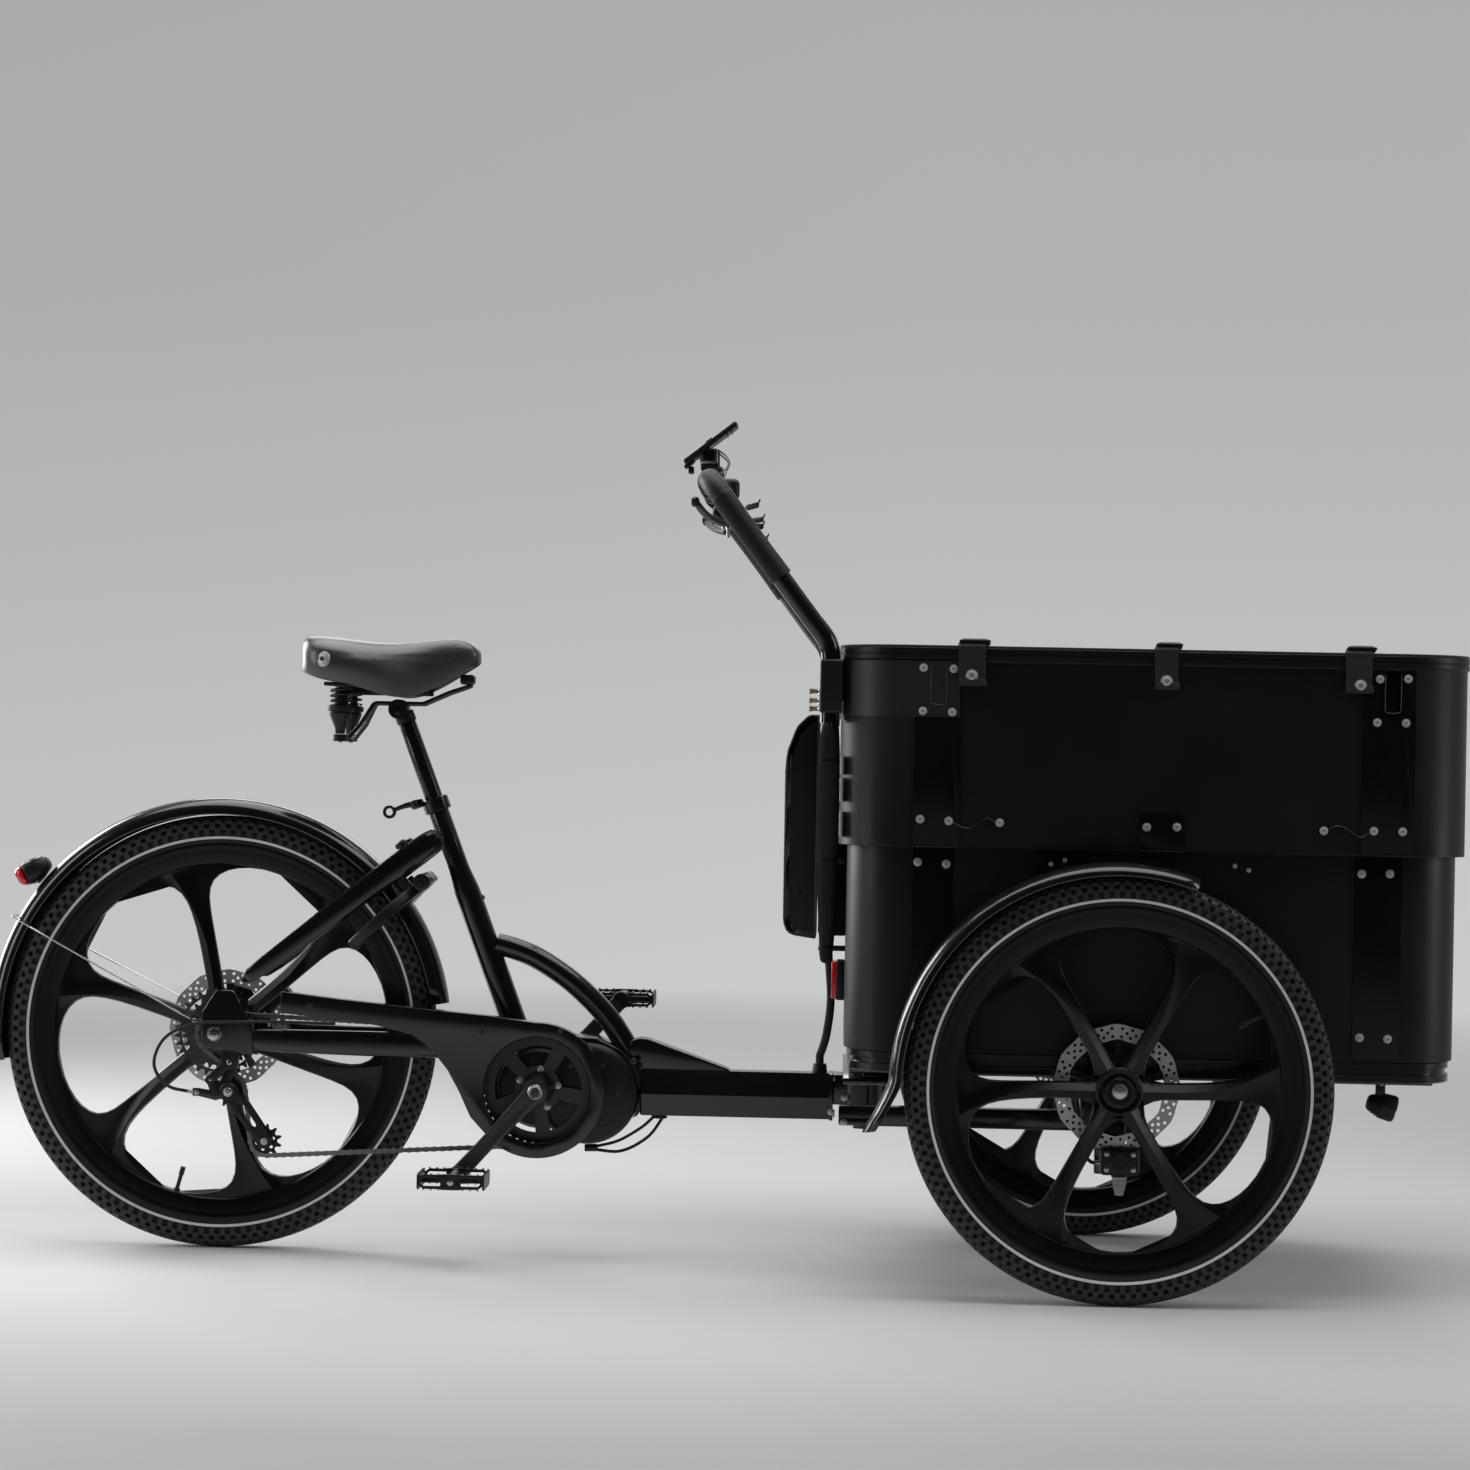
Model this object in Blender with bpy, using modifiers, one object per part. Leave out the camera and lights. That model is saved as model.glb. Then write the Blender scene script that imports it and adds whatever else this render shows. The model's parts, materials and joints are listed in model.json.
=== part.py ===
"""A cargo tricycle: a box on two front wheels, steered as one piece on a kingpin ahead of the rider."""

import math

import bmesh
import bpy
from mathutils import Matrix, Vector

# Sizes are in metres. X points forward, Y to the rider's left, Z up from the ground.
RIGHT, LEFT = -1, 1
CLEARANCE = 0.0003
X, Y, Z = Vector((1, 0, 0)), Vector((0, 1, 0)), Vector((0, 0, 1))

# Wheels
REAR_AXLE = Vector((-0.7444, 0, 0.3295))
FRONT_AXLE = Vector((0.5944, 0, 0.3035))
REAR_TYRE_RADIUS = 0.3295
FRONT_TYRE_RADIUS = 0.3035
TYRE_WIDTH = 0.050
TRACK = 0.770
FLANGE_DEPTH = 0.043
WINDOW_DEPTH = 0.0750
SPOKES = 6
SPOKE_WIDTH = 0.024
SPOKE_FLARE = 0.022
WINDOW_LEAN = math.radians(3)
WINDOW_SQUARENESS = 12
REAR_SPOKE_ANGLE = math.radians(40)
FRONT_SPOKE_ANGLE = math.radians(0)
ROTOR_RADIUS = 0.090
REAR_ROTOR_OFFSET = 0.0505
FRONT_ROTOR_OFFSET = 0.0405
AXLE_RADIUS = 0.0060
TYRE_STEPS = 32
RIM_STEPS = 24

# Frame
SEAT_TUBE_FOOT = Vector((-0.2954, 0, 0.345))
SEAT_TUBE_TOP = Vector((-0.4258, 0, 0.688))
SEAT_TUBE_RADIUS = 0.0155
SEAT_TUBE_FOOT_RADIUS = 0.0195
SEAT_POST_RADIUS = 0.0136
SEAT_CLAMP_Z = 0.682
MAIN_TUBE_X = (-0.102, 0.190)
MAIN_TUBE_Z = (0.2165, 0.2865)
MAIN_TUBE_HALF_WIDTH = 0.034
MAIN_TUBE_FACE = 0.022
GUSSET_HALF_WIDTH = 0.018
KINGPIN_X = 0.238
KINGPIN_RADIUS = 0.0125
HEAD_RADIUS = 0.040
HEAD_Z = (0.2395, 0.2865)
ARCH_RADIUS = 0.0175
LOOM_FOOT = Vector((0.1700, 0, 0.3000))

# Drive
CRANK_AXIS = Vector((-0.255, 0, 0.256))
CRANK_LENGTH = 0.170
CRANK_ANGLE = math.radians(228)
CHAIN_PITCH = 0.0127
CHAIN_LINE = -0.050
RING_TEETH = 42
PULLEY_TEETH = 11
COG_TEETH = (32, 26, 22, 18, 15, 13, 11)
COG_SPACING = 0.005
USED_COG = 4
GUIDE_PULLEY = Vector((-0.722, 0, 0.243))
TENSION_PULLEY = Vector((-0.668, 0, 0.168))
MOTOR_CENTRE = Vector((-0.182, 0, 0.250))
MOTOR_RADIUS = 0.078
MOTOR_Y = (-0.043, 0.056)
CRANK_HOUSING_RADIUS = 0.062
CRANK_HOUSING_Y = 0.062
SPINDLE_RADIUS = 0.0100
PEDAL_OFFSET = 0.160
PEDAL_SPINDLE_RADIUS = 0.0050
GUARD_OPENING = 0.0795
GUARD_RADIUS = 0.1020
CAGE_OUTER_Y = (-0.0602, -0.0578)
CAGE_INNER_Y = (-0.0422, -0.0398)

# Box
BOX_X = (0.205, 1.087)
BOX_HALF_WIDTH = 0.310
BOX_CORNER = 0.085
BOX_Z = (0.345, 0.640)
UPPER_OVERHANG = 0.013
UPPER_TOP = 0.9265
WALL = 0.006
COVER_THICKNESS = 0.0032
STRAP_TOP = 0.9345
RAIL_Y = 0.190

# Mudguards and headlight
REAR_GUARD_CENTRE = REAR_AXLE + Vector((-0.004, 0, 0.0015))
GUARD_SHEET = 0.0018
HEADLIGHT_PIVOT = Vector((1.0030, -0.120, 0.3020))

# Frame lock: its ring stands in a plane that leans across the rear tyre
LOCK_ORIGIN = Vector((-0.436, 0, 0.566))
LOCK_ALONG = Vector((-0.7226, 0, -0.6912)).normalized()
LOCK_MIDDLE = 0.0920
LOCK_RADIUS = 0.0740
LOCK_HALF = 0.0120
LOCK_OPENING = math.radians(50)

# Handlebar
BAR_RADIUS = 0.0145
BAR_HALF_WIDTH = 0.260
GRIP_RADIUS = 0.0175
BAR_X = 0.1755
BAR_GAP = 0.0004
CROSS_BAR = Vector((-0.0070, 0, 1.1680))
PERCH_Y = 0.095


def teeth_radius(teeth):
    """Pitch radius of a sprocket for the chain."""
    return CHAIN_PITCH / (2 * math.sin(math.pi / teeth))


FINISHES = {
    "gloss": ((0.012, 0.012, 0.013), 0.22, 0.0),
    "satin": ((0.018, 0.018, 0.019), 0.55, 0.0),
    "rubber": ((0.022, 0.022, 0.023), 0.85, 0.0),
    "steel": ((0.55, 0.55, 0.55), 0.35, 1.0),
    "dark_steel": ((0.08, 0.08, 0.08), 0.40, 1.0),
    "grip": ((0.16, 0.16, 0.13), 0.80, 0.0),
    "fabric": ((0.015, 0.015, 0.015), 0.70, 0.0),
    "red_lens": ((0.55, 0.01, 0.02), 0.15, 0.0),
}


def collection(name):
    """A new collection in the scene."""
    made = bpy.data.collections.new(name)
    bpy.context.scene.collection.children.link(made)
    return made


def painted(obj, look):
    """Gives the object a material of its own."""
    colour, roughness, metallic = FINISHES[look]
    material = bpy.data.materials.new(obj.name)
    material.use_nodes = True
    shader = material.node_tree.nodes["Principled BSDF"]
    shader.inputs["Base Color"].default_value = (*colour, 1)
    shader.inputs["Roughness"].default_value = roughness
    shader.inputs["Metallic"].default_value = metallic
    obj.data.materials.clear()
    obj.data.materials.append(material)
    return obj


def placed(name, data, look):
    """An object in the parts' collection, or a hidden helper where it has no look."""
    obj = bpy.data.objects.new(name, data)
    if look:
        bpy.data.collections["cargo_tricycle"].objects.link(obj)
        return painted(obj, look)
    bpy.data.collections["construction"].objects.link(obj)
    return hidden(obj)


def hidden(obj):
    """Marks a helper so that it is neither rendered nor exported."""
    obj.hide_render = True
    obj.display_type = "WIRE"
    return obj


def from_bmesh(name, mesh, look, smooth=True):
    """Turns a bmesh into an object, shaded smooth with sharp edges kept."""
    bmesh.ops.recalc_face_normals(mesh, faces=mesh.faces[:])
    data = bpy.data.meshes.new(name)
    mesh.to_mesh(data)
    mesh.free()
    if smooth:
        data.shade_smooth()
        data.set_sharp_from_angle(angle=math.radians(35))
    return placed(name, data, look)


def solid(curve):
    """Makes a curve a closed mesh that Booleans can use, and removes the curve."""
    name = curve.name
    bpy.context.view_layer.update()
    graph = bpy.context.evaluated_depsgraph_get()
    data = bpy.data.meshes.new_from_object(curve.evaluated_get(graph))
    mesh = bmesh.new()
    mesh.from_mesh(data)
    bmesh.ops.remove_doubles(mesh, verts=mesh.verts[:], dist=1e-5)
    bmesh.ops.recalc_face_normals(mesh, faces=mesh.faces[:])
    mesh.to_mesh(data)
    mesh.free()
    data.shade_smooth()
    data.set_sharp_from_angle(angle=math.radians(35))
    group = curve.users_collection[0]
    made = bpy.data.objects.new(name, data)
    made.matrix_world = curve.matrix_world.copy()
    group.objects.link(made)
    made.hide_render, made.display_type = curve.hide_render, curve.display_type
    bpy.data.objects.remove(curve)
    made.name = name
    return made


def combine(base, others, operation):
    """Adds one Boolean modifier for each of the other solids, which become helpers."""
    helpers = bpy.data.collections["construction"]
    for other in others:
        modifier = base.modifiers.new(operation.lower(), "BOOLEAN")
        modifier.operation = operation
        modifier.solver = "EXACT"
        modifier.object = other
        for group in list(other.users_collection):
            group.objects.unlink(other)
        helpers.objects.link(hidden(other))
    return base


def join(base, *others):
    """Welds the others to the base."""
    return combine(base, others, "UNION")


def cut(base, *others):
    """Cuts the others out of the base."""
    return combine(base, others, "DIFFERENCE")


def box(name, centre, size, look=None, bevel=0.0, turn=None, segments=1):
    """A block with an optional bevel, turned by a matrix about its own centre."""
    mesh = bmesh.new()
    bmesh.ops.create_cube(mesh, size=1)
    bmesh.ops.scale(mesh, vec=Vector(size), verts=mesh.verts[:])
    if bevel:
        bmesh.ops.bevel(
            mesh, geom=mesh.edges[:], offset=bevel, segments=segments, profile=0.5, affect="EDGES"
        )
    obj = from_bmesh(name, mesh, look, smooth=segments > 1)
    obj.matrix_world = Matrix.Translation(centre) @ (turn or Matrix()).to_4x4()
    return obj


def rod(name, start, end, radius, look=None, sides=16, end_radius=None):
    """A cylinder or cone between two points."""
    start, end = Vector(start), Vector(end)
    mesh = bmesh.new()
    bmesh.ops.create_cone(
        mesh,
        cap_ends=True,
        segments=sides,
        radius1=radius,
        radius2=radius if end_radius is None else end_radius,
        depth=(end - start).length,
    )
    obj = from_bmesh(name, mesh, look)
    turn = (end - start).to_track_quat("Z", "Y").to_matrix().to_4x4()
    obj.matrix_world = Matrix.Translation((start + end) / 2) @ turn
    return obj


def turned(name, profile, centre, look=None, steps=24, axis="Y"):
    """A turned shape: (radius, height) points that run down the outer side, closed into a loop."""
    data = bpy.data.meshes.new(name)
    count = len(profile)
    edges = [(i, (i + 1) % count) for i in range(count)]
    on_axis = profile[0][0] == 0 and profile[-1][0] == 0
    if on_axis:
        edges = edges[:-1]
    data.from_pydata([(radius, 0, height) for radius, height in profile], edges, [])
    obj = placed(name, data, look)
    screw = obj.modifiers.new("turn", "SCREW")
    screw.steps = screw.render_steps = steps
    screw.use_smooth_shade = True
    screw.use_merge_vertices = True
    screw.merge_threshold = 1e-5
    turn = Matrix.Rotation(-math.pi / 2, 4, "X") if axis == "Y" else Matrix()
    obj.matrix_world = Matrix.Translation(centre) @ turn
    return obj


def plate(name, outlines, low, high, look=None, plane="XZ", mesh=True):
    """A flat outline, with any holes, as thick as from low to high along the third axis."""
    curve = bpy.data.curves.new(name, "CURVE")
    curve.dimensions = "2D"
    curve.fill_mode = "BOTH"
    curve.extrude = (high - low) / 2
    for outline in outlines:
        spline = curve.splines.new("POLY")
        spline.points.add(len(outline) - 1)
        spline.use_cyclic_u = True
        for point, (a, b) in zip(spline.points, outline):
            point.co = (a, b, 0, 1)
    obj = placed(name, curve, look)
    middle = (low + high) / 2
    obj.matrix_world = {
        "XZ": Matrix.Translation((0, middle, 0)) @ Matrix.Rotation(math.pi / 2, 4, "X"),
        "XY": Matrix.Translation((0, 0, middle)),
        "YZ": Matrix.Translation((middle, 0, 0))
        @ Matrix.Rotation(math.pi / 2, 4, "Z")
        @ Matrix.Rotation(math.pi / 2, 4, "X"),
    }[plane]
    return solid(obj) if mesh else obj


def tube(name, points, radius, look=None, resolution=2):
    """A round tube or cable along points."""
    curve = bpy.data.curves.new(name, "CURVE")
    curve.dimensions = "3D"
    curve.bevel_depth = radius
    curve.bevel_resolution = resolution
    curve.use_fill_caps = True
    spline = curve.splines.new("POLY")
    spline.points.add(len(points) - 1)
    for point, place in zip(spline.points, points):
        point.co = (*place, 1)
    return placed(name, curve, look)


def loft(name, rings, look=None):
    """Skins a closed solid over rings that have the same number of points."""
    mesh = bmesh.new()
    rows = [[mesh.verts.new(point) for point in ring] for ring in rings]
    count = len(rows[0])
    for one, two in zip(rows, rows[1:]):
        for i in range(count):
            j = (i + 1) % count
            mesh.faces.new((one[i], one[j], two[j], two[i]))
    mesh.faces.new(rows[0][::-1])
    mesh.faces.new(rows[-1])
    return from_bmesh(name, mesh, look)


def oval(centre, across, up, sides=12, power=2.0, phase=0.5):
    """A ring of points round a rounded-rectangle section; power 2 gives an ellipse."""
    ring = []
    for i in range(sides):
        angle = 2 * math.pi * (i + phase) / sides
        c, s = math.cos(angle), math.sin(angle)
        a = math.copysign(abs(c) ** (2 / power), c)
        b = math.copysign(abs(s) ** (2 / power), s)
        ring.append(Vector(centre) + a * Vector(across) + b * Vector(up))
    return ring


def bar_rings(stations, sides=12, power=2.0):
    """Rings across a bar, whose stations are (centre, half width along Y, half height)."""
    rings = []
    for i, (centre, half_width, half_height) in enumerate(stations):
        before = Vector(stations[max(i - 1, 0)][0])
        after = Vector(stations[min(i + 1, len(stations) - 1)][0])
        along = (after - before).normalized()
        up = along.cross(Y).normalized()
        across = up.cross(along).normalized()
        rings.append(oval(centre, across * half_width, up * half_height, sides, power))
    return rings


def smooth(points, steps):
    """A smooth curve through the points (Catmull-Rom), with steps stretches between each two."""
    points = [Vector(point) for point in points]
    ends = [2 * points[0] - points[1], *points, 2 * points[-1] - points[-2]]
    route = []
    for a, b, c, d in zip(ends, ends[1:], ends[2:], ends[3:]):
        for k in range(steps):
            t = k / steps
            route.append(
                0.5 * (2 * b + (c - a) * t + (2 * a - 5 * b + 4 * c - d) * t**2
                       + (3 * b - 3 * c + d - a) * t**3)
            )
    return [*route, points[-1]]


def rounded(points, radii, steps=4):
    """A route through the points whose inner corners are arcs; radii is one size or one for each."""
    points = [Vector(point) for point in points]
    corners = len(points) - 2
    sizes = [radii] * corners if isinstance(radii, float) else radii
    route = [points[0]]
    for before, corner, after, radius in zip(points, points[1:], points[2:], sizes):
        one, two = (before - corner).normalized(), (after - corner).normalized()
        half = one.angle(two) / 2
        reach = radius / math.tan(half)
        centre = corner + (one + two).normalized() * radius / math.sin(half)
        start, end = corner + one * reach - centre, corner + two * reach - centre
        route += [centre + start.slerp(end, k / steps) * radius for k in range(steps + 1)]
    return [*route, points[-1]]


def circle(x, y, radius, count, start=0.0, sweep=2 * math.pi, closed=True):
    """Points on a circle or an arc."""
    gaps = count if closed else count - 1
    return [
        (x + radius * math.cos(start + sweep * i / gaps), y + radius * math.sin(start + sweep * i / gaps))
        for i in range(count)
    ]


def rounded_rectangle(x_range, y_range, radius, steps=5):
    """An outline with four round corners."""
    corners = (
        (x_range[1] - radius, y_range[1] - radius, 0),
        (x_range[0] + radius, y_range[1] - radius, 1),
        (x_range[0] + radius, y_range[0] + radius, 2),
        (x_range[1] - radius, y_range[0] + radius, 3),
    )
    outline = []
    for x, y, quarter in corners:
        outline += circle(x, y, radius, steps + 1, quarter * math.pi / 2, math.pi / 2, closed=False)
    return outline


# Wheels


def window_outline(axle, inner, outer, middle, samples=8):
    """One opening between two spokes: round at the rim and narrow at the hub, with a slight lean."""
    sides = ([], [])
    for i in range(samples + 1):
        reach = math.sin(i / samples * math.pi / 2)
        radius = inner + (outer - inner) * reach
        spoke = SPOKE_WIDTH + SPOKE_FLARE * reach**4
        half = math.pi / SPOKES - math.asin(min(spoke / 2 / radius, 0.49))
        half *= math.sqrt(max(1 - reach**WINDOW_SQUARENESS, 0))
        lean = middle + WINDOW_LEAN * reach**2
        for side, sign in zip(sides, (1, -1)):
            angle = lean + sign * half
            side.append((axle.x + radius * math.cos(angle), axle.z + radius * math.sin(angle)))
    return sides[0] + sides[1][-2::-1]


def wheel(name, centre, tyre_radius, spoke_angle, rotor_side, hub_reach, rotor_offset):
    """A six-spoke moulded wheel with its brake rotor, turned about Y."""
    flange = tyre_radius - FLANGE_DEPTH
    window = tyre_radius - WINDOW_DEPTH
    bore = AXLE_RADIUS + 0.0005
    right, left = hub_reach
    face = ((0.0300, 0.0130), (window - 0.01, 0.0105), (flange, 0.0175), (flange - 0.0120, 0.0075))
    profile = [(0.0240, left), *face]
    profile += [(radius, -y) for radius, y in face[::-1]]
    profile += [(0.0240, right), (bore, right), (bore, left)]
    body = turned(name, profile, centre, "satin", RIM_STEPS)
    axle = Vector(centre)
    windows = [
        window_outline(axle, 0.045, window, spoke_angle + math.pi / SPOKES * (2 * i + 1))
        for i in range(SPOKES)
    ]
    openings = plate(f"{name}_windows", windows, centre[1] - 0.03, centre[1] + 0.03)
    return join(cut(body, openings), rotor(f"{name}_rotor", centre, rotor_side, rotor_offset))


def rotor(name, centre, side, offset):
    """A brake rotor: a flat ring on five arms."""
    middle = centre[1] + side * offset
    arms = 5
    outlines = [circle(centre[0], centre[2], ROTOR_RADIUS, 24)]
    for i in range(arms):
        start = 2 * math.pi * i / arms
        sweep = 2 * math.pi / arms - 0.28
        outer = circle(centre[0], centre[2], 0.064, 4, start, sweep, closed=False)
        inner = circle(centre[0], centre[2], 0.032, 2, start + 0.08, sweep - 0.16, closed=False)
        outlines.append(outer + inner[::-1])
    outlines.append(circle(centre[0], centre[2], 0.0220, 10))
    return plate(name, outlines, middle - 0.001, middle + 0.001)


def tyre(name, centre, radius):
    """A hollow tyre, open towards the rim, with its beads inside the rim's flanges."""
    half = TYRE_WIDTH / 2
    flange = radius - FLANGE_DEPTH
    outer = ((radius, 0.0085), (radius - 0.0060, 0.0195), (radius - 0.0200, half), (flange + 0.0010, 0.0140))
    inner = ((flange - 0.0050, 0.0115), (radius - 0.0140, half - 0.0060))
    profile = [(r, y) for r, y in outer[::-1]] + [(r, -y) for r, y in outer]
    profile += [(r, -y) for r, y in inner] + [(r, y) for r, y in inner[::-1]]
    return turned(name, profile, centre, "rubber", TYRE_STEPS)


def make_wheels():
    """Rear wheel and the two front wheels."""
    reach = (-0.0245, 0.0515)
    wheel("rear_wheel", REAR_AXLE, REAR_TYRE_RADIUS, REAR_SPOKE_ANGLE, LEFT, reach, REAR_ROTOR_OFFSET)
    tyre("rear_tyre", REAR_AXLE, REAR_TYRE_RADIUS)
    for label, side in (("right", RIGHT), ("left", LEFT)):
        centre = FRONT_AXLE + Y * side * TRACK / 2
        reach = (-0.022, 0.0420) if side == RIGHT else (-0.0420, 0.022)
        name = f"front_wheel_{label}"
        wheel(name, centre, FRONT_TYRE_RADIUS, FRONT_SPOKE_ANGLE, -side, reach, FRONT_ROTOR_OFFSET)
        tyre(f"front_tyre_{label}", centre, FRONT_TYRE_RADIUS)
    rear_axle = rod("rear_axle", REAR_AXLE - Y * 0.094, REAR_AXLE + Y * 0.094, 0.0050, "steel", 12)
    nuts = [
        rod(f"axle_nut_{side}", REAR_AXLE + Y * side * 0.0768, REAR_AXLE + Y * side * 0.0868, 0.0095,
            sides=6)
        for side in (RIGHT, LEFT)
    ]
    join(rear_axle, *nuts)


# Rear frame


def seat_line(z, radius=0.0):
    """A point on the seat tube's centre line at this height."""
    along = SEAT_TUBE_TOP - SEAT_TUBE_FOOT
    return SEAT_TUBE_FOOT + along * ((z - SEAT_TUBE_FOOT.z) / along.z) + X * radius


def seat_tube_solid(name, look, gap=0.0):
    """The seat tube, which steps out to a larger size on its lower half."""
    stations = []
    for z, radius in (
        (SEAT_TUBE_FOOT.z - 0.015, SEAT_TUBE_FOOT_RADIUS), (0.550, SEAT_TUBE_FOOT_RADIUS),
        (0.585, SEAT_TUBE_RADIUS), (SEAT_TUBE_TOP.z + gap, SEAT_TUBE_RADIUS),
    ):
        stations.append((seat_line(z), radius + gap, radius + gap))
    return loft(name, bar_rings(stations, 16), look)


def main_tube_solid(name, look, gap=0.0):
    """The six-sided main tube with its gusset."""
    low, high = MAIN_TUBE_Z
    middle = (low + high) / 2 - 0.002
    rings = []
    for x in (MAIN_TUBE_X[0] - gap, MAIN_TUBE_X[1]):
        rings.append([
            Vector((x, y, z))
            for y, z in (
                (MAIN_TUBE_FACE + gap, low - gap), (MAIN_TUBE_HALF_WIDTH + gap, middle),
                (MAIN_TUBE_FACE + gap, high + gap), (-MAIN_TUBE_FACE - gap, high + gap),
                (-MAIN_TUBE_HALF_WIDTH - gap, middle), (-MAIN_TUBE_FACE - gap, low - gap),
            )
        ])
    body = loft(name, rings, look)
    wedge = [(-0.1015 - gap, high - 0.01), (-0.1015 - gap, 0.3335 + gap), (-0.092, 0.3335 + gap),
             (0.036, high + 0.002 + gap), (0.036, high - 0.01)]
    gusset = plate(f"{name}_gusset", [wedge], -GUSSET_HALF_WIDTH - gap, GUSSET_HALF_WIDTH + gap)
    return join(body, gusset)


def make_main_tube():
    """Main tube, end flange and the head that the kingpin turns in."""
    body = main_tube_solid("main_tube", "gloss")
    x, (low, high) = MAIN_TUBE_X[1], HEAD_Z
    flange = box("main_tube_flange", (x - 0.002, 0, 0.2515), (0.006, 0.072, 0.070))
    neck = box("head_neck", ((x + KINGPIN_X) / 2, 0, (low + high) / 2), (0.05, 0.060, high - low))
    head = rod("head", (KINGPIN_X, 0, low), (KINGPIN_X, 0, high), HEAD_RADIUS, sides=24)
    pin_room = KINGPIN_RADIUS + 0.0005
    bore = rod("head_bore", (KINGPIN_X, 0, low - 0.04), (KINGPIN_X, 0, high + 0.04), pin_room, sides=20)
    gland = rod("loom_gland", LOOM_FOOT - Z * 0.0160, LOOM_FOOT, 0.0120, sides=12, end_radius=0.0100)
    cut(join(body, flange, neck, head, gland), bore)


def motor_solid(name, look, gap=0.0):
    """The mid-mounted motor: a round can beside a smaller crank housing."""
    can = rod(name, MOTOR_CENTRE + Y * (MOTOR_Y[0] - gap), MOTOR_CENTRE + Y * (MOTOR_Y[1] + gap),
              MOTOR_RADIUS + gap, look, 28)
    near, far = CRANK_AXIS + Y * (MOTOR_Y[0] - gap), CRANK_AXIS + Y * (CRANK_HOUSING_Y + gap)
    crank = rod(f"{name}_crank_housing", near, far, CRANK_HOUSING_RADIUS + gap, sides=24)
    return join(can, crank)


def make_motor():
    """Motor with the bore for the crank spindle, and the cradle that it hangs from."""
    bore = rod("spindle_bore", CRANK_AXIS - Y * 0.1, CRANK_AXIS + Y * 0.1, SPINDLE_RADIUS + 0.0005, sides=16)
    cut(motor_solid("motor", "satin"), bore)
    cradle = cradle_solid("motor_cradle", "gloss")
    cut(cradle, motor_solid("motor_cradle_hollow", None, 0.0008))


def cradle_solid(name, look, gap=0.0):
    """The cradle over the motor before the motor's room is cut out."""
    outline = [
        (-0.350, 0.292), (-0.350, 0.340), (-0.318, 0.3445), (-0.262, 0.3445), (-0.215, 0.335),
        (-0.170, 0.334), (-0.135, 0.318), (-0.1028, 0.292), (-0.1028, 0.218), (-0.125, 0.205),
        (-0.330, 0.225),
    ]
    grown = [(x + math.copysign(gap, x + 0.226), z + math.copysign(gap, z - 0.27)) for x, z in outline]
    return plate(name, [grown], -0.034 - gap, 0.034 + gap, look)


def make_seat_tube():
    """Hollow seat tube, the curved tube in front of it, and the clamp collar."""
    tube_body = seat_tube_solid("seat_tube", "gloss")
    bore = rod("seat_tube_bore", seat_line(0.42), seat_line(0.72), SEAT_POST_RADIUS + 0.0003, sides=16)
    floor = box("seat_tube_floor", (-0.3, 0, 0.295), (0.2, 0.2, 0.100))
    cut(tube_body, bore, floor)
    centre = [
        (-0.335, 0, 0.474), (-0.262, 0, 0.450), (-0.210, 0, 0.416), (-0.161, 0, 0.370),
        (-0.128, 0, 0.324), (-0.098, 0, 0.270),
    ]
    arch = solid(tube("arch_tube", smooth(centre, 2), ARCH_RADIUS, "gloss", 3))
    painted(arch, "gloss")
    cut(arch, seat_tube_solid("arch_trim", None, CLEARANCE),
        main_tube_solid("arch_trim_front", None, CLEARANCE),
        cradle_solid("arch_trim_cradle", None, CLEARANCE), motor_solid("arch_trim_motor", None, CLEARANCE))
    make_collar()


def seat_cam():
    """Where the quick-release lever turns."""
    return seat_line(SEAT_CLAMP_Z) - X * 0.0315 - Y * 0.0172


def make_collar():
    """Seat collar with the ears that its quick-release lever pulls together."""
    low, high = seat_line(0.672), seat_line(0.6915)
    ring = rod("seat_collar", low, high, 0.0205, "gloss", 20)
    middle, lean = seat_line(SEAT_CLAMP_Z), Matrix.Rotation(math.radians(20.8), 3, "Y")
    ears = box("collar_ears", middle - X * 0.026, (0.022, 0.020, 0.013), turn=lean)
    bore = rod("collar_bore", seat_line(0.65), seat_line(0.72), SEAT_TUBE_RADIUS + CLEARANCE, sides=20)
    slot = box("collar_slot", middle - X * 0.028, (0.030, 0.003, 0.03), turn=lean)
    cut(join(ring, ears), bore, slot)
    up = (SEAT_TUBE_TOP - SEAT_TUBE_FOOT).normalized()
    cam = seat_cam()
    lever = rod("seat_lever", cam - up * 0.0060, cam + up * 0.0060, 0.0065, "dark_steel", 12)
    rings = bar_rings([
        (cam, 0.0032, 0.0050), (cam + Vector((-0.014, 0, -0.002)), 0.003, 0.0040),
        (cam + Vector((-0.030, 0, -0.009)), 0.003, 0.0035),
    ], 8)
    end = cam + Vector((-0.038, 0, -0.0125))
    eye = rod("seat_lever_eye", end - Y * 0.0032, end + Y * 0.0032, 0.0105, sides=14)
    hole = rod("seat_lever_hole", end - Y * 0.01, end + Y * 0.01, 0.0055, sides=10)
    cut(join(lever, loft("seat_lever_arm", rings), eye), hole)


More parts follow.
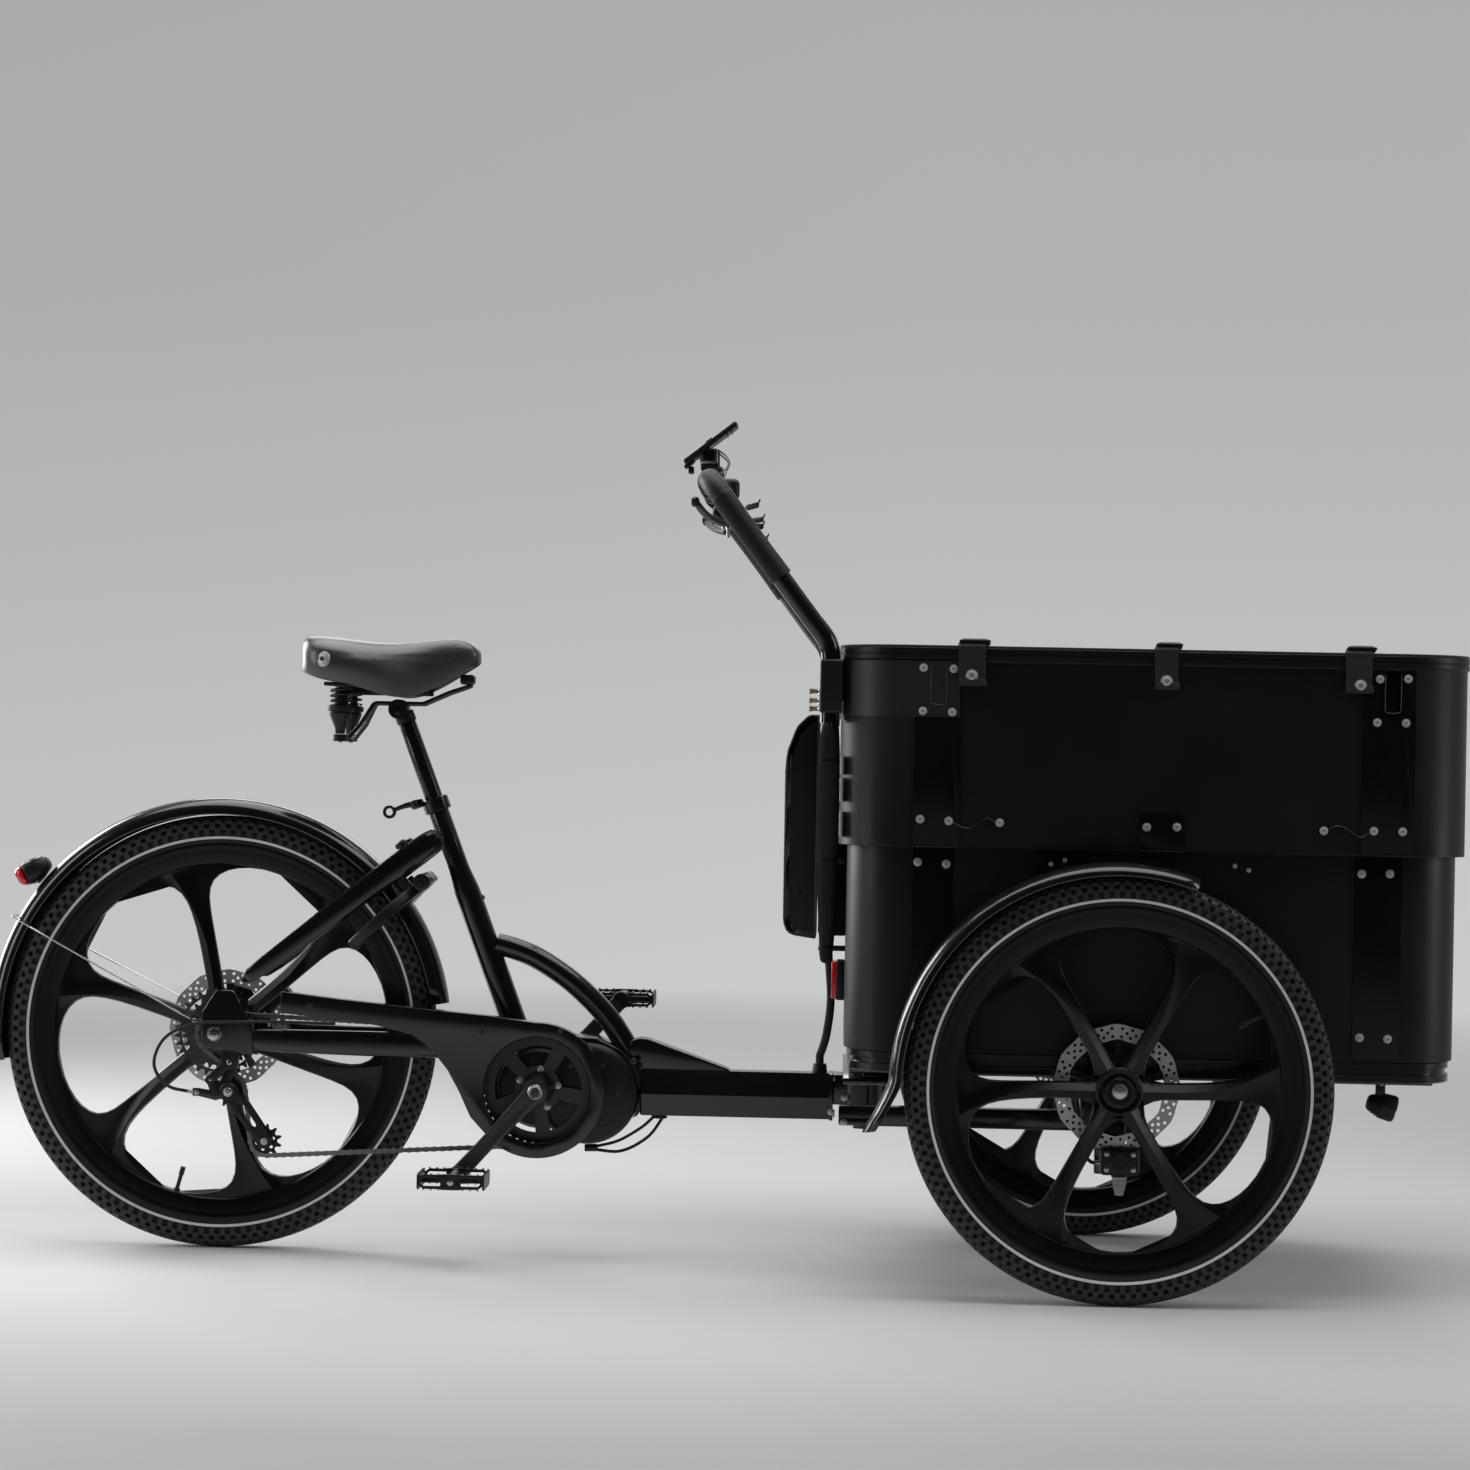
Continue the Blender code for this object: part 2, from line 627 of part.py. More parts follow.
def make_stays():
    """Chain stays with their dropout plates, and the flattened seat stays."""
    dropout = [
        (-0.686, 0.300), (-0.686, 0.344), (-0.704, 0.372), (-0.717, 0.395), (-0.742, 0.396),
        (-0.764, 0.362), (-0.764, 0.312), (-0.741, 0.306),
    ]
    for label, side in (("right", RIGHT), ("left", LEFT)):
        stay = [
            ((-0.3560, side * 0.0245, 0.316), 0.0095, 0.0200),
            ((-0.400, side * 0.0430, 0.3175), 0.0090, 0.0195),
            ((-0.540, side * 0.0550, 0.319), 0.0095, 0.0190),
            ((-0.665, side * 0.0680, 0.322), 0.0080, 0.0170),
            ((-0.700, side * 0.0712, 0.324), 0.0032, 0.0150),
        ]
        body = loft(f"chainstay_{label}", bar_rings(stay, 12, 3.0), "gloss")
        plate_y = sorted((side * 0.0688, side * 0.0752))
        drop = plate(f"dropout_{label}", [dropout], *plate_y)
        bore = rod(f"dropout_bore_{label}", REAR_AXLE - Y * 0.1, REAR_AXLE + Y * 0.1, 0.0053, sides=12)
        cut(join(body, drop), bore)
        stay = [
            ((-0.405, side * 0.0215, 0.6425), 0.0095, 0.0190),
            ((-0.450, side * 0.0400, 0.6085), 0.0095, 0.0190),
            ((-0.530, side * 0.0520, 0.5460), 0.0090, 0.0180),
            ((-0.640, side * 0.0650, 0.4600), 0.0080, 0.0150),
            ((-0.714, side * 0.0722, 0.4020), 0.0030, 0.0125),
        ]
        upper = loft(f"seatstay_{label}", bar_rings(stay, 12, 2.6), "gloss")
        near, far = plate_y[0] - CLEARANCE, plate_y[1] + CLEARANCE
        plate_trim = plate(f"seatstay_trim_{label}", [dropout], near, far)
        cut(upper, seat_tube_solid(f"seatstay_seat_{label}", None, CLEARANCE), plate_trim)


def guard_shell(name, centre, crown, arc, half_width, drop, flare=None, steps=16):
    """A mudguard: an arched strip along an arc, thickened to sheet."""
    strip = ((-1.0, drop), (-0.72, 0.34 * drop), (0.0, 0.0), (0.72, 0.34 * drop), (1.0, drop))
    mesh = bmesh.new()
    rows = []
    for i in range(steps + 1):
        angle = math.radians(arc[0] + (arc[1] - arc[0]) * i / steps)
        radius = crown + (flare(i / steps) if flare else 0)
        rows.append([
            mesh.verts.new((
                centre[0] + (radius - inset) * math.cos(angle),
                centre[1] + across * half_width,
                centre[2] + (radius - inset) * math.sin(angle),
            ))
            for across, inset in strip
        ])
    for one, two in zip(rows, rows[1:]):
        for i in range(len(strip) - 1):
            mesh.faces.new((one[i], one[i + 1], two[i + 1], two[i]))
    obj = from_bmesh(name, mesh, "gloss")
    sheet = obj.modifiers.new("sheet", "SOLIDIFY")
    sheet.thickness = GUARD_SHEET
    sheet.offset = 0
    return obj


def make_mudguards():
    """Rear mudguard with its wire stay, and the two front mudguards with a flared tail."""
    guard_shell("rear_mudguard", REAR_GUARD_CENTRE, 0.3550, (189, 8), 0.0315, 0.012, steps=22)
    outwards = Vector((math.cos(math.radians(152)), 0, math.sin(math.radians(152))))
    foot = REAR_AXLE + Vector((-0.030, 0, 0.020))
    half = [
        (foot, 0.0771), (foot + Vector((-0.020, 0, 0.010)), 0.0771),
        (REAR_GUARD_CENTRE + outwards * 0.325, 0.0420), (REAR_GUARD_CENTRE + outwards * 0.344, 0.0352),
        (REAR_GUARD_CENTRE + outwards * 0.3580, 0.0352),
    ]
    route = [place - Y * y for place, y in half] + [place + Y * y for place, y in half[::-1]]
    tube("mudguard_stay", rounded(route, 0.003, 2), 0.0016, "steel", 1)
    for label, side in (("right", RIGHT), ("left", LEFT)):
        centre = FRONT_AXLE + Y * side * TRACK / 2
        guard_shell(
            f"front_mudguard_{label}", centre, 0.3215, (70, 190.5), 0.0320, 0.0135,
            lambda t: 0.004 * min(t * 2, 1) + 0.042 * max((t - 0.90) / 0.10, 0) ** 1.4,
        )
        arms = []
        for angle in (100, 158):
            reach = 0.3125 * Vector((math.cos(math.radians(angle)), 0, math.sin(math.radians(angle))))
            spot = Vector((FRONT_AXLE.x, side * 0.3338, FRONT_AXLE.z)) + reach
            turn = Matrix.Rotation(math.radians(90 - angle), 3, "Y")
            arms.append(box(f"guard_arm_{label}_{angle}", spot, (0.030, 0.0466, 0.004), turn=turn))
        join(bpy.data.objects[f"front_mudguard_{label}"], *arms)


def make_rear_light():
    """Rear light on the mudguard, with its bracket."""
    body = loft("rear_light", bar_rings([
        ((-1.058, 0, 0.556), 0.022, 0.014), ((-1.050, 0, 0.562), 0.026, 0.019),
        ((-1.030, 0, 0.574), 0.022, 0.016), ((-1.018, 0, 0.5825), 0.010, 0.009),
    ], 12, 2.6), "red_lens")
    inside = Vector((-1.040, 0, 0.568))
    foot = REAR_GUARD_CENTRE + (inside - REAR_GUARD_CENTRE).normalized() * 0.3564
    join(body, rod("rear_light_foot", inside, foot, 0.0080, sides=8, end_radius=0.0110))


def make_ring_lock():
    """Frame lock: a horseshoe round the rear tyre with a shackle that swings through its mouth."""
    normal = LOCK_ALONG.cross(Y)
    place = Matrix.Translation(LOCK_ORIGIN) @ Matrix((LOCK_ALONG, Y, normal)).transposed().to_4x4()
    sweep = 2 * (math.pi - LOCK_OPENING)
    outer, inner = LOCK_RADIUS + LOCK_HALF, LOCK_RADIUS - LOCK_HALF
    outline = circle(LOCK_MIDDLE, 0, outer, 13, LOCK_OPENING, sweep, closed=False)
    outline += circle(LOCK_MIDDLE, 0, inner, 13, -LOCK_OPENING, -sweep, closed=False)
    body = plate("ring_lock", [outline], -0.0090, 0.0090, "satin", "XY")
    back = box("ring_lock_back", (0.0060, 0, 0), (0.036, 0.076, 0.018))
    key = rod("ring_lock_key", (0.002, -0.030, 0), (0.002, -0.062, 0), 0.0130, sides=14)
    shackle = tube("lock_shackle", lock_arc(-54, -178), 0.0040, "steel", 1)
    tunnel = solid(tube("lock_tunnel", lock_arc(-44, -184), 0.0058, None, 1))
    socket = solid(tube("lock_socket", lock_arc(44, 70), 0.0058, None, 1))
    tabs = [
        box(f"lock_tab_{side}", (0.024, side * 0.0420, -0.0155), (0.016, 0.010, 0.017))
        for side in (RIGHT, LEFT)
    ]
    for piece in (body, back, key, shackle, tunnel, socket, *tabs):
        piece.matrix_world = place @ piece.matrix_world
    cut(join(body, back, key, *tabs), tunnel, socket)


def lock_arc(start, end):
    """Points of the shackle's path inside the lock, in degrees from the mouth."""
    steps = max(4, abs(end - start) // 13)
    angles = [math.radians(start + (end - start) * i / steps) for i in range(steps + 1)]
    return [(LOCK_MIDDLE + LOCK_RADIUS * math.cos(a), LOCK_RADIUS * math.sin(a), 0) for a in angles]


# Drive train


def chain_route():
    """Closed route of the chain round ring, tension pulley, guide pulley and cog, on its pitch line."""
    ring, pulley = teeth_radius(RING_TEETH), teeth_radius(PULLEY_TEETH)
    cog = teeth_radius(COG_TEETH[USED_COG])
    wheels = (
        (CRANK_AXIS, ring, -1, 14), (TENSION_PULLEY, pulley, -1, 6),
        (GUIDE_PULLEY, pulley, 1, 6), (REAR_AXLE, cog, -1, 8),
    )
    leaves, meets = [], []
    for (one, r1, s1, _), (two, r2, s2, _) in zip(wheels, wheels[1:] + wheels[:1]):
        gap = Vector((two.x - one.x, two.z - one.z))
        turn = math.atan2(gap.y, gap.x) - math.asin((s2 * r2 - s1 * r1) / gap.length)
        normal = math.pi / 2 + turn
        leaves.append(normal if s1 < 0 else normal + math.pi)
        meets.append(normal if s2 < 0 else normal + math.pi)
    route = []
    for i, (centre, radius, sense, steps) in enumerate(wheels):
        start, end = meets[i - 1], leaves[i]
        sweep = (end - start) % (2 * math.pi)
        if sense < 0:
            sweep -= 2 * math.pi
        for k in range(steps + 1):
            angle = start + sweep * k / steps
            route.append((centre.x + radius * math.cos(angle), centre.z + radius * math.sin(angle)))
    return route


def make_chain():
    """The chain as one closed band with an H section, so that teeth enter it from either side."""
    route = chain_route()
    count = len(route)
    section = (
        (-0.0032, -0.0042), (-0.0019, -0.0042), (-0.0019, -0.0012), (0.0019, -0.0012),
        (0.0019, -0.0042), (0.0032, -0.0042), (0.0032, 0.0042), (0.0019, 0.0042),
        (0.0019, 0.0012), (-0.0019, 0.0012), (-0.0019, 0.0042), (-0.0032, 0.0042),
    )
    mesh = bmesh.new()
    rows = []
    for i, (x, z) in enumerate(route):
        before, after = Vector(route[i - 1]), Vector(route[(i + 1) % count])
        here = Vector((x, z))
        one, two = (here - before).normalized(), (after - here).normalized()
        mitre = Vector((-(one + two).y, (one + two).x)).normalized()
        mitre /= max(mitre.dot(Vector((-one.y, one.x))), 0.7)
        rows.append([
            mesh.verts.new((x + mitre.x * up, CHAIN_LINE + across, z + mitre.y * up))
            for across, up in section
        ])
    for i in range(count):
        one, two = rows[i], rows[(i + 1) % count]
        for k in range(len(section)):
            n = (k + 1) % len(section)
            mesh.faces.new((one[k], one[n], two[n], two[k]))
    return from_bmesh("chain", mesh, "dark_steel")


def sprocket_outline(centre, teeth):
    """A toothed outline whose tips stay under the chain's rollers."""
    pitch = teeth_radius(teeth)
    outline = []
    for i in range(teeth):
        for share, radius in ((0.0, pitch - 0.0046), (0.5, pitch - 0.0018)):
            angle = 2 * math.pi * (i + share) / teeth
            outline.append((centre.x + radius * math.cos(angle), centre.z + radius * math.sin(angle)))
    return outline


def crank_tip(side):
    """End of the crank on this side, in the middle plane."""
    angle = CRANK_ANGLE + (math.pi if side == LEFT else 0)
    return CRANK_AXIS + Vector((math.cos(angle), 0, math.sin(angle))) * CRANK_LENGTH


def make_cranks():
    """Right crank with its chainring, left crank with the spindle, and both pedals."""
    for label, side in (("right", RIGHT), ("left", LEFT)):
        tip = crank_tip(side)
        stations = [
            (CRANK_AXIS + Y * side * 0.094, 0.0150, 0.0075),
            (CRANK_AXIS.lerp(tip, 0.35) + Y * side * 0.098, 0.0130, 0.0070),
            (tip + Y * side * 0.104, 0.0115, 0.0065),
        ]
        out = (tip - CRANK_AXIS).normalized()
        rings = [oval(c, out.cross(Y) * w, Y * t, 12, 3.2) for c, w, t in stations]
        arm = loft(f"crank_{label}", rings, "satin")
        ends = [
            rod(f"crank_boss_{label}", CRANK_AXIS + Y * side * 0.083, CRANK_AXIS + Y * side * 0.1020, 0.0185,
                sides=20),
            rod(f"crank_tip_{label}", tip + Y * side * 0.0970, tip + Y * side * 0.1108, 0.0140, sides=16),
            rod(f"pedal_spindle_{label}", tip + Y * side * 0.105, tip + Y * side * 0.2060,
                PEDAL_SPINDLE_RADIUS, sides=10),
        ]
        join(arm, *ends)
        if side == LEFT:
            ends = CRANK_AXIS - Y * 0.0825, CRANK_AXIS + Y * 0.09
            join(arm, rod("spindle", *ends, SPINDLE_RADIUS, sides=16))
        else:
            join(arm, chainring())
        make_pedal(label, side, tip)


def chainring():
    """Chainring with five windows, and the sleeve that ties it to the right crank."""
    teeth = sprocket_outline(CRANK_AXIS, RING_TEETH)
    windows = []
    for i in range(5):
        start = 2 * math.pi * i / 5
        outer = circle(CRANK_AXIS.x, CRANK_AXIS.z, 0.066, 5, start, 0.92, closed=False)
        inner = circle(CRANK_AXIS.x, CRANK_AXIS.z, 0.034, 3, start + 0.10, 0.72, closed=False)
        windows.append(outer + inner[::-1])
    windows.append(circle(CRANK_AXIS.x, CRANK_AXIS.z, 0.0108, 12))
    disc = plate("chainring", [teeth, *windows], CHAIN_LINE - 0.0011, CHAIN_LINE + 0.0011)
    sleeve = turned("chainring_sleeve", [
        (0.0250, CHAIN_LINE), (0.0250, CHAIN_LINE - 0.006), (0.0180, -0.084), (0.0108, -0.084),
        (0.0108, CHAIN_LINE),
    ], (CRANK_AXIS.x, 0, CRANK_AXIS.z), None, 12)
    return join(disc, sleeve)


def make_pedal(label, side, tip):
    """Platform pedal: a barrel on the spindle between toothed front and rear cages."""
    middle = tip + Y * side * PEDAL_OFFSET
    name = f"pedal_{label}"
    barrel = rod(name, middle - Y * 0.0450, middle + Y * 0.0440, 0.0105, "satin", 14)
    pieces = []
    for end in (-1, 1):
        teeth = [(-0.044, -0.010)]
        for i in range(6):
            start = -0.044 + i * 0.088 / 6
            teeth += [(start, 0.0085), (start + 0.0073, 0.0120)]
        teeth += [(0.044, 0.0085), (0.044, -0.010)]
        outline = [(middle.y + a, middle.z + b) for a, b in teeth]
        x = sorted((middle.x + end * 0.0470, middle.x + end * 0.0500))
        pieces.append(plate(f"{name}_cage_{end}", [outline], *x, plane="YZ"))
    for share in (-1, 1):
        place = middle + Y * share * 0.0405
        pieces.append(box(f"{name}_side_{share}", place, (0.0960, 0.0070, 0.0110)))
    bore = rod(f"{name}_bore", tip, tip + Y * side * 0.25, PEDAL_SPINDLE_RADIUS + CLEARANCE, sides=10)
    cut(join(barrel, *pieces), bore)


def make_cassette():
    """Stepped stack of cogs on the rear hub."""
    profile = [(0.0180, -0.0275)]
    y = -0.030
    for i, teeth in enumerate(COG_TEETH):
        tip = teeth_radius(teeth) - (0.0018 if i == USED_COG else -0.0022)
        base = teeth_radius(COG_TEETH[min(i + 1, len(COG_TEETH) - 1)]) - 0.0052
        middle = y - COG_SPACING * i
        profile += [(base if i == 0 else profile[-1][0], middle + 0.0009), (tip, middle + 0.0009),
                    (tip, middle - 0.0009), (base, middle - 0.0009)]
    profile += [(0.0120, -0.0625), (0.0065, -0.0625), (0.0065, -0.0275)]
    turned("cassette", profile, REAR_AXLE, "dark_steel", 16)


def make_derailleur():
    """Rear derailleur: knuckles and links, the sprung cage, and its two toothed pulleys."""
    hanger = [(-0.7330, 0.3047), (-0.7060, 0.3018), (-0.7060, 0.276), (-0.7330, 0.276)]
    body = plate("derailleur_body", [hanger], -0.0800, -0.0640, "satin")
    links = loft("derailleur_links", bar_rings([
        ((-0.7200, -0.0730, 0.288), 0.0080, 0.0120), ((-0.7480, -0.0720, 0.262), 0.0090, 0.0130),
        ((-0.7400, -0.0715, 0.240), 0.0090, 0.0140), ((-0.7210, -0.0700, 0.243), 0.0070, 0.0130),
    ], 10, 3.0))
    ends = GUIDE_PULLEY - Y * 0.0625, GUIDE_PULLEY - Y * 0.0790
    knuckle = rod("derailleur_knuckle", *ends, 0.0140, sides=16)
    join(body, links, knuckle)
    along = (TENSION_PULLEY - GUIDE_PULLEY).normalized()
    across = Vector((-along.z, 0, along.x))
    outline = []
    for centre, radius, start in ((GUIDE_PULLEY, 0.0130, 0), (TENSION_PULLEY, 0.0115, math.pi)):
        for k in range(7):
            angle = start + math.pi * k / 6
            point = centre + (across * math.cos(angle) - along * math.sin(angle)) * radius
            outline.append((point.x, point.z))
    cage = plate("derailleur_cage", [outline], *CAGE_OUTER_Y, "dark_steel")
    join(cage, plate("cage_inner", [outline], *CAGE_INNER_Y))
    for label, centre in (("upper", GUIDE_PULLEY), ("lower", TENSION_PULLEY)):
        ends = centre - Y * 0.0600, centre - Y * 0.0395
        join(cage, rod(f"pulley_bolt_{label}", *ends, 0.0030, sides=10))
        teeth = sprocket_outline(centre, PULLEY_TEETH)
        pulley = plate(f"jockey_wheel_{label}", [teeth], CHAIN_LINE - 0.0010, CHAIN_LINE + 0.0010, "satin")
        ends = centre + Y * (CHAIN_LINE - 0.0070), centre + Y * (CHAIN_LINE + 0.0070)
        hub = rod(f"jockey_hub_{label}", *ends, 0.0080, sides=12)
        hole = rod(f"jockey_bore_{label}", centre - Y * 0.08, centre - Y * 0.02, 0.0033, sides=12)
        cut(join(pulley, hub), hole)


def make_chain_guard():
    """Chain guard: a ring round the chainring that flares into an arm over the chain stay."""
    outline = [(-0.644, 0.3965), (-0.552, 0.3865), (-0.420, 0.3745), (-0.330, 0.3670)]
    x, z, start = CRANK_AXIS.x, CRANK_AXIS.z, math.radians(92)
    outline += circle(x, z, GUARD_RADIUS, 15, start, math.radians(-222), closed=False)
    outline += [
        (-0.354, 0.214), (-0.390, 0.284), (-0.416, 0.316), (-0.445, 0.336), (-0.500, 0.349),
        (-0.644, 0.3640),
    ]
    ring = circle(x, z, GUARD_OPENING, 24)
    body = plate("chain_guard", [outline, ring], -0.0800, -0.0580, "gloss")
    inside = [(-0.650, 0.3920), (-0.552, 0.3835), (-0.420, 0.3715), (-0.330, 0.3640)]
    inside += circle(x, z, GUARD_RADIUS - 0.003, 15, start, math.radians(-218), closed=False)
    inside += [
        (-0.351, 0.216), (-0.388, 0.286), (-0.414, 0.319), (-0.444, 0.339), (-0.500, 0.352),
        (-0.650, 0.3665),
    ]
    hollow = plate("chain_guard_hollow", [inside], -0.0770, -0.0500)
    lip = plate("chain_guard_lip", [circle(x, z, GUARD_OPENING + 0.003, 24), ring], -0.0800, -0.0700)
    join(cut(body, hollow), lip)


def make_rear_brake():
    """Rear brake caliper on the left chain stay."""
    place = REAR_AXLE + Vector((0.070, 0.0520, 0.050))
    turn = Matrix.Rotation(math.radians(-45), 3, "Y")
    body = box("rear_caliper", place, (0.052, 0.0330, 0.032), "satin", 0.004, turn)
    cut(body, rotor_space("rear_caliper_slot", REAR_AXLE, REAR_ROTOR_OFFSET))


def make_rear_cables():
    """Shift cable looping behind the derailleur, and the two leads from main tube to motor."""
    loop = [
        (-0.560, -0.084, 0.350), (-0.640, -0.086, 0.351), (-0.705, -0.088, 0.350),
        (-0.775, -0.088, 0.345), (-0.818, -0.088, 0.322), (-0.833, -0.087, 0.283),
        (-0.812, -0.086, 0.252), (-0.775, -0.080, 0.242),
    ]
    tube("shift_cable", smooth(loop, 2), 0.0025, "rubber", 1)
    upper = smooth([(-0.080, 0, 0.2145), (-0.100, 0, 0.196), (-0.135, 0, 0.175), (-0.170, 0, 0.1655)], 2)
    lower = smooth([(-0.066, 0, 0.2145), (-0.090, 0, 0.182), (-0.130, 0, 0.160), (-0.172, 0, 0.1610)], 2)
    first = solid(tube("motor_cable", upper, 0.0024, "rubber", 1))
    painted(first, "rubber")
    second = solid(tube("motor_cable_lower", lower, 0.0024, None, 1))
    plug = rod("motor_plug", (-0.166, 0, 0.1640), (-0.186, 0, 0.1632), 0.0058, sides=10)
    gland = rod("motor_gland", (-0.073, 0, 0.2158), (-0.073, 0, 0.2110), 0.0120, sides=12)
    join(first, second, plug, gland)


# Saddle


def make_saddle():
    """Seat post, rails, saddle and its two rubber springs."""
    post = rod("seat_post", seat_line(0.535), seat_line(0.818), SEAT_POST_RADIUS, "gloss", 16)
    clamp = rod("seat_clamp", (-0.4835, -0.020, 0.8265), (-0.4835, 0.020, 0.8265), 0.0150, sides=16)
    rails_bore = [
        rod(f"clamp_bore_{side}", (-0.53, side * 0.0130, 0.8350), (-0.44, side * 0.0130, 0.8350), 0.0040,
            sides=10)
        for side in (RIGHT, LEFT)
    ]
    cut(join(post, clamp), *rails_bore)
    half = [
        (-0.3740, 0.0075, 0.864), (-0.405, 0.0130, 0.853), (-0.445, 0.0130, 0.8350), (-0.520, 0.0130, 0.8350),
        (-0.538, 0.0330, 0.8020), (-0.555, 0.0400, 0.7812), (-0.566, 0.0520, 0.7810),
    ]
    route = [(x, -y, z) for x, y, z in half[::-1]] + half
    rails = solid(tube("saddle_rails", rounded(route, 0.006, 1), 0.0035, "dark_steel", 1))
    painted(rails, "dark_steel")
    feet = [
        rod(f"spring_foot_{side}", (-0.5655, side * 0.058, 0.7755), (-0.5655, side * 0.058, 0.7865), 0.0110,
            sides=12)
        for side in (RIGHT, LEFT)
    ]
    join(rails, *feet)
    stations = (
        (-0.628, 0.906, 0.060, 0.0195), (-0.610, 0.9045, 0.096, 0.0300), (-0.570, 0.8970, 0.116, 0.0350),
        (-0.525, 0.8900, 0.104, 0.0380), (-0.480, 0.8840, 0.074, 0.0440), (-0.455, 0.8860, 0.056, 0.0450),
        (-0.420, 0.8960, 0.041, 0.0380), (-0.385, 0.9105, 0.033, 0.0250), (-0.364, 0.9125, 0.025, 0.0170),
        (-0.357, 0.9100, 0.016, 0.0090),
    )
    rings = [oval((x, 0, z), Y * w, Z * h, 16, 2.4) for x, z, w, h in stations]
    saddle = loft("saddle", rings, "rubber")
    well = box("saddle_well", (-0.490, 0, 0.842), (0.24, 0.060, 0.052))
    cut(saddle, well)
    for label, side in (("right", RIGHT), ("left", LEFT)):
        turned(f"saddle_spring_{label}", [
            (0.0, 0.0715), (0.0190, 0.0715), (0.0200, 0.0610), (0.0150, 0.0520), (0.0190, 0.0430),
            (0.0140, 0.0340), (0.0160, 0.0250), (0.0105, 0.0160), (0.0120, 0.0100), (0.0080, 0.0000),
            (0.0, 0.0),
        ], (-0.5655, side * 0.058, 0.7868), "rubber", 12, axis="Z")


# Front module


def make_subframe():
    """Sub-frame of the steered front: kingpin, plates, rails, cross beam, stub axles and calipers."""
    x = KINGPIN_X
    low, high = HEAD_Z
    top = box("front_subframe", (x + 0.010, 0, high + 0.0065), (0.086, 0.440, 0.009), "gloss")
    pieces = [
        rod("kingpin", (x, 0, 0.2055), (x, 0, high + 0.008), KINGPIN_RADIUS, sides=20),
        box("lower_beam", (0.395, 0, 0.2225), (0.390, 0.040, 0.029)),
        box("beam_post", (0.5944, 0, 0.2390), (0.060, 0.060, 0.062)),
        box("cross_beam", (0.5944, 0, 0.2865), (0.046, 0.626, 0.034)),
    ]
    for side in (RIGHT, LEFT):
        pieces.append(box(f"rail_seat_{side}", (0.255, side * RAIL_Y, 0.3000), (0.040, 0.030, 0.0073)))
        hub = FRONT_AXLE + Y * side * TRACK / 2
        pieces.append(box(f"axle_plate_{side}", (0.5944, side * 0.3160, 0.2900), (0.056, 0.014, 0.058)))
        out = Y * side
        pieces.append(rod(f"stub_{side}", hub - out * 0.070, hub + out * 0.0330, AXLE_RADIUS, sides=14))
        pieces.append(rod(f"stub_nut_{side}", hub + out * 0.0235, hub + out * 0.0310, 0.0100, sides=6))
        pieces.append(box(f"caliper_arm_{side}", (0.588, side * 0.3200, 0.2280), (0.044, 0.009, 0.100)))
        caliper = Vector((0.600, side * 0.3430, 0.2000))
        pieces.append(box(f"caliper_{side}", caliper, (0.056, 0.040, 0.040), bevel=0.005))
        boot_top, boot_foot = caliper + Vector((0.001, 0, -0.018)), caliper + Vector((0.001, 0, -0.050))
        pieces.append(rod(f"caliper_boot_{side}", boot_top, boot_foot, 0.0110, sides=12, end_radius=0.0065))
    join(top, *pieces)
    middle = TRACK / 2 - FRONT_ROTOR_OFFSET
    cut(top, *[rotor_space(f"caliper_slot_{side}", FRONT_AXLE, side * middle) for side in (RIGHT, LEFT)])


def rotor_space(name, axle, middle):
    """The ring-shaped room that a rotor turns in, cut from the caliper round it."""
    outlines = [circle(axle.x, axle.z, ROTOR_RADIUS + 0.0020, 24), circle(axle.x, axle.z, 0.040, 12)]
    return plate(name, outlines, middle - 0.0022, middle + 0.0022)


def box_outline(grow=0.0):
    """Plan outline of the box, grown outwards."""
    return rounded_rectangle(
        (BOX_X[0] - grow, BOX_X[1] + grow), (-BOX_HALF_WIDTH - grow, BOX_HALF_WIDTH + grow),
        BOX_CORNER + grow,
    )


def box_ring(name, section, look):
    """A closed band round the box, swept from a section of (outward growth, height) points."""
    mesh = bmesh.new()
    rows = [[mesh.verts.new((x, y, z)) for x, y in box_outline(grow)] for grow, z in section]
    count = len(rows[0])
    for one, two in zip(rows, rows[1:] + rows[:1]):
        for i in range(count):
            j = (i + 1) % count
            mesh.faces.new((one[i], one[j], two[j], two[i]))
    return from_bmesh(name, mesh, look)


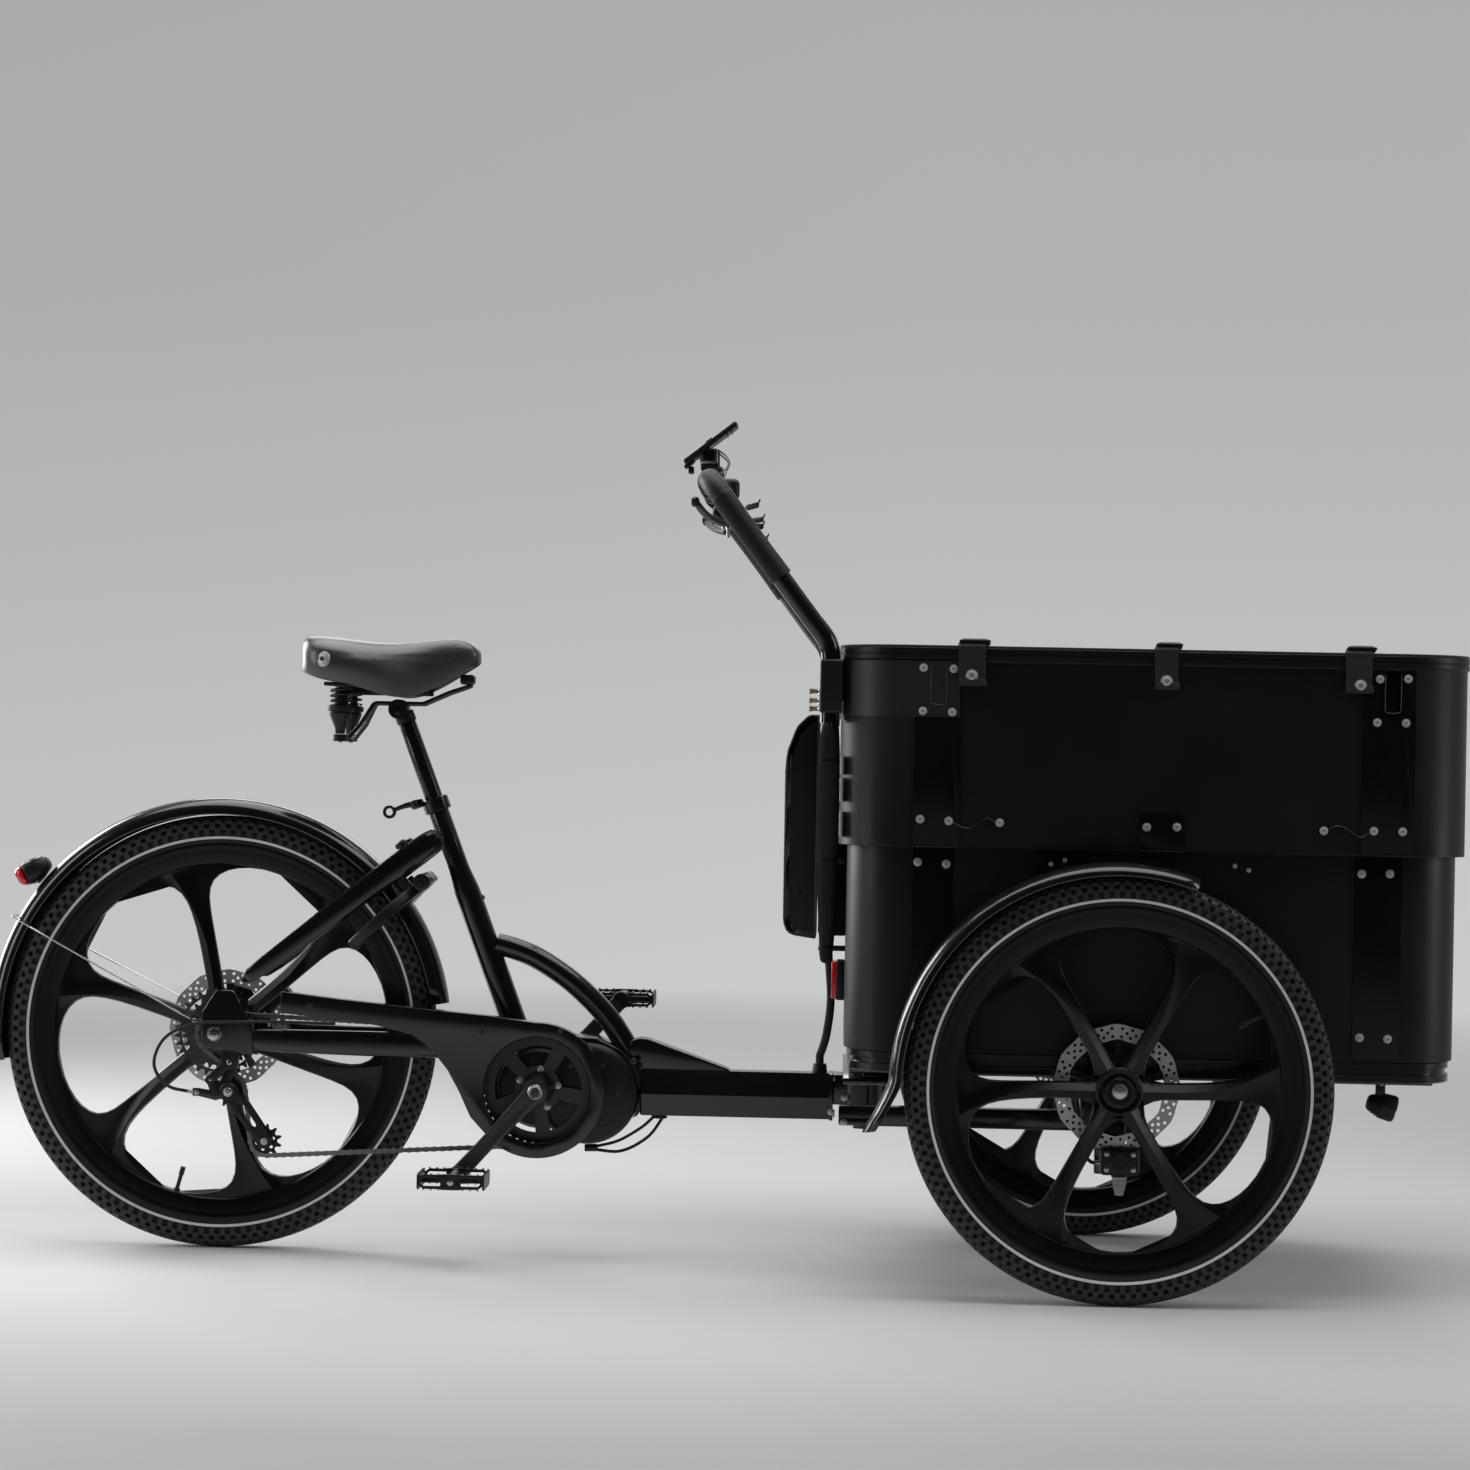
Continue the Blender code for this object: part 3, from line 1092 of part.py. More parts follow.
def make_box():
    """Base tray, lower tub, upper ring with its rim, and the fabric cover with its straps."""
    low, high = BOX_Z
    base = plate("box_base", [box_outline(-0.005)], 0.3145, low - CLEARANCE, "gloss", "XY")
    groove = plate("base_groove", [box_outline(0.01), box_outline(-0.009)], 0.3270, 0.3340, None, "XY")
    tab = box("headlight_tab", (HEADLIGHT_PIVOT.x, HEADLIGHT_PIVOT.y, 0.3190), (0.014, 0.008, 0.044))
    ends = HEADLIGHT_PIVOT - Y * 0.03, HEADLIGHT_PIVOT + Y * 0.03
    tab_hole = rod("headlight_tab_hole", *ends, 0.0034, sides=8)
    hollow = plate("base_hollow", [box_outline(-0.014)], 0.3100, low - CLEARANCE - 0.005, None, "XY")
    rails = []
    for side in (RIGHT, LEFT):
        rails.append(box(f"rail_{side}", (0.640, side * RAIL_Y, 0.3100), (0.850, 0.030, 0.0120)))
        rails.append(box(f"rail_web_{side}", (0.640, side * RAIL_Y, 0.3275), (0.842, 0.006, 0.0310)))
    cut(base, hollow, groove)
    cut(join(base, tab, *rails), tab_hole)
    tub = plate("box_lower", [box_outline()], low, high + 0.025, "satin", "XY")
    cut(tub, plate("tub_hollow", [box_outline(-WALL)], low + 0.008, 1.0, None, "XY"))
    join(tub, box("dock_foot", (0.1855, 0, 0.5660), (0.0410, 0.070, 0.140)),
         box("dock_rail", (0.1700, 0, 0.6500), (0.0100, 0.070, 0.308)))
    wall, lip = UPPER_OVERHANG, UPPER_OVERHANG + 0.003
    box_ring("box_upper", (
        (wall, high), (wall, 0.9085), (lip, 0.9085), (lip, UPPER_TOP),
        (wall - WALL, UPPER_TOP), (wall - WALL, high + 0.004), (CLEARANCE, high + 0.004), (CLEARANCE, high),
    ), "satin")
    make_cover()


def make_cover():
    """Flat cover on the rim, with three strap ends down each side."""
    low = UPPER_TOP + CLEARANCE
    outline = box_outline(UPPER_OVERHANG + 0.001)
    cover = plate("box_cover", [outline], low, low + COVER_THICKNESS, "fabric", "XY")
    side_y = BOX_HALF_WIDTH + UPPER_OVERHANG + 0.0035
    straps = []
    for x, width, drop in ((0.378, 0.054, 0.872), (0.656, 0.046, 0.871), (0.930, 0.052, 0.872)):
        for side in (RIGHT, LEFT):
            strap_place = (x, side * (side_y + 0.0010), (drop + STRAP_TOP) / 2)
            straps.append(box(f"strap_{x}_{side}", strap_place, (width * 0.7, 0.0018, STRAP_TOP - drop)))
            buckle_place = (x + 0.004, side * (side_y - 0.0125), STRAP_TOP + 0.001)
            straps.append(box(f"buckle_{x}_{side}", buckle_place, (width * 0.9, 0.028, 0.0130)))
    join(cover, *straps)


def make_handlebar():
    """Clamp bracket round the box, bent bar with perches, grips, display, shifter and levers."""
    grow = UPPER_OVERHANG + CLEARANCE
    outer, inner = box_outline(grow + 0.0022), box_outline(grow)
    band = plate("handlebar_bracket", [outer], 0.8260, 0.9075, "gloss", "XY")
    front = box("band_front", (0.862, 0, 0.87), (1.0, 0.8, 0.2))
    clamps = [
        box(f"bar_clamp_{side}", (BAR_X + 0.011, side * BAR_HALF_WIDTH, 0.8690), (0.0510, 0.044, 0.0780))
        for side in (RIGHT, LEFT)
    ]
    cut(join(cut(band, front), *clamps), plate("bracket_box_space", [inner], 0.80, 0.95, None, "XY"))
    bores = []
    for side in (RIGHT, LEFT):
        ends = (BAR_X, side * BAR_HALF_WIDTH, 0.80), (BAR_X, side * BAR_HALF_WIDTH, 0.94)
        bores.append(rod(f"clamp_bore_bar_{side}", *ends, BAR_RADIUS + BAR_GAP, sides=16))
    cut(band, *bores)
    arm = [(BAR_X, 0.8160), (BAR_X, 0.9300), (0.1480, 0.9640), (CROSS_BAR.x, CROSS_BAR.z)]
    route = [Vector((x, -BAR_HALF_WIDTH, z)) for x, z in arm]
    route += [Vector((x, BAR_HALF_WIDTH, z)) for x, z in arm[::-1]]
    bent = rounded(route, (0.060, 0.060, 0.045, 0.045, 0.060, 0.060), 3)
    bar = solid(tube("handlebar", bent, BAR_RADIUS, "gloss", 2))
    painted(bar, "gloss")
    perches = []
    for side in (RIGHT, LEFT):
        centre = CROSS_BAR + Y * side * PERCH_Y
        perches.append(rod(f"perch_{side}", centre - Y * 0.013, centre + Y * 0.013, 0.0200, sides=16))
        perches.append(box(f"perch_body_{side}", centre + Vector((0.016, 0, -0.028)), (0.026, 0.030, 0.036)))
    join(bar, *perches)
    make_controls()


def lever_line(side):
    """A brake lever's pivot, its ball and the axis that it turns on when it is pulled to the bar."""
    pivot = Vector((0.0110, side * PERCH_Y, 1.1125))
    ball = Vector((-0.0280, side * 0.210, 1.1370))
    return pivot, ball, (ball - pivot).cross(Vector((0.021, 0, 0.031))).normalized()


def make_controls():
    """Grips on the arms, and what sits on the cross bar."""
    for label, side in (("right", RIGHT), ("left", LEFT)):
        top = Vector((0.0222, side * BAR_HALF_WIDTH, 1.1296))
        foot = Vector((0.1010, side * BAR_HALF_WIDTH, 1.0258))
        grip = rod(f"grip_{label}", foot, top, GRIP_RADIUS, "grip", 16)
        ends = foot.lerp(top, -0.2), foot.lerp(top, 1.2)
        bore = rod(f"grip_bore_{label}", *ends, BAR_RADIUS + CLEARANCE, sides=16)
        cut(grip, bore)
    tilt = Matrix.Rotation(math.radians(-38), 3, "Y")
    screen = box("display", (-0.0145, 0, 1.2405), (0.101, 0.062, 0.0090), "satin", 0.003, tilt)
    neck = box("display_neck", (-0.0150, 0, 1.2160), (0.030, 0.030, 0.036), bevel=0.003)
    foot = box("display_foot", (-0.0100, 0, 1.1860), (0.034, 0.034, 0.040), bevel=0.003)
    room = BAR_RADIUS + BAR_GAP
    bar_space = rod("display_bar_space", CROSS_BAR - Y * 0.1, CROSS_BAR + Y * 0.1, room, sides=16)
    cut(join(screen, neck, foot), bar_space)
    shifter = box("shifter", (0.0130, -0.185, 1.1580), (0.050, 0.034, 0.034), "satin", 0.005)
    cut(shifter, rod("shifter_bar_space", CROSS_BAR - Y * 0.25, CROSS_BAR - Y * 0.1, room, sides=16))
    for label, side in (("right", RIGHT), ("left", LEFT)):
        pivot, ball, _ = lever_line(side)
        stations = (
            (pivot, 0.0045, 0.0060),
            (pivot.lerp(ball, 0.3) + Vector((-0.003, 0, -0.004)), 0.0040, 0.0060),
            (pivot.lerp(ball, 0.95), 0.0035, 0.0045),
        )
        out = (ball - pivot).normalized()
        up = out.cross(X).normalized()
        rings = [oval(place, up * high, out.cross(up) * wide, 8, 2.4) for place, high, wide in stations]
        blade = loft(f"brake_lever_{label}", rings, "satin")
        knob = rod(f"lever_ball_{label}", ball - out * 0.008, ball + out * 0.008, 0.0085, sides=12)
        join(blade, knob)


def make_battery():
    """Battery on the box's rear wall, and the headlight under its front."""
    outline = [
        (0.161, 0.830), (0.146, 0.830), (0.126, 0.812), (0.1120, 0.775), (0.1090, 0.745), (0.1100, 0.520),
        (0.1150, 0.504), (0.1270, 0.497), (0.1610, 0.492),
    ]
    plate("battery", [outline], -0.070, 0.070, "satin")
    lamp = turned("headlight", [
        (0.0, 0.0440), (0.0170, 0.0440), (0.0200, 0.0400), (0.0190, 0.0200), (0.0120, 0.0040), (0.0, 0.0),
    ], (0, 0, 0), "satin", 16, axis="Z")
    aim = Matrix.Rotation(math.radians(105), 4, "Y")
    lamp.matrix_world = Matrix.Translation((0.9820, -0.120, 0.2720)) @ aim
    ears = []
    for side in (RIGHT, LEFT):
        ear_place = HEADLIGHT_PIVOT + Vector((-0.001, side * 0.0066, -0.0085))
        ears.append(box(f"headlight_ear_{side}", ear_place, (0.013, 0.0040, 0.026)))
    pin = rod("headlight_pin", HEADLIGHT_PIVOT - Y * 0.0110, HEADLIGHT_PIVOT + Y * 0.0110, 0.0030, sides=8)
    join(lamp, *ears, pin)


def make_loom():
    """Sleeved cable loom down the back of the box to the main tube."""
    route = [
        (0.181, -0.085, 0.816), (0.179, -0.085, 0.720), (0.1775, -0.085, 0.600),
        (0.180, -0.085, 0.480), (0.1850, -0.082, 0.405), (0.1800, -0.055, 0.352),
        (0.1740, -0.014, 0.325), LOOM_FOOT + Z * 0.0120,
    ]
    tube("cable_loom", [*smooth(route, 2), LOOM_FOOT + Z * CLEARANCE], 0.0075, "rubber", 1)


# Joints


def hang(joint, place, axis, carrier, nodes):
    """An empty on a joint's axis, Z along it, that carries the moving pieces. Nothing shifts."""
    pivot = bpy.data.objects.new(f"axis_{joint}", None)
    bpy.data.collections["cargo_tricycle"].objects.link(pivot)
    pivot.location = place
    pivot.rotation_euler = axis.to_track_quat("Z", "Y").to_euler()
    bpy.context.view_layer.update()
    children = [bpy.data.objects[node] for node in nodes]
    for child in children:
        child.parent = pivot
        child.matrix_parent_inverse = pivot.matrix_world.inverted()
    if carrier:
        holder = bpy.data.objects[f"axis_{carrier}"]
        pivot.parent = holder
        pivot.matrix_parent_inverse = holder.matrix_world.inverted()
    bpy.context.view_layer.update()


def make_joints():
    """Hangs every moving piece on its joint's axis."""
    post = (SEAT_TUBE_TOP - SEAT_TUBE_FOOT).normalized()
    front = ["front_subframe", "box_base", "box_lower", "box_upper", "handlebar_bracket",
             "front_mudguard_right", "front_mudguard_left", "cable_loom"]
    hang("steering", (KINGPIN_X, 0, 0.26), Z, None, front)
    hang("seat_height", SEAT_TUBE_TOP, post, None,
         ["seat_post", "saddle_rails", "saddle", "saddle_spring_right", "saddle_spring_left"])
    hang("seat_lever_open", seat_cam(), post, None, ["seat_lever"])
    lock_centre = LOCK_ORIGIN + LOCK_ALONG * LOCK_MIDDLE
    hang("lock_shackle_close", lock_centre, LOCK_ALONG.cross(Y), None, ["lock_shackle"])
    line = Y * CHAIN_LINE
    hang("derailleur_cage_swing", GUIDE_PULLEY + line, Y, None, ["derailleur_cage"])
    hang("jockey_upper_spin", GUIDE_PULLEY + line, Y, "derailleur_cage_swing", ["jockey_wheel_upper"])
    hang("jockey_lower_spin", TENSION_PULLEY + line, Y, "derailleur_cage_swing", ["jockey_wheel_lower"])
    hang("crank_spin", CRANK_AXIS, Y, None, ["crank_right", "crank_left"])
    for label, side in (("right", RIGHT), ("left", LEFT)):
        middle = crank_tip(side) + Y * side * PEDAL_OFFSET
        hang(f"pedal_{label}_spin", middle, Y, "crank_spin", [f"pedal_{label}"])
    hang("rear_wheel_spin", REAR_AXLE, Y, None, ["rear_wheel", "rear_tyre"])
    hang("cassette_spin", REAR_AXLE, Y, None, ["cassette"])
    for label, side in (("right", RIGHT), ("left", LEFT)):
        hang(f"front_wheel_{label}_spin", FRONT_AXLE + Y * side * TRACK / 2, Y, "steering",
             [f"front_wheel_{label}", f"front_tyre_{label}"])
    hang("cover_lift", (0.646, 0, UPPER_TOP), Z, "steering", ["box_cover"])
    hang("battery_lift", (0.135, 0, 0.66), Z, "steering", ["battery"])
    hang("headlight_tilt", HEADLIGHT_PIVOT, Y, "steering", ["headlight"])
    hang("handlebar_height", (0.1755, 0, 0.87), Z, "steering",
         ["handlebar", "grip_right", "grip_left", "display", "shifter"])
    for label, side in (("right", RIGHT), ("left", LEFT)):
        pivot, _, axis = lever_line(side)
        hang(f"brake_lever_{label}_squeeze", pivot, axis, "handlebar_height", [f"brake_lever_{label}"])


def main():
    """Builds every part."""
    for obj in list(bpy.data.objects):
        bpy.data.objects.remove(obj)
    collection("cargo_tricycle")
    collection("construction")
    make_wheels()
    make_main_tube()
    make_motor()
    make_seat_tube()
    make_stays()
    make_mudguards()
    make_rear_light()
    make_ring_lock()
    make_chain()
    make_cranks()
    make_cassette()
    make_derailleur()
    make_chain_guard()
    make_rear_brake()
    make_rear_cables()
    make_saddle()
    make_subframe()
    make_box()
    make_handlebar()
    make_battery()
    make_loom()
    make_joints()


main()
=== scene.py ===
"""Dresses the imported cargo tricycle: its finishes, wheels, box, drive and saddle, in a pale studio."""

import json
import logging
import math
from dataclasses import dataclass
from enum import Enum

import bmesh
import bpy
from mathutils import Matrix, Vector

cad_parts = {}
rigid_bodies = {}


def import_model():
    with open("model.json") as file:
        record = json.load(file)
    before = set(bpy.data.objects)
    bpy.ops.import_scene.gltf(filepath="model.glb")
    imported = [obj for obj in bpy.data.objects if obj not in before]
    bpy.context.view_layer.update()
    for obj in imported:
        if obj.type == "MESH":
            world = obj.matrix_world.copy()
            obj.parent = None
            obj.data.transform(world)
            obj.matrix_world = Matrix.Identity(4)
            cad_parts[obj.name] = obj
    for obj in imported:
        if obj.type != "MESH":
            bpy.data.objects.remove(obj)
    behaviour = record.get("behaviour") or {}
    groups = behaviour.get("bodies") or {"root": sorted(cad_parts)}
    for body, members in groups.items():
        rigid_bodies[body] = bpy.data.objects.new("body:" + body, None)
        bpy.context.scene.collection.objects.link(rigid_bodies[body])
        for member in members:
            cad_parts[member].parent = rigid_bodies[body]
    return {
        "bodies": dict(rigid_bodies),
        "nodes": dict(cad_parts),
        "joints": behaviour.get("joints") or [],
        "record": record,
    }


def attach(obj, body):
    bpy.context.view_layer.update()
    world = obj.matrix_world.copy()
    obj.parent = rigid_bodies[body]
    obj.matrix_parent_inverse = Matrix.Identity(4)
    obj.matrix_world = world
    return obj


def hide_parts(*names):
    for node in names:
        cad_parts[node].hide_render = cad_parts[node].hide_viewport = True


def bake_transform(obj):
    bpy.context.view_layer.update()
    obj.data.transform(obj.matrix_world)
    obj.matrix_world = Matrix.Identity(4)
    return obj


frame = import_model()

LOG = logging.getLogger("cargo_tricycle")
RIGHT, LEFT = -1, 1
SIDES = (RIGHT, LEFT)
NAMED_SIDES = (("right", RIGHT), ("left", LEFT))
X, Y, Z = Vector((1, 0, 0)), Vector((0, 1, 0)), Vector((0, 0, 1))
Point = tuple[float, float, float]
Piece = bpy.types.Object
REAR_AXLE: Point = (-0.7444, 0.0, 0.3295)
FRONT_AXLE: Point = (0.5944, 0.0, 0.3035)
HALF_TRACK = 0.385
CRANK_AXIS: Point = (-0.255, 0.0, 0.256)
MOTOR_CENTRE: Point = (-0.182, 0.0, 0.25)
SEAT_UP = Vector((-0.355361, 0, 0.934729))


class Grain(Enum):
    """What a surface's small relief looks like."""

    ORANGE_PEEL = "orange peel"
    PEBBLE = "pebble"
    BRUSHED = "brushed"
    WEAVE = "weave"
    RIBBED = "ribbed"
    CAST = "cast"


# Finishes


class Recipe:
    """A material in the making: a Principled shader with the nodes that feed it."""

    def __init__(self, name: str) -> None:
        """Starts a material of this name.

        Args:
            name: The material's name.
        """
        self.material = bpy.data.materials.new(name)
        self.material.use_nodes = True
        self.tree = self.material.node_tree
        self.shader = self.tree.nodes["Principled BSDF"]
        self.place = self.node("ShaderNodeTexCoord").outputs["Object"]

    def node(self, kind: str, settings: dict | None = None, **links: object) -> bpy.types.Node:
        """Adds a node.

        Args:
            kind: The node's type name.
            settings: Its properties.
            links: Its inputs by name (or _0, _1 by number): an output to link, or a value.

        Returns:
            The new node.
        """
        made = self.tree.nodes.new(kind)
        for key, value in (settings or {}).items():
            setattr(made, key, value)
        for key, value in links.items():
            socket = made.inputs[int(key[1:])] if key[0] == "_" else made.inputs[key.replace("_", " ")]
            if isinstance(value, bpy.types.NodeSocket):
                self.tree.links.new(value, socket)
            else:
                socket.default_value = value
        return made

    def stretched(self, scale: Point) -> bpy.types.NodeSocket:
        """Object coordinates scaled by axis, for grain that runs one way."""
        return self.node("ShaderNodeMapping", Vector=self.place, Scale=scale).outputs[0]

    def noise(self, scale: float, detail: float = 3.0, place: object = None) -> bpy.types.NodeSocket:
        """Noise over the surface, from 0 to 1."""
        return self.node("ShaderNodeTexNoise", Vector=place or self.place, Scale=scale,
                         Detail=detail).outputs[0]

    def spread(self, value: object, low: float, high: float, start: float = 0.3,
               end: float = 0.7) -> object:
        """Maps a value from start..end to low..high, kept inside that range."""
        made = self.node("ShaderNodeMapRange", Value=value, From_Min=start, From_Max=end, To_Min=low,
                         To_Max=high)
        return made.outputs[0]

    def math(self, operation: str, one: object, two: object = 0.5) -> object:
        """One step of arithmetic on values."""
        return self.node("ShaderNodeMath", {"operation": operation}, _0=one, _1=two).outputs[0]

    def mix(self, share: object, one: object, two: object) -> object:
        """A colour between two colours."""
        made = self.node("ShaderNodeMix", {"data_type": "RGBA"}, _0=share, _6=one, _7=two)
        return made.outputs[2]

    def bump(self, height: object, depth: float, strength: float = 1.0, before: object = None) -> object:
        """A normal raised by height, in metres of depth.

        Args:
            height: The height, from 0 to 1.
            depth: What a height of 1 measures.
            strength: How strongly it shows.
            before: The normal that it adds to, or None.

        Returns:
            The normal.
        """
        links = {"Height": height, "Distance": depth, "Strength": strength}
        if before is not None:
            links["Normal"] = before
        return self.node("ShaderNodeBump", **links).outputs[0]

    def feed(self, **links: object) -> None:
        """Links or sets the shader's own inputs by name.

        Args:
            **links: A value or a socket for each input.
        """
        for key, value in links.items():
            socket = self.shader.inputs[key.replace("_", " ")]
            if isinstance(value, bpy.types.NodeSocket):
                self.tree.links.new(value, socket)
            else:
                socket.default_value = value


@dataclass(frozen=True)
class Finish:
    """A solid finish with mottled colour, uneven gloss, small relief and an optional painted glow."""

    name: str
    colour: Point
    second: Point
    roughness: tuple[float, float]
    grain: Grain = Grain.ORANGE_PEEL
    scale: float = 400.0
    depth: float = 0.00005
    metallic: float = 0.0
    coat: float = 0.0
    sheen: float = 0.0
    specular: float = 0.5
    dust: float = 0.0
    transmission: float = 0.0
    painted_glow: float = 0.0

    def relief(self, recipe: Recipe) -> object:
        """Height of the small relief, from 0 to 1.

        Args:
            recipe: The material that it is built in.

        Returns:
            The height.
        """
        if self.grain is Grain.PEBBLE:
            cells = recipe.node("ShaderNodeTexVoronoi", {"feature": "SMOOTH_F1"}, Vector=recipe.place,
                                Scale=self.scale, Smoothness=0.4)
            return cells.outputs[0]
        if self.grain is Grain.BRUSHED:
            return recipe.noise(self.scale, 2.0, recipe.stretched((1, 1, 0.04)))
        if self.grain is Grain.WEAVE:
            waves = [recipe.node("ShaderNodeTexWave", {"bands_direction": axis}, Vector=recipe.place,
                                 Scale=self.scale, Distortion=0.3).outputs[1] for axis in ("X", "Y", "Z")]
            return recipe.math("MAXIMUM", waves[0], recipe.math("MAXIMUM", waves[1], waves[2]))
        if self.grain is Grain.RIBBED:
            return recipe.node("ShaderNodeTexWave", {"bands_direction": "Z"}, Vector=recipe.place,
                               Scale=self.scale, Distortion=0.2).outputs[1]
        detail = 5.0 if self.grain is Grain.CAST else 1.0
        return recipe.noise(self.scale, detail)

    def make(self) -> bpy.types.Material:
        """Builds the material."""
        recipe = Recipe(self.name)
        patches = recipe.noise(9.0, 4.0)
        speckle = recipe.noise(160.0, 3.0)
        share = recipe.spread(recipe.math("ADD", recipe.math("MULTIPLY", patches, 0.65),
                                          recipe.math("MULTIPLY", speckle, 0.35)), 0.0, 1.0)
        colour = recipe.mix(share, (*self.colour, 1), (*self.second, 1))
        rough = recipe.spread(share, *self.roughness, 0.0, 1.0)
        if self.dust:
            up = recipe.node("ShaderNodeSeparateXYZ",
                             _0=recipe.node("ShaderNodeNewGeometry").outputs["Normal"])
            settled = recipe.math("MULTIPLY", recipe.spread(up.outputs[2], 0.0, self.dust, 0.2, 1.0),
                                  recipe.spread(recipe.noise(38.0, 6.0), 0.2, 1.0, 0.35, 0.75))
            colour = recipe.mix(settled, colour, (0.16, 0.155, 0.145, 1))
            rough = recipe.math("ADD", rough, recipe.math("MULTIPLY", settled, 0.5))
        recipe.feed(Base_Color=colour, Roughness=rough, Metallic=self.metallic,
                    Normal=recipe.bump(self.relief(recipe), self.depth), Coat_Weight=self.coat,
                    Coat_Roughness=0.06, Sheen_Weight=self.sheen, Specular_IOR_Level=self.specular,
                    Transmission_Weight=self.transmission)
        # Painted glow: the surface gives off light in its own colour, though it is no lamp.
        if self.painted_glow:
            recipe.feed(Emission_Color=(*self.colour, 1), Emission_Strength=self.painted_glow)
        return recipe.material


@dataclass(frozen=True)
class TurnedSteel(Finish):
    """Steel ground in rings about an axle that runs along Y."""

    axle: Point = (0.0, 0.0, 0.0)

    def relief(self, recipe: Recipe) -> object:
        """Rings about the axle.

        Args:
            recipe: The material that it is built in.

        Returns:
            The height of the rings.
        """
        place = recipe.node("ShaderNodeMapping", {"vector_type": "TEXTURE"}, Vector=recipe.place,
                            Location=self.axle).outputs[0]
        flat = recipe.node("ShaderNodeMapping", Vector=place, Scale=(1, 0, 1)).outputs[0]
        length = recipe.node("ShaderNodeVectorMath", {"operation": "LENGTH"}, _0=flat).outputs[1]
        return recipe.noise(self.scale, 2.0, recipe.node("ShaderNodeCombineXYZ", X=length).outputs[0])


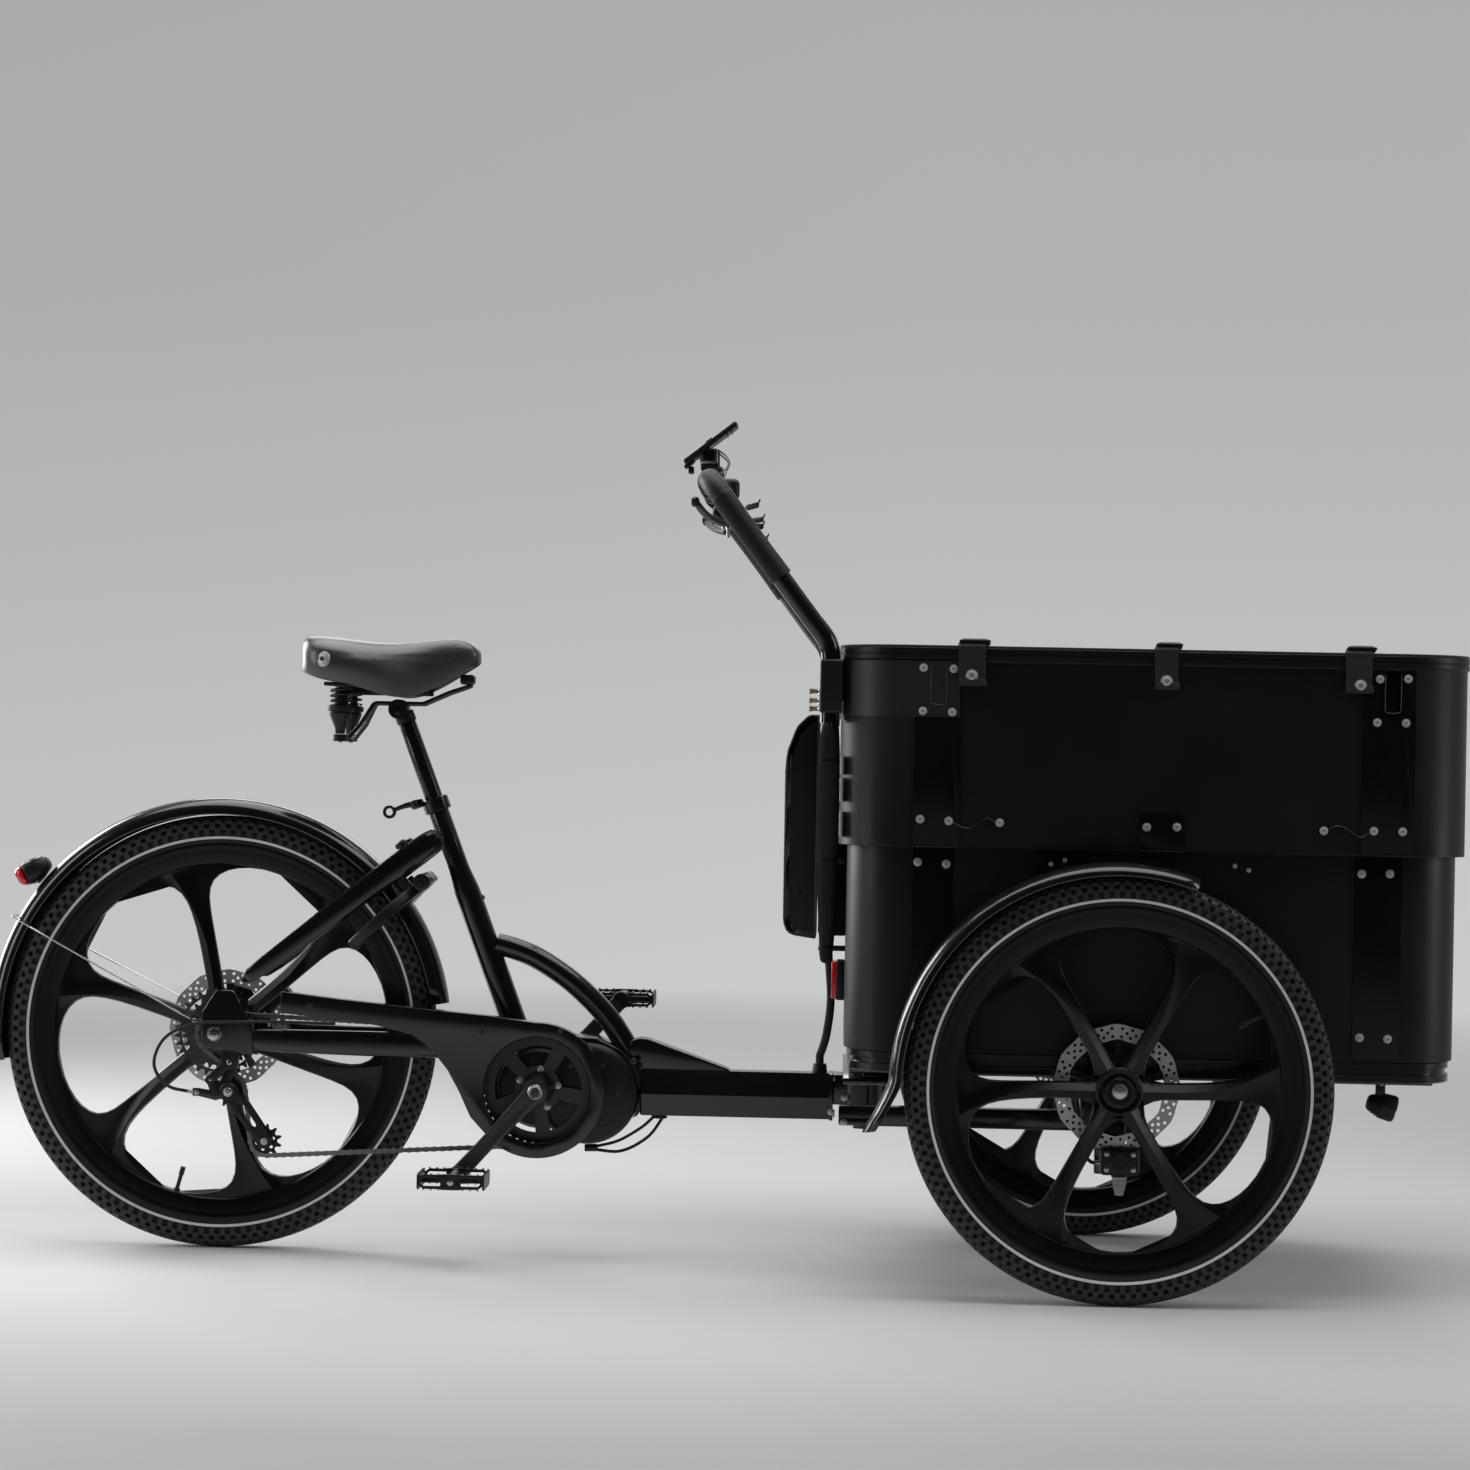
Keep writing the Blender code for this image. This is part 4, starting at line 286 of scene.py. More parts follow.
class Palette:
    """Every finish of the tricycle, made once."""

    def __init__(self) -> None:
        """Makes the materials."""
        finishes = (Finish("gloss_black_paint", (0.0045, 0.0045, 0.0048), (0.007, 0.007, 0.0073),
                           (0.13, 0.24), Grain.ORANGE_PEEL, 260.0, 0.00003, coat=0.35, dust=0.05),
                    Finish("satin_black_panel", (0.0026, 0.0026, 0.0027), (0.0044, 0.0044, 0.0046),
                           (0.36, 0.46), Grain.CAST, 900.0, 0.00006, specular=0.36, dust=0.03),
                    Finish("anodised_corner", (0.009, 0.0095, 0.01), (0.014, 0.0145, 0.015), (0.36, 0.48),
                           Grain.BRUSHED, 700.0, 0.00003, specular=0.5, dust=0.03),
                    Finish("gloss_black_plate", (0.0035, 0.0035, 0.0036), (0.006, 0.006, 0.006),
                           (0.16, 0.26), Grain.ORANGE_PEEL, 300.0, 0.00003, specular=0.18),
                    Finish("moulded_black", (0.006, 0.006, 0.0063), (0.01, 0.01, 0.0103), (0.34, 0.48),
                           Grain.CAST, 1300.0, 0.00008, specular=0.35, dust=0.06),
                    Finish("wheel_black", (0.0016, 0.0016, 0.0017), (0.003, 0.003, 0.0031), (0.26, 0.36),
                           Grain.CAST, 900.0, 0.00006, specular=0.3, dust=0.02),
                    # Tread blocks and casing are a lighter and a darker copy of one rubber: painted
                    # highlight on the knobs, painted shade in the gaps and on the casing.
                    Finish("tread_rubber_painted_highlight", (0.015, 0.0148, 0.0143), (0.027, 0.0266, 0.0258), (0.44, 0.6),
                           Grain.CAST, 700.0, 0.00012, specular=0.5, dust=0.12),
                    Finish("tyre_rubber_painted_shade", (0.007, 0.0069, 0.0067), (0.013, 0.0128, 0.0124), (0.6, 0.8),
                           Grain.CAST, 700.0, 0.00012, specular=0.35, dust=0.1),
                    Finish("cable_rubber", (0.01, 0.01, 0.01), (0.015, 0.015, 0.015), (0.42, 0.58),
                           Grain.CAST, 900.0, 0.00004, specular=0.4),
                    Finish("sleeve_braid", (0.011, 0.011, 0.0115), (0.02, 0.02, 0.02), (0.6, 0.8),
                           Grain.WEAVE, 160.0, 0.0003, specular=0.3),
                    Finish("grip_rubber", (0.005, 0.0049, 0.0043), (0.009, 0.0088, 0.0078), (0.46, 0.62),
                           Grain.PEBBLE, 520.0, 0.0002, specular=0.35, dust=0.08),
                    # The saddle skin's colour is raised above the leather's own to stand in for the sheen
                    # on its top: painted sheen.
                    Finish("saddle_skin_painted_sheen", (0.024, 0.0238, 0.0234), (0.038, 0.0377, 0.0371), (0.27, 0.36),
                           Grain.PEBBLE, 420.0, 0.00016, specular=1.0, dust=0.05),
                    Finish("brushed_steel", (0.44, 0.435, 0.42), (0.6, 0.59, 0.57), (0.22, 0.38),
                           Grain.BRUSHED, 900.0, 0.00004, metallic=1.0),
                    Finish("plug_brass", (0.24, 0.19, 0.14), (0.4, 0.33, 0.26), (0.3, 0.42), Grain.BRUSHED,
                           1200.0, 0.00003, metallic=0.5), Finish("zinc_screw", (0.46, 0.455, 0.44),
                                                                  (0.62, 0.615, 0.6), (0.3, 0.44),
                                                                  Grain.CAST, 2400.0, 0.00003,
                                                                  metallic=0.45),
                    Finish("forged_alloy", (0.026, 0.026, 0.0265), (0.04, 0.04, 0.041), (0.28, 0.4),
                           Grain.CAST, 1600.0, 0.00005, metallic=0.3, specular=0.6, dust=0.04),
                    Finish("chromed_steel", (0.62, 0.61, 0.6), (0.72, 0.71, 0.7), (0.1, 0.2),
                           Grain.ORANGE_PEEL, 500.0, 0.00002, metallic=1.0),
                    Finish("dark_steel", (0.045, 0.044, 0.042), (0.085, 0.082, 0.078), (0.3, 0.46),
                           Grain.CAST, 600.0, 0.00005, metallic=0.9),
                    Finish("cog_steel", (0.06, 0.058, 0.054), (0.12, 0.115, 0.105), (0.26, 0.4), Grain.CAST,
                           # The battery band is a real band whose colour is raised to paint in the
                           # highlight along the battery's edge.
                           500.0, 0.00004, metallic=1.0), Finish("battery_band_painted_highlight", (0.055, 0.056, 0.056),
                                                                 (0.08, 0.08, 0.078), (0.34, 0.46),
                                                                 Grain.CAST, 900.0, 0.00004, specular=0.5),
                    Finish("chain_steel", (0.13, 0.127, 0.12), (0.26, 0.25, 0.235), (0.28, 0.44),
                           Grain.CAST, 700.0, 0.00004, metallic=1.0),
                    Finish("cover_cloth", (0.008, 0.008, 0.0083), (0.013, 0.013, 0.0135), (0.58, 0.74),
                           Grain.WEAVE, 190.0, 0.00022, sheen=0.15, specular=0.35, dust=0.05),
                    Finish("strap_webbing", (0.007, 0.007, 0.0075), (0.013, 0.013, 0.0135), (0.5, 0.66),
                           Grain.WEAVE, 120.0, 0.0004, sheen=0.25, specular=0.35),
                    # The red lenses glow faintly: painted glow, on the reflectors and the unlit rear light
                    # alike.
                    Finish("red_lens", (0.42, 0.006, 0.012), (0.52, 0.012, 0.02), (0.06, 0.14),
                           Grain.PEBBLE, 300.0, 0.0003, coat=0.6, painted_glow=0.04),
                    Finish("clear_lens", (0.75, 0.76, 0.78), (0.85, 0.86, 0.88), (0.03, 0.07), Grain.PEBBLE,
                           260.0, 0.0003, transmission=0.75, coat=0.5),
                    Finish("cloudy_nozzle", (0.42, 0.43, 0.42), (0.55, 0.56, 0.55), (0.3, 0.42), Grain.CAST,
                           300.0, 0.0001, transmission=0.45),
                    Finish("screen_glass", (0.006, 0.0065, 0.0075), (0.009, 0.0095, 0.011), (0.04, 0.1),
                           Grain.ORANGE_PEEL, 40.0, 0.00001, coat=0.8),
                    Finish("pale_stripe", (0.55, 0.56, 0.56), (0.68, 0.69, 0.69), (0.38, 0.52), Grain.CAST,
                           1200.0, 0.00003), Finish("tray_grey", (0.02, 0.02, 0.021), (0.034, 0.034, 0.034),
                                                    (0.55, 0.7), Grain.CAST, 420.0, 0.00025, specular=0.35,
                                                    dust=0.12))
        self.materials = {finish.name: finish.make() for finish in finishes}

    def __getitem__(self, name: str) -> bpy.types.Material:
        """The material of this name."""
        return self.materials[name]

    def add(self, finish: Finish) -> bpy.types.Material:
        """Makes one more finish and keeps it."""
        self.materials[finish.name] = finish.make()
        return self.materials[finish.name]


PALETTE = Palette()

# Modelling moves


def clamped(value: float) -> float:
    """The value kept between 0 and 1."""
    return min(max(value, 0.0), 1.0)


def mirrored(half: list) -> list:
    """A profile of (radius, height) points and its mirror image about height 0."""
    return half + [(radius, -height) for radius, height in half[::-1] if height]


def clear() -> None:
    """Leaves edit mode and deselects everything."""
    if bpy.context.mode != "OBJECT":
        bpy.ops.object.mode_set(mode="OBJECT")
    bpy.ops.object.select_all(action="DESELECT")


def pick(*objects: Piece) -> None:
    """Selects these objects alone, the first of them active.

    Args:
        *objects: The objects.
    """
    clear()
    for obj in objects:
        obj.select_set(True)
    bpy.context.view_layer.objects.active = objects[0]


def weld(obj: Piece) -> None:
    """Merges the piece's doubled points and turns its faces outwards.

    Args:
        obj: The piece.
    """
    pick(obj)
    bpy.ops.object.mode_set(mode="EDIT")
    bpy.ops.mesh.select_all(action="SELECT")
    bpy.ops.mesh.remove_doubles(threshold=1e-6)
    bpy.ops.mesh.normals_make_consistent(inside=False)
    bpy.ops.object.mode_set(mode="OBJECT")


def settle(obj: Piece, name: str, finish: str | None = None, angle: float = 35.0) -> Piece:
    """Puts the object's place into its mesh, shades it and names it.

    Args:
        obj: The piece.
        name: Its name.
        finish: The name of its finish.
        angle: Edges sharper than this, in degrees, stay sharp.

    Returns:
        The piece.
    """
    pick(obj)
    bpy.ops.object.transform_apply(location=True, rotation=True, scale=True)
    bpy.ops.object.shade_smooth_by_angle(angle=math.radians(angle))
    obj.name = obj.data.name = name
    if finish:
        obj.data.materials.clear()
        obj.data.materials.append(PALETTE[finish])
    return obj


def apply(obj: Piece, kind: str, **settings: object) -> Piece:
    """Adds a modifier with these settings and applies it.

    Args:
        obj: The piece.
        kind: The modifier's type.
        **settings: Its settings.

    Returns:
        The piece.
    """
    pick(obj)
    modifier = obj.modifiers.new(kind.lower(), kind)
    for key, value in settings.items():
        setattr(modifier, key, value)
    bpy.ops.object.modifier_apply(modifier=modifier.name)
    return obj


def joined(name: str, pieces: list[Piece], finish: str | None = None) -> Piece:
    """Joins pieces into one object of this name.

    Args:
        name: The name of the whole.
        pieces: The pieces, the first of which is kept.
        finish: A finish for the whole, or None to keep each piece's own.

    Returns:
        The joined piece.
    """
    pick(*pieces)
    if len(pieces) > 1:
        bpy.ops.object.join()
    return settle(pieces[0], name, finish)


def copied(obj: Piece, place: Matrix) -> Piece:
    """A copy with its own mesh, moved by a matrix.

    Args:
        obj: The piece that is copied.
        place: The matrix that moves the copy.

    Returns:
        The copy.
    """
    twin = obj.copy()
    twin.data = obj.data.copy()
    bpy.context.scene.collection.objects.link(twin)
    twin.data.transform(place)
    if place.determinant() < 0:
        twin.data.flip_normals()
    return twin


def block(name: str, centre: object, size: Point, finish: str, bevel: float = 0.001, segments: int = 2,
          turn: Matrix | None = None) -> Piece:
    """A block with rounded edges, turned about its own centre.

    Args:
        name: Its name.
        centre: Its middle.
        size: Its lengths along X, Y and Z.
        finish: The name of its finish.
        bevel: Width of the rounded edges.
        segments: Steps across a rounded edge.
        turn: Its rotation, or None.

    Returns:
        The piece.
    """
    clear()
    bpy.ops.mesh.primitive_cube_add(size=1)
    obj = bpy.context.object
    obj.scale = size
    bpy.ops.object.transform_apply(scale=True)
    bpy.ops.object.mode_set(mode="EDIT")
    bpy.ops.mesh.bevel(offset=bevel, segments=segments, affect="EDGES")
    bpy.ops.object.mode_set(mode="OBJECT")
    obj.matrix_world = Matrix.Translation(Vector(centre)) @ (turn or Matrix()).to_4x4()
    return settle(obj, name, finish)


def rod(name: str, start: object, end: object, radius: float, finish: str, sides: int = 24,
        bevel: float = 0.0006, tip: float | None = None) -> Piece:
    """A round bar or cone between two points, its end edges softened.

    Args:
        name: Its name.
        start: Middle of its first end.
        end: Middle of its other end.
        radius: Its radius.
        finish: The name of its finish.
        sides: How many sides it has.
        bevel: Width of the softened edges.
        tip: Radius at the other end, or None for the same.

    Returns:
        The piece.
    """
    clear()
    start, end = Vector(start), Vector(end)
    bpy.ops.mesh.primitive_cone_add(vertices=sides, radius1=radius, radius2=radius if tip is None else tip,
                                    depth=(end - start).length)
    obj = bpy.context.object
    if bevel:
        bpy.ops.object.mode_set(mode="EDIT")
        bpy.ops.mesh.select_all(action="DESELECT")
        bpy.ops.mesh.select_face_by_sides(number=4, type="GREATER")
        bpy.ops.mesh.bevel(offset=bevel, segments=2, affect="EDGES")
        bpy.ops.object.mode_set(mode="OBJECT")
    turn = (end - start).to_track_quat("Z", "Y").to_matrix().to_4x4()
    obj.matrix_world = Matrix.Translation((start + end) / 2) @ turn
    return settle(obj, name, finish)


def drawn(points: list) -> Piece:
    """An edge chain through points, left in edit mode with all of it selected.

    Args:
        points: The points of the chain.

    Returns:
        The chain's object.
    """
    clear()
    points = [Vector(point) for point in points]
    bpy.ops.mesh.primitive_plane_add(size=0.01)
    obj = bpy.context.object
    bpy.ops.object.mode_set(mode="EDIT")
    bpy.ops.mesh.merge(type="CENTER")
    mesh = bmesh.from_edit_mesh(obj.data)
    mesh.verts.ensure_lookup_table()
    mesh.verts[0].co = points[0]
    bmesh.update_edit_mesh(obj.data)
    for one, two in zip(points, points[1:]):
        bpy.ops.mesh.extrude_region_move(TRANSFORM_OT_translate={"value": two - one})
    bpy.ops.mesh.select_all(action="SELECT")
    return obj


def lathe(name: str, profile: list, centre: object, finish: str, steps: int = 48, axis: Vector = Y,
          ring: bool = False, angle: float = 35.0) -> Piece:
    """A turned piece.

    Args:
        name: Its name.
        profile: Points (radius, height along the axis).
        centre: Where its axis and height 0 lie.
        finish: Its finish.
        steps: Sides of the turning.
        axis: Its axis.
        ring: True closes the profile into a loop.
        angle: Sharpness limit of the shading.

    Returns:
        The piece.
    """
    points = [(radius, 0, height) for radius, height in profile]
    obj = drawn([*points, points[0]] if ring else points)
    bpy.ops.mesh.spin(steps=steps, angle=2 * math.pi, center=(0, 0, 0), axis=(0, 0, 1))
    bpy.ops.mesh.select_all(action="SELECT")
    bpy.ops.mesh.remove_doubles(threshold=1e-6)
    bpy.ops.mesh.normals_make_consistent(inside=False)
    bpy.ops.object.mode_set(mode="OBJECT")
    turn = axis.to_track_quat("Z", "Y").to_matrix().to_4x4()
    obj.matrix_world = Matrix.Translation(Vector(centre)) @ turn
    return settle(obj, name, finish, angle)


def slab(name: str, outline: list, thickness: float, place: Matrix, finish: str, bevel: float = 0.0005,
         cuts: list | None = None, segments: int = 2) -> Piece:
    """A plate from a flat outline.

    Args:
        name: Its name.
        outline: Points (x, y) of its face.
        thickness: How far it reaches along its own Z, centred.
        place: Where its own axes lie.
        finish: Its finish.
        bevel: Size of the softened edges.
        cuts: Outlines of openings through it.
        segments: Steps of the softened edges.

    Returns:
        The piece.
    """
    obj = drawn([(x, y, -thickness / 2) for x, y in outline])
    bpy.ops.mesh.edge_face_add()
    bpy.ops.mesh.extrude_region_move(TRANSFORM_OT_translate={"value": (0, 0, thickness)})
    bpy.ops.mesh.select_all(action="SELECT")
    bpy.ops.mesh.normals_make_consistent(inside=False)
    bpy.ops.object.mode_set(mode="OBJECT")
    for outline in cuts or []:
        carve(obj, slab("cutter", outline, thickness * 3, Matrix(), finish, 0.0))
    if bevel:
        apply(obj, "BEVEL", width=bevel, segments=segments, limit_method="ANGLE",
              angle_limit=math.radians(50))
    obj.matrix_world = place.to_4x4()
    return settle(obj, name, finish)


def carve(obj: Piece, *cutters: Piece) -> Piece:
    """Cuts the cutters out of the object and removes them.

    Args:
        obj: The piece.
        *cutters: The pieces that are cut away.

    Returns:
        The piece.
    """
    for cutter in cutters:
        apply(obj, "BOOLEAN", operation="DIFFERENCE", object=cutter, solver="EXACT")
        bpy.data.objects.remove(cutter)
    return obj


def sleeve(name: str, rings: list, finish: str, smooth: int = 0, caps: bool = True,
           angle: float = 40.0) -> Piece:
    """A skin over rings with equal numbers of points, drawn out ring by ring.

    Args:
        name: Its name.
        rings: Lists of points.
        finish: Its finish.
        smooth: Levels of subdivision.
        caps: True closes both ends.
        angle: Sharpness limit of the shading.

    Returns:
        The piece.
    """
    clear()
    bpy.ops.mesh.primitive_circle_add(vertices=len(rings[0]), fill_type="NGON" if caps else "NOTHING")
    obj = bpy.context.object
    bpy.ops.object.mode_set(mode="EDIT")
    mesh = bmesh.from_edit_mesh(obj.data)
    mesh.verts.ensure_lookup_table()
    order = list(mesh.verts)
    for vertex, point in zip(order, rings[0]):
        vertex.co = point
    index = {vertex.index: i for i, vertex in enumerate(order)}
    bmesh.update_edit_mesh(obj.data)
    for ring in rings[1:]:
        bpy.ops.mesh.extrude_region_move(TRANSFORM_OT_translate={"value": (0, 0, 0)})
        mesh = bmesh.from_edit_mesh(obj.data)
        mesh.verts.index_update()
        fresh = {}
        for vertex in mesh.verts:
            if not vertex.select:
                continue
            source = next(edge.other_vert(vertex) for edge in vertex.link_edges
                          if not edge.other_vert(vertex).select)
            fresh[vertex.index] = index[source.index]
        for vertex in mesh.verts:
            if vertex.index in fresh:
                vertex.co = ring[fresh[vertex.index]]
        index = {**index, **fresh}
        bmesh.update_edit_mesh(obj.data)
    bpy.ops.mesh.select_all(action="SELECT")
    bpy.ops.mesh.normals_make_consistent(inside=False)
    bpy.ops.object.mode_set(mode="OBJECT")
    if smooth:
        apply(obj, "SUBSURF", levels=smooth, render_levels=smooth)
    return settle(obj, name, finish, angle)


def oval(centre: object, across: Vector, up: Vector, sides: int = 16, power: float = 2.0) -> list[Vector]:
    """Points round a section; power 2 is an ellipse, more is squarer.

    Args:
        centre: Middle of the section.
        across: From the middle to its side.
        up: From the middle to its top.
        sides: How many points it has.
        power: Shape of the section.

    Returns:
        The points.
    """
    ring = []
    for i in range(sides):
        angle = 2 * math.pi * (i + 0.5) / sides
        cosine, sine = math.cos(angle), math.sin(angle)
        a = math.copysign(abs(cosine) ** (2 / power), cosine)
        b = math.copysign(abs(sine) ** (2 / power), sine)
        ring.append(Vector(centre) + a * across + b * up)
    return ring


def flowing(points: list, steps: int = 6) -> list[Vector]:
    """A smooth route through points (Catmull-Rom).

    Args:
        points: Points that the route meets.
        steps: Steps between two points.

    Returns:
        The route's points.
    """
    points = [Vector(point) for point in points]
    ends = [2 * points[0] - points[1], *points, 2 * points[-1] - points[-2]]
    route = []
    for a, b, c, d in zip(ends, ends[1:], ends[2:], ends[3:]):
        for k in range(steps):
            t = k / steps
            route.append(0.5 * (2 * b + (c - a) * t + (2 * a - 5 * b + 4 * c - d) * t**2
                                + (3 * b - 3 * c + d - a) * t**3))
    return [*route, points[-1]]


def wire(name: str, points: list, radius: float, finish: str, steps: int = 6, resolution: int = 2) -> Piece:
    """A cable or wire along a smooth route through points.

    Args:
        name: Its name.
        points: Points that it meets.
        radius: Its radius.
        finish: The name of its finish.
        steps: Steps between two points.
        resolution: Steps round its section.

    Returns:
        The piece.
    """
    clear()
    bpy.ops.curve.primitive_nurbs_path_add()
    obj = bpy.context.object
    curve = obj.data
    curve.splines.clear()
    route = flowing(points, steps) if steps > 1 else [Vector(point) for point in points]
    spline = curve.splines.new("POLY")
    spline.points.add(len(route) - 1)
    for point, place in zip(spline.points, route):
        point.co = (*place, 1)
    curve.bevel_depth = radius
    curve.bevel_resolution = resolution
    curve.use_fill_caps = True
    pick(obj)
    bpy.ops.object.convert(target="MESH")
    weld(obj)
    return settle(obj, name, finish, 50.0)


def arc(x: float, y: float, radius: float, start: float, end: float,
        steps: int) -> list[tuple[float, float]]:
    """Points on an arc, in degrees.

    Args:
        x: Its middle's first coordinate.
        y: Its middle's second coordinate.
        radius: Its radius.
        start: The angle that it begins at, in degrees.
        end: The angle that it ends at, in degrees.
        steps: Steps along it.

    Returns:
        The arc's points.
    """
    angles = [math.radians(start + (end - start) * i / steps) for i in range(steps + 1)]
    return [(x + radius * math.cos(a), y + radius * math.sin(a)) for a in angles]


def rounded_outline(low: tuple, high: tuple, radius: float, steps: int = 5) -> list[tuple[float, float]]:
    """A rectangle with round corners.

    Args:
        low: The lower corner.
        high: The upper corner.
        radius: Radius of the corners.
        steps: Steps round a corner.

    Returns:
        The outline's points.
    """
    outline = []
    for x, y, start in ((high[0] - radius, high[1] - radius, 0), (low[0] + radius, high[1] - radius, 90),
                        (low[0] + radius, low[1] + radius, 180), (high[0] - radius, low[1] + radius, 270)):
        outline += arc(x, y, radius, start, start + 90, steps)
    return outline


def side_plane(y: float) -> Matrix:
    """Axes of a plate that stands along the cycle: its own x along X and its own y up."""
    return Matrix.Translation((0, y, 0)) @ Matrix.Rotation(math.pi / 2, 4, "X")


def carried(obj: Piece, body: str, slot: str, *nodes: str) -> Piece:
    """Rides a piece on a body and hides the nodes that it stands for.

    Args:
        obj: The piece.
        body: The body that it rides on.
        slot: Not used.
        *nodes: The nodes that it stands for.

    Returns:
        The piece.
    """
    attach(obj, body)
    if nodes:
        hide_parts(*nodes)
    LOG.info("%s rides on %s", obj.name, body)
    return obj


def ringed(obj: Piece, count: int, centre: object, axis: Vector = Y) -> Piece:
    """Repeats a piece evenly round an axis, inside its own mesh.

    Args:
        obj: The piece.
        count: How many there are in all.
        centre: A point of the axis.
        axis: The axis.

    Returns:
        The piece.
    """
    pick(obj)
    bpy.ops.object.mode_set(mode="EDIT")
    bpy.ops.mesh.select_all(action="SELECT")
    bpy.ops.mesh.spin(steps=count - 1, dupli=True, angle=2 * math.pi * (count - 1) / count, center=centre,
                      axis=axis)
    bpy.ops.object.mode_set(mode="OBJECT")
    return obj


@dataclass
class Studio:
    """Camera, pale floor and soft lamps."""

    camera_place: Point = (0.1953, -5.4889, 0.7611)
    camera_right: Point = (0.99935462, 0.02981875, 0.02002949)
    camera_up: Point = (-0.01982374, -0.00717957, 0.99977771)
    camera_forward: Point = (-0.02995593, 0.99952954, 0.00658382)
    lens: float = 88.19
    floor_radius: float = 7.0

    def build(self) -> None:
        """Sets up the view, the camera, the floor, the backdrop and the lamps."""
        bpy.context.scene.view_settings.view_transform = "Standard"
        self.set_camera()
        self.lay_floor()
        self.light_room()
        self.hang_lamps()

    def set_camera(self) -> None:
        """Stands the camera where the photograph was taken."""
        lens = bpy.data.cameras.new("camera")
        lens.lens, lens.sensor_width = self.lens, 36.0
        camera = bpy.data.objects.new("camera", lens)
        bpy.context.scene.collection.objects.link(camera)
        axes = (Vector(self.camera_right), Vector(self.camera_up), -Vector(self.camera_forward))
        camera.matrix_world = Matrix.Translation(self.camera_place) @ Matrix(axes).transposed().to_4x4()
        bpy.context.scene.camera = camera

    def lay_floor(self) -> None:
        """A pale floor, painted darker towards the camera and behind the object (painted shade), that fades
        into the backdrop.
        """
        clear()
        bpy.ops.mesh.primitive_circle_add(vertices=96, radius=self.floor_radius, fill_type="NGON")
        floor = bpy.context.object
        floor.name = "studio_floor"
        recipe = Recipe("studio_floor")
        distance = recipe.node("ShaderNodeVectorMath", {"operation": "LENGTH"}, _0=recipe.place).outputs[1]
        clear_part = recipe.spread(distance, 0.0, 1.0, 2.2, self.floor_radius - 0.6)
        tone = recipe.spread(recipe.noise(1.4, 3.0), 0.0, 0.25)
        # Painted shade: the floor's colour is darker towards the camera and again behind the object,
        # standing in for the lamps' falloff and the object's shadow.
        depth = recipe.node("ShaderNodeSeparateXYZ", _0=recipe.place).outputs[1]
        near = recipe.mix(recipe.spread(depth, 0.0, 1.0, -1.5, -0.3), (0.44, 0.44, 0.44, 1),
                          (0.68, 0.68, 0.68, 1))
        far = recipe.mix(recipe.spread(depth, 0.0, 1.0, 0.5, 1.1), (0.44, 0.44, 0.44, 1),
                         (0.5, 0.5, 0.5, 1))
        painted_floor_shade = recipe.mix(recipe.spread(depth, 0.0, 1.0, -0.3, 0.4), near, far)
        recipe.feed(Base_Color=recipe.mix(tone, painted_floor_shade, (0.54, 0.54, 0.54, 1)), Roughness=0.75,
                    Specular_IOR_Level=0.2, Normal=recipe.bump(recipe.noise(300.0), 0.0002))
        ghost = recipe.node("ShaderNodeBsdfTransparent")
        blend = recipe.node("ShaderNodeMixShader", _0=clear_part, _1=recipe.shader.outputs[0],
                            _2=ghost.outputs[0])
        recipe.tree.links.new(blend.outputs[0], recipe.tree.nodes["Material Output"].inputs[0])
        floor.data.materials.append(recipe.material)

    def light_room(self) -> None:
        """World: pale all round for the camera, painted darker towards the top and the left (painted
        shade), and an unlit room in front of the object for its gloss.
        """
        world = bpy.data.worlds.new("studio")
        bpy.context.scene.world = world
        world.use_nodes = True
        tree = world.node_tree
        node, link = tree.nodes.new, tree.links.new
        way = node("ShaderNodeSeparateXYZ")
        link(node("ShaderNodeTexCoord").outputs["Generated"], way.inputs[0])

        def ramp(source: object, stops: list) -> object:
            """A smooth grey ramp over a direction's share, from -1 to 1.

            Args:
                source: The direction's share.
                stops: The ramp's stops.

            Returns:
                The ramp's colour.
            """
            spread = node("ShaderNodeMapRange")
            spread.inputs["From Min"].default_value, spread.inputs["From Max"].default_value = -1.0, 1.0
            link(source, spread.inputs["Value"])
            made = node("ShaderNodeValToRGB")
            made.color_ramp.interpolation = "B_SPLINE"
            elements = made.color_ramp.elements
            while len(elements) < len(stops):
                elements.new(0.5)
            for element, (place, grey) in zip(elements, stops):
                element.position = place
                element.color = (grey * 0.995, grey * 1.005, grey, 1)
            link(spread.outputs[0], made.inputs[0])
            return made.outputs[0]

        # The camera's backdrop is painted darker towards the top, and darker to the left than to the right:
        # painted shade.
        backdrop_shade_stops = [(0.0, 0.61), (0.465, 0.6), (0.486, 0.571), (0.503, 0.543), (0.522, 0.51), (0.55, 0.46),
                   (0.565, 0.438), (0.6, 0.432), (0.66, 0.38), (1.0, 0.34)]
        backdrop = node("ShaderNodeMix")
        backdrop.data_type, backdrop.blend_type = "RGBA", "MULTIPLY"
        backdrop.inputs[0].default_value = 1.0
        link(ramp(way.outputs[2], backdrop_shade_stops), backdrop.inputs[6])
        link(ramp(way.outputs[0], [(0.0, 0.7), (1.0, 1.3)]), backdrop.inputs[7])
        room = ramp(way.outputs[1], [(0.0, 0.006), (0.4, 0.012), (0.56, 0.15), (0.85, 0.36), (1.0, 0.42)])
        path = node("ShaderNodeLightPath")
        seen = node("ShaderNodeMath")
        seen.operation = "MAXIMUM"
        link(path.outputs["Is Camera Ray"], seen.inputs[0])
        link(path.outputs["Is Transmission Ray"], seen.inputs[1])
        mixed = node("ShaderNodeMix")
        mixed.data_type = "RGBA"
        link(seen.outputs[0], mixed.inputs[0])
        glossy = node("ShaderNodeMix")
        glossy.data_type = "RGBA"
        link(path.outputs["Is Glossy Ray"], glossy.inputs[0])
        glossy.inputs[6].default_value = (0.21, 0.21, 0.215, 1)
        link(room, glossy.inputs[7])
        link(glossy.outputs[2], mixed.inputs[6])
        link(backdrop.outputs[2], mixed.inputs[7])
        link(mixed.outputs[2], tree.nodes["Background"].inputs[0])

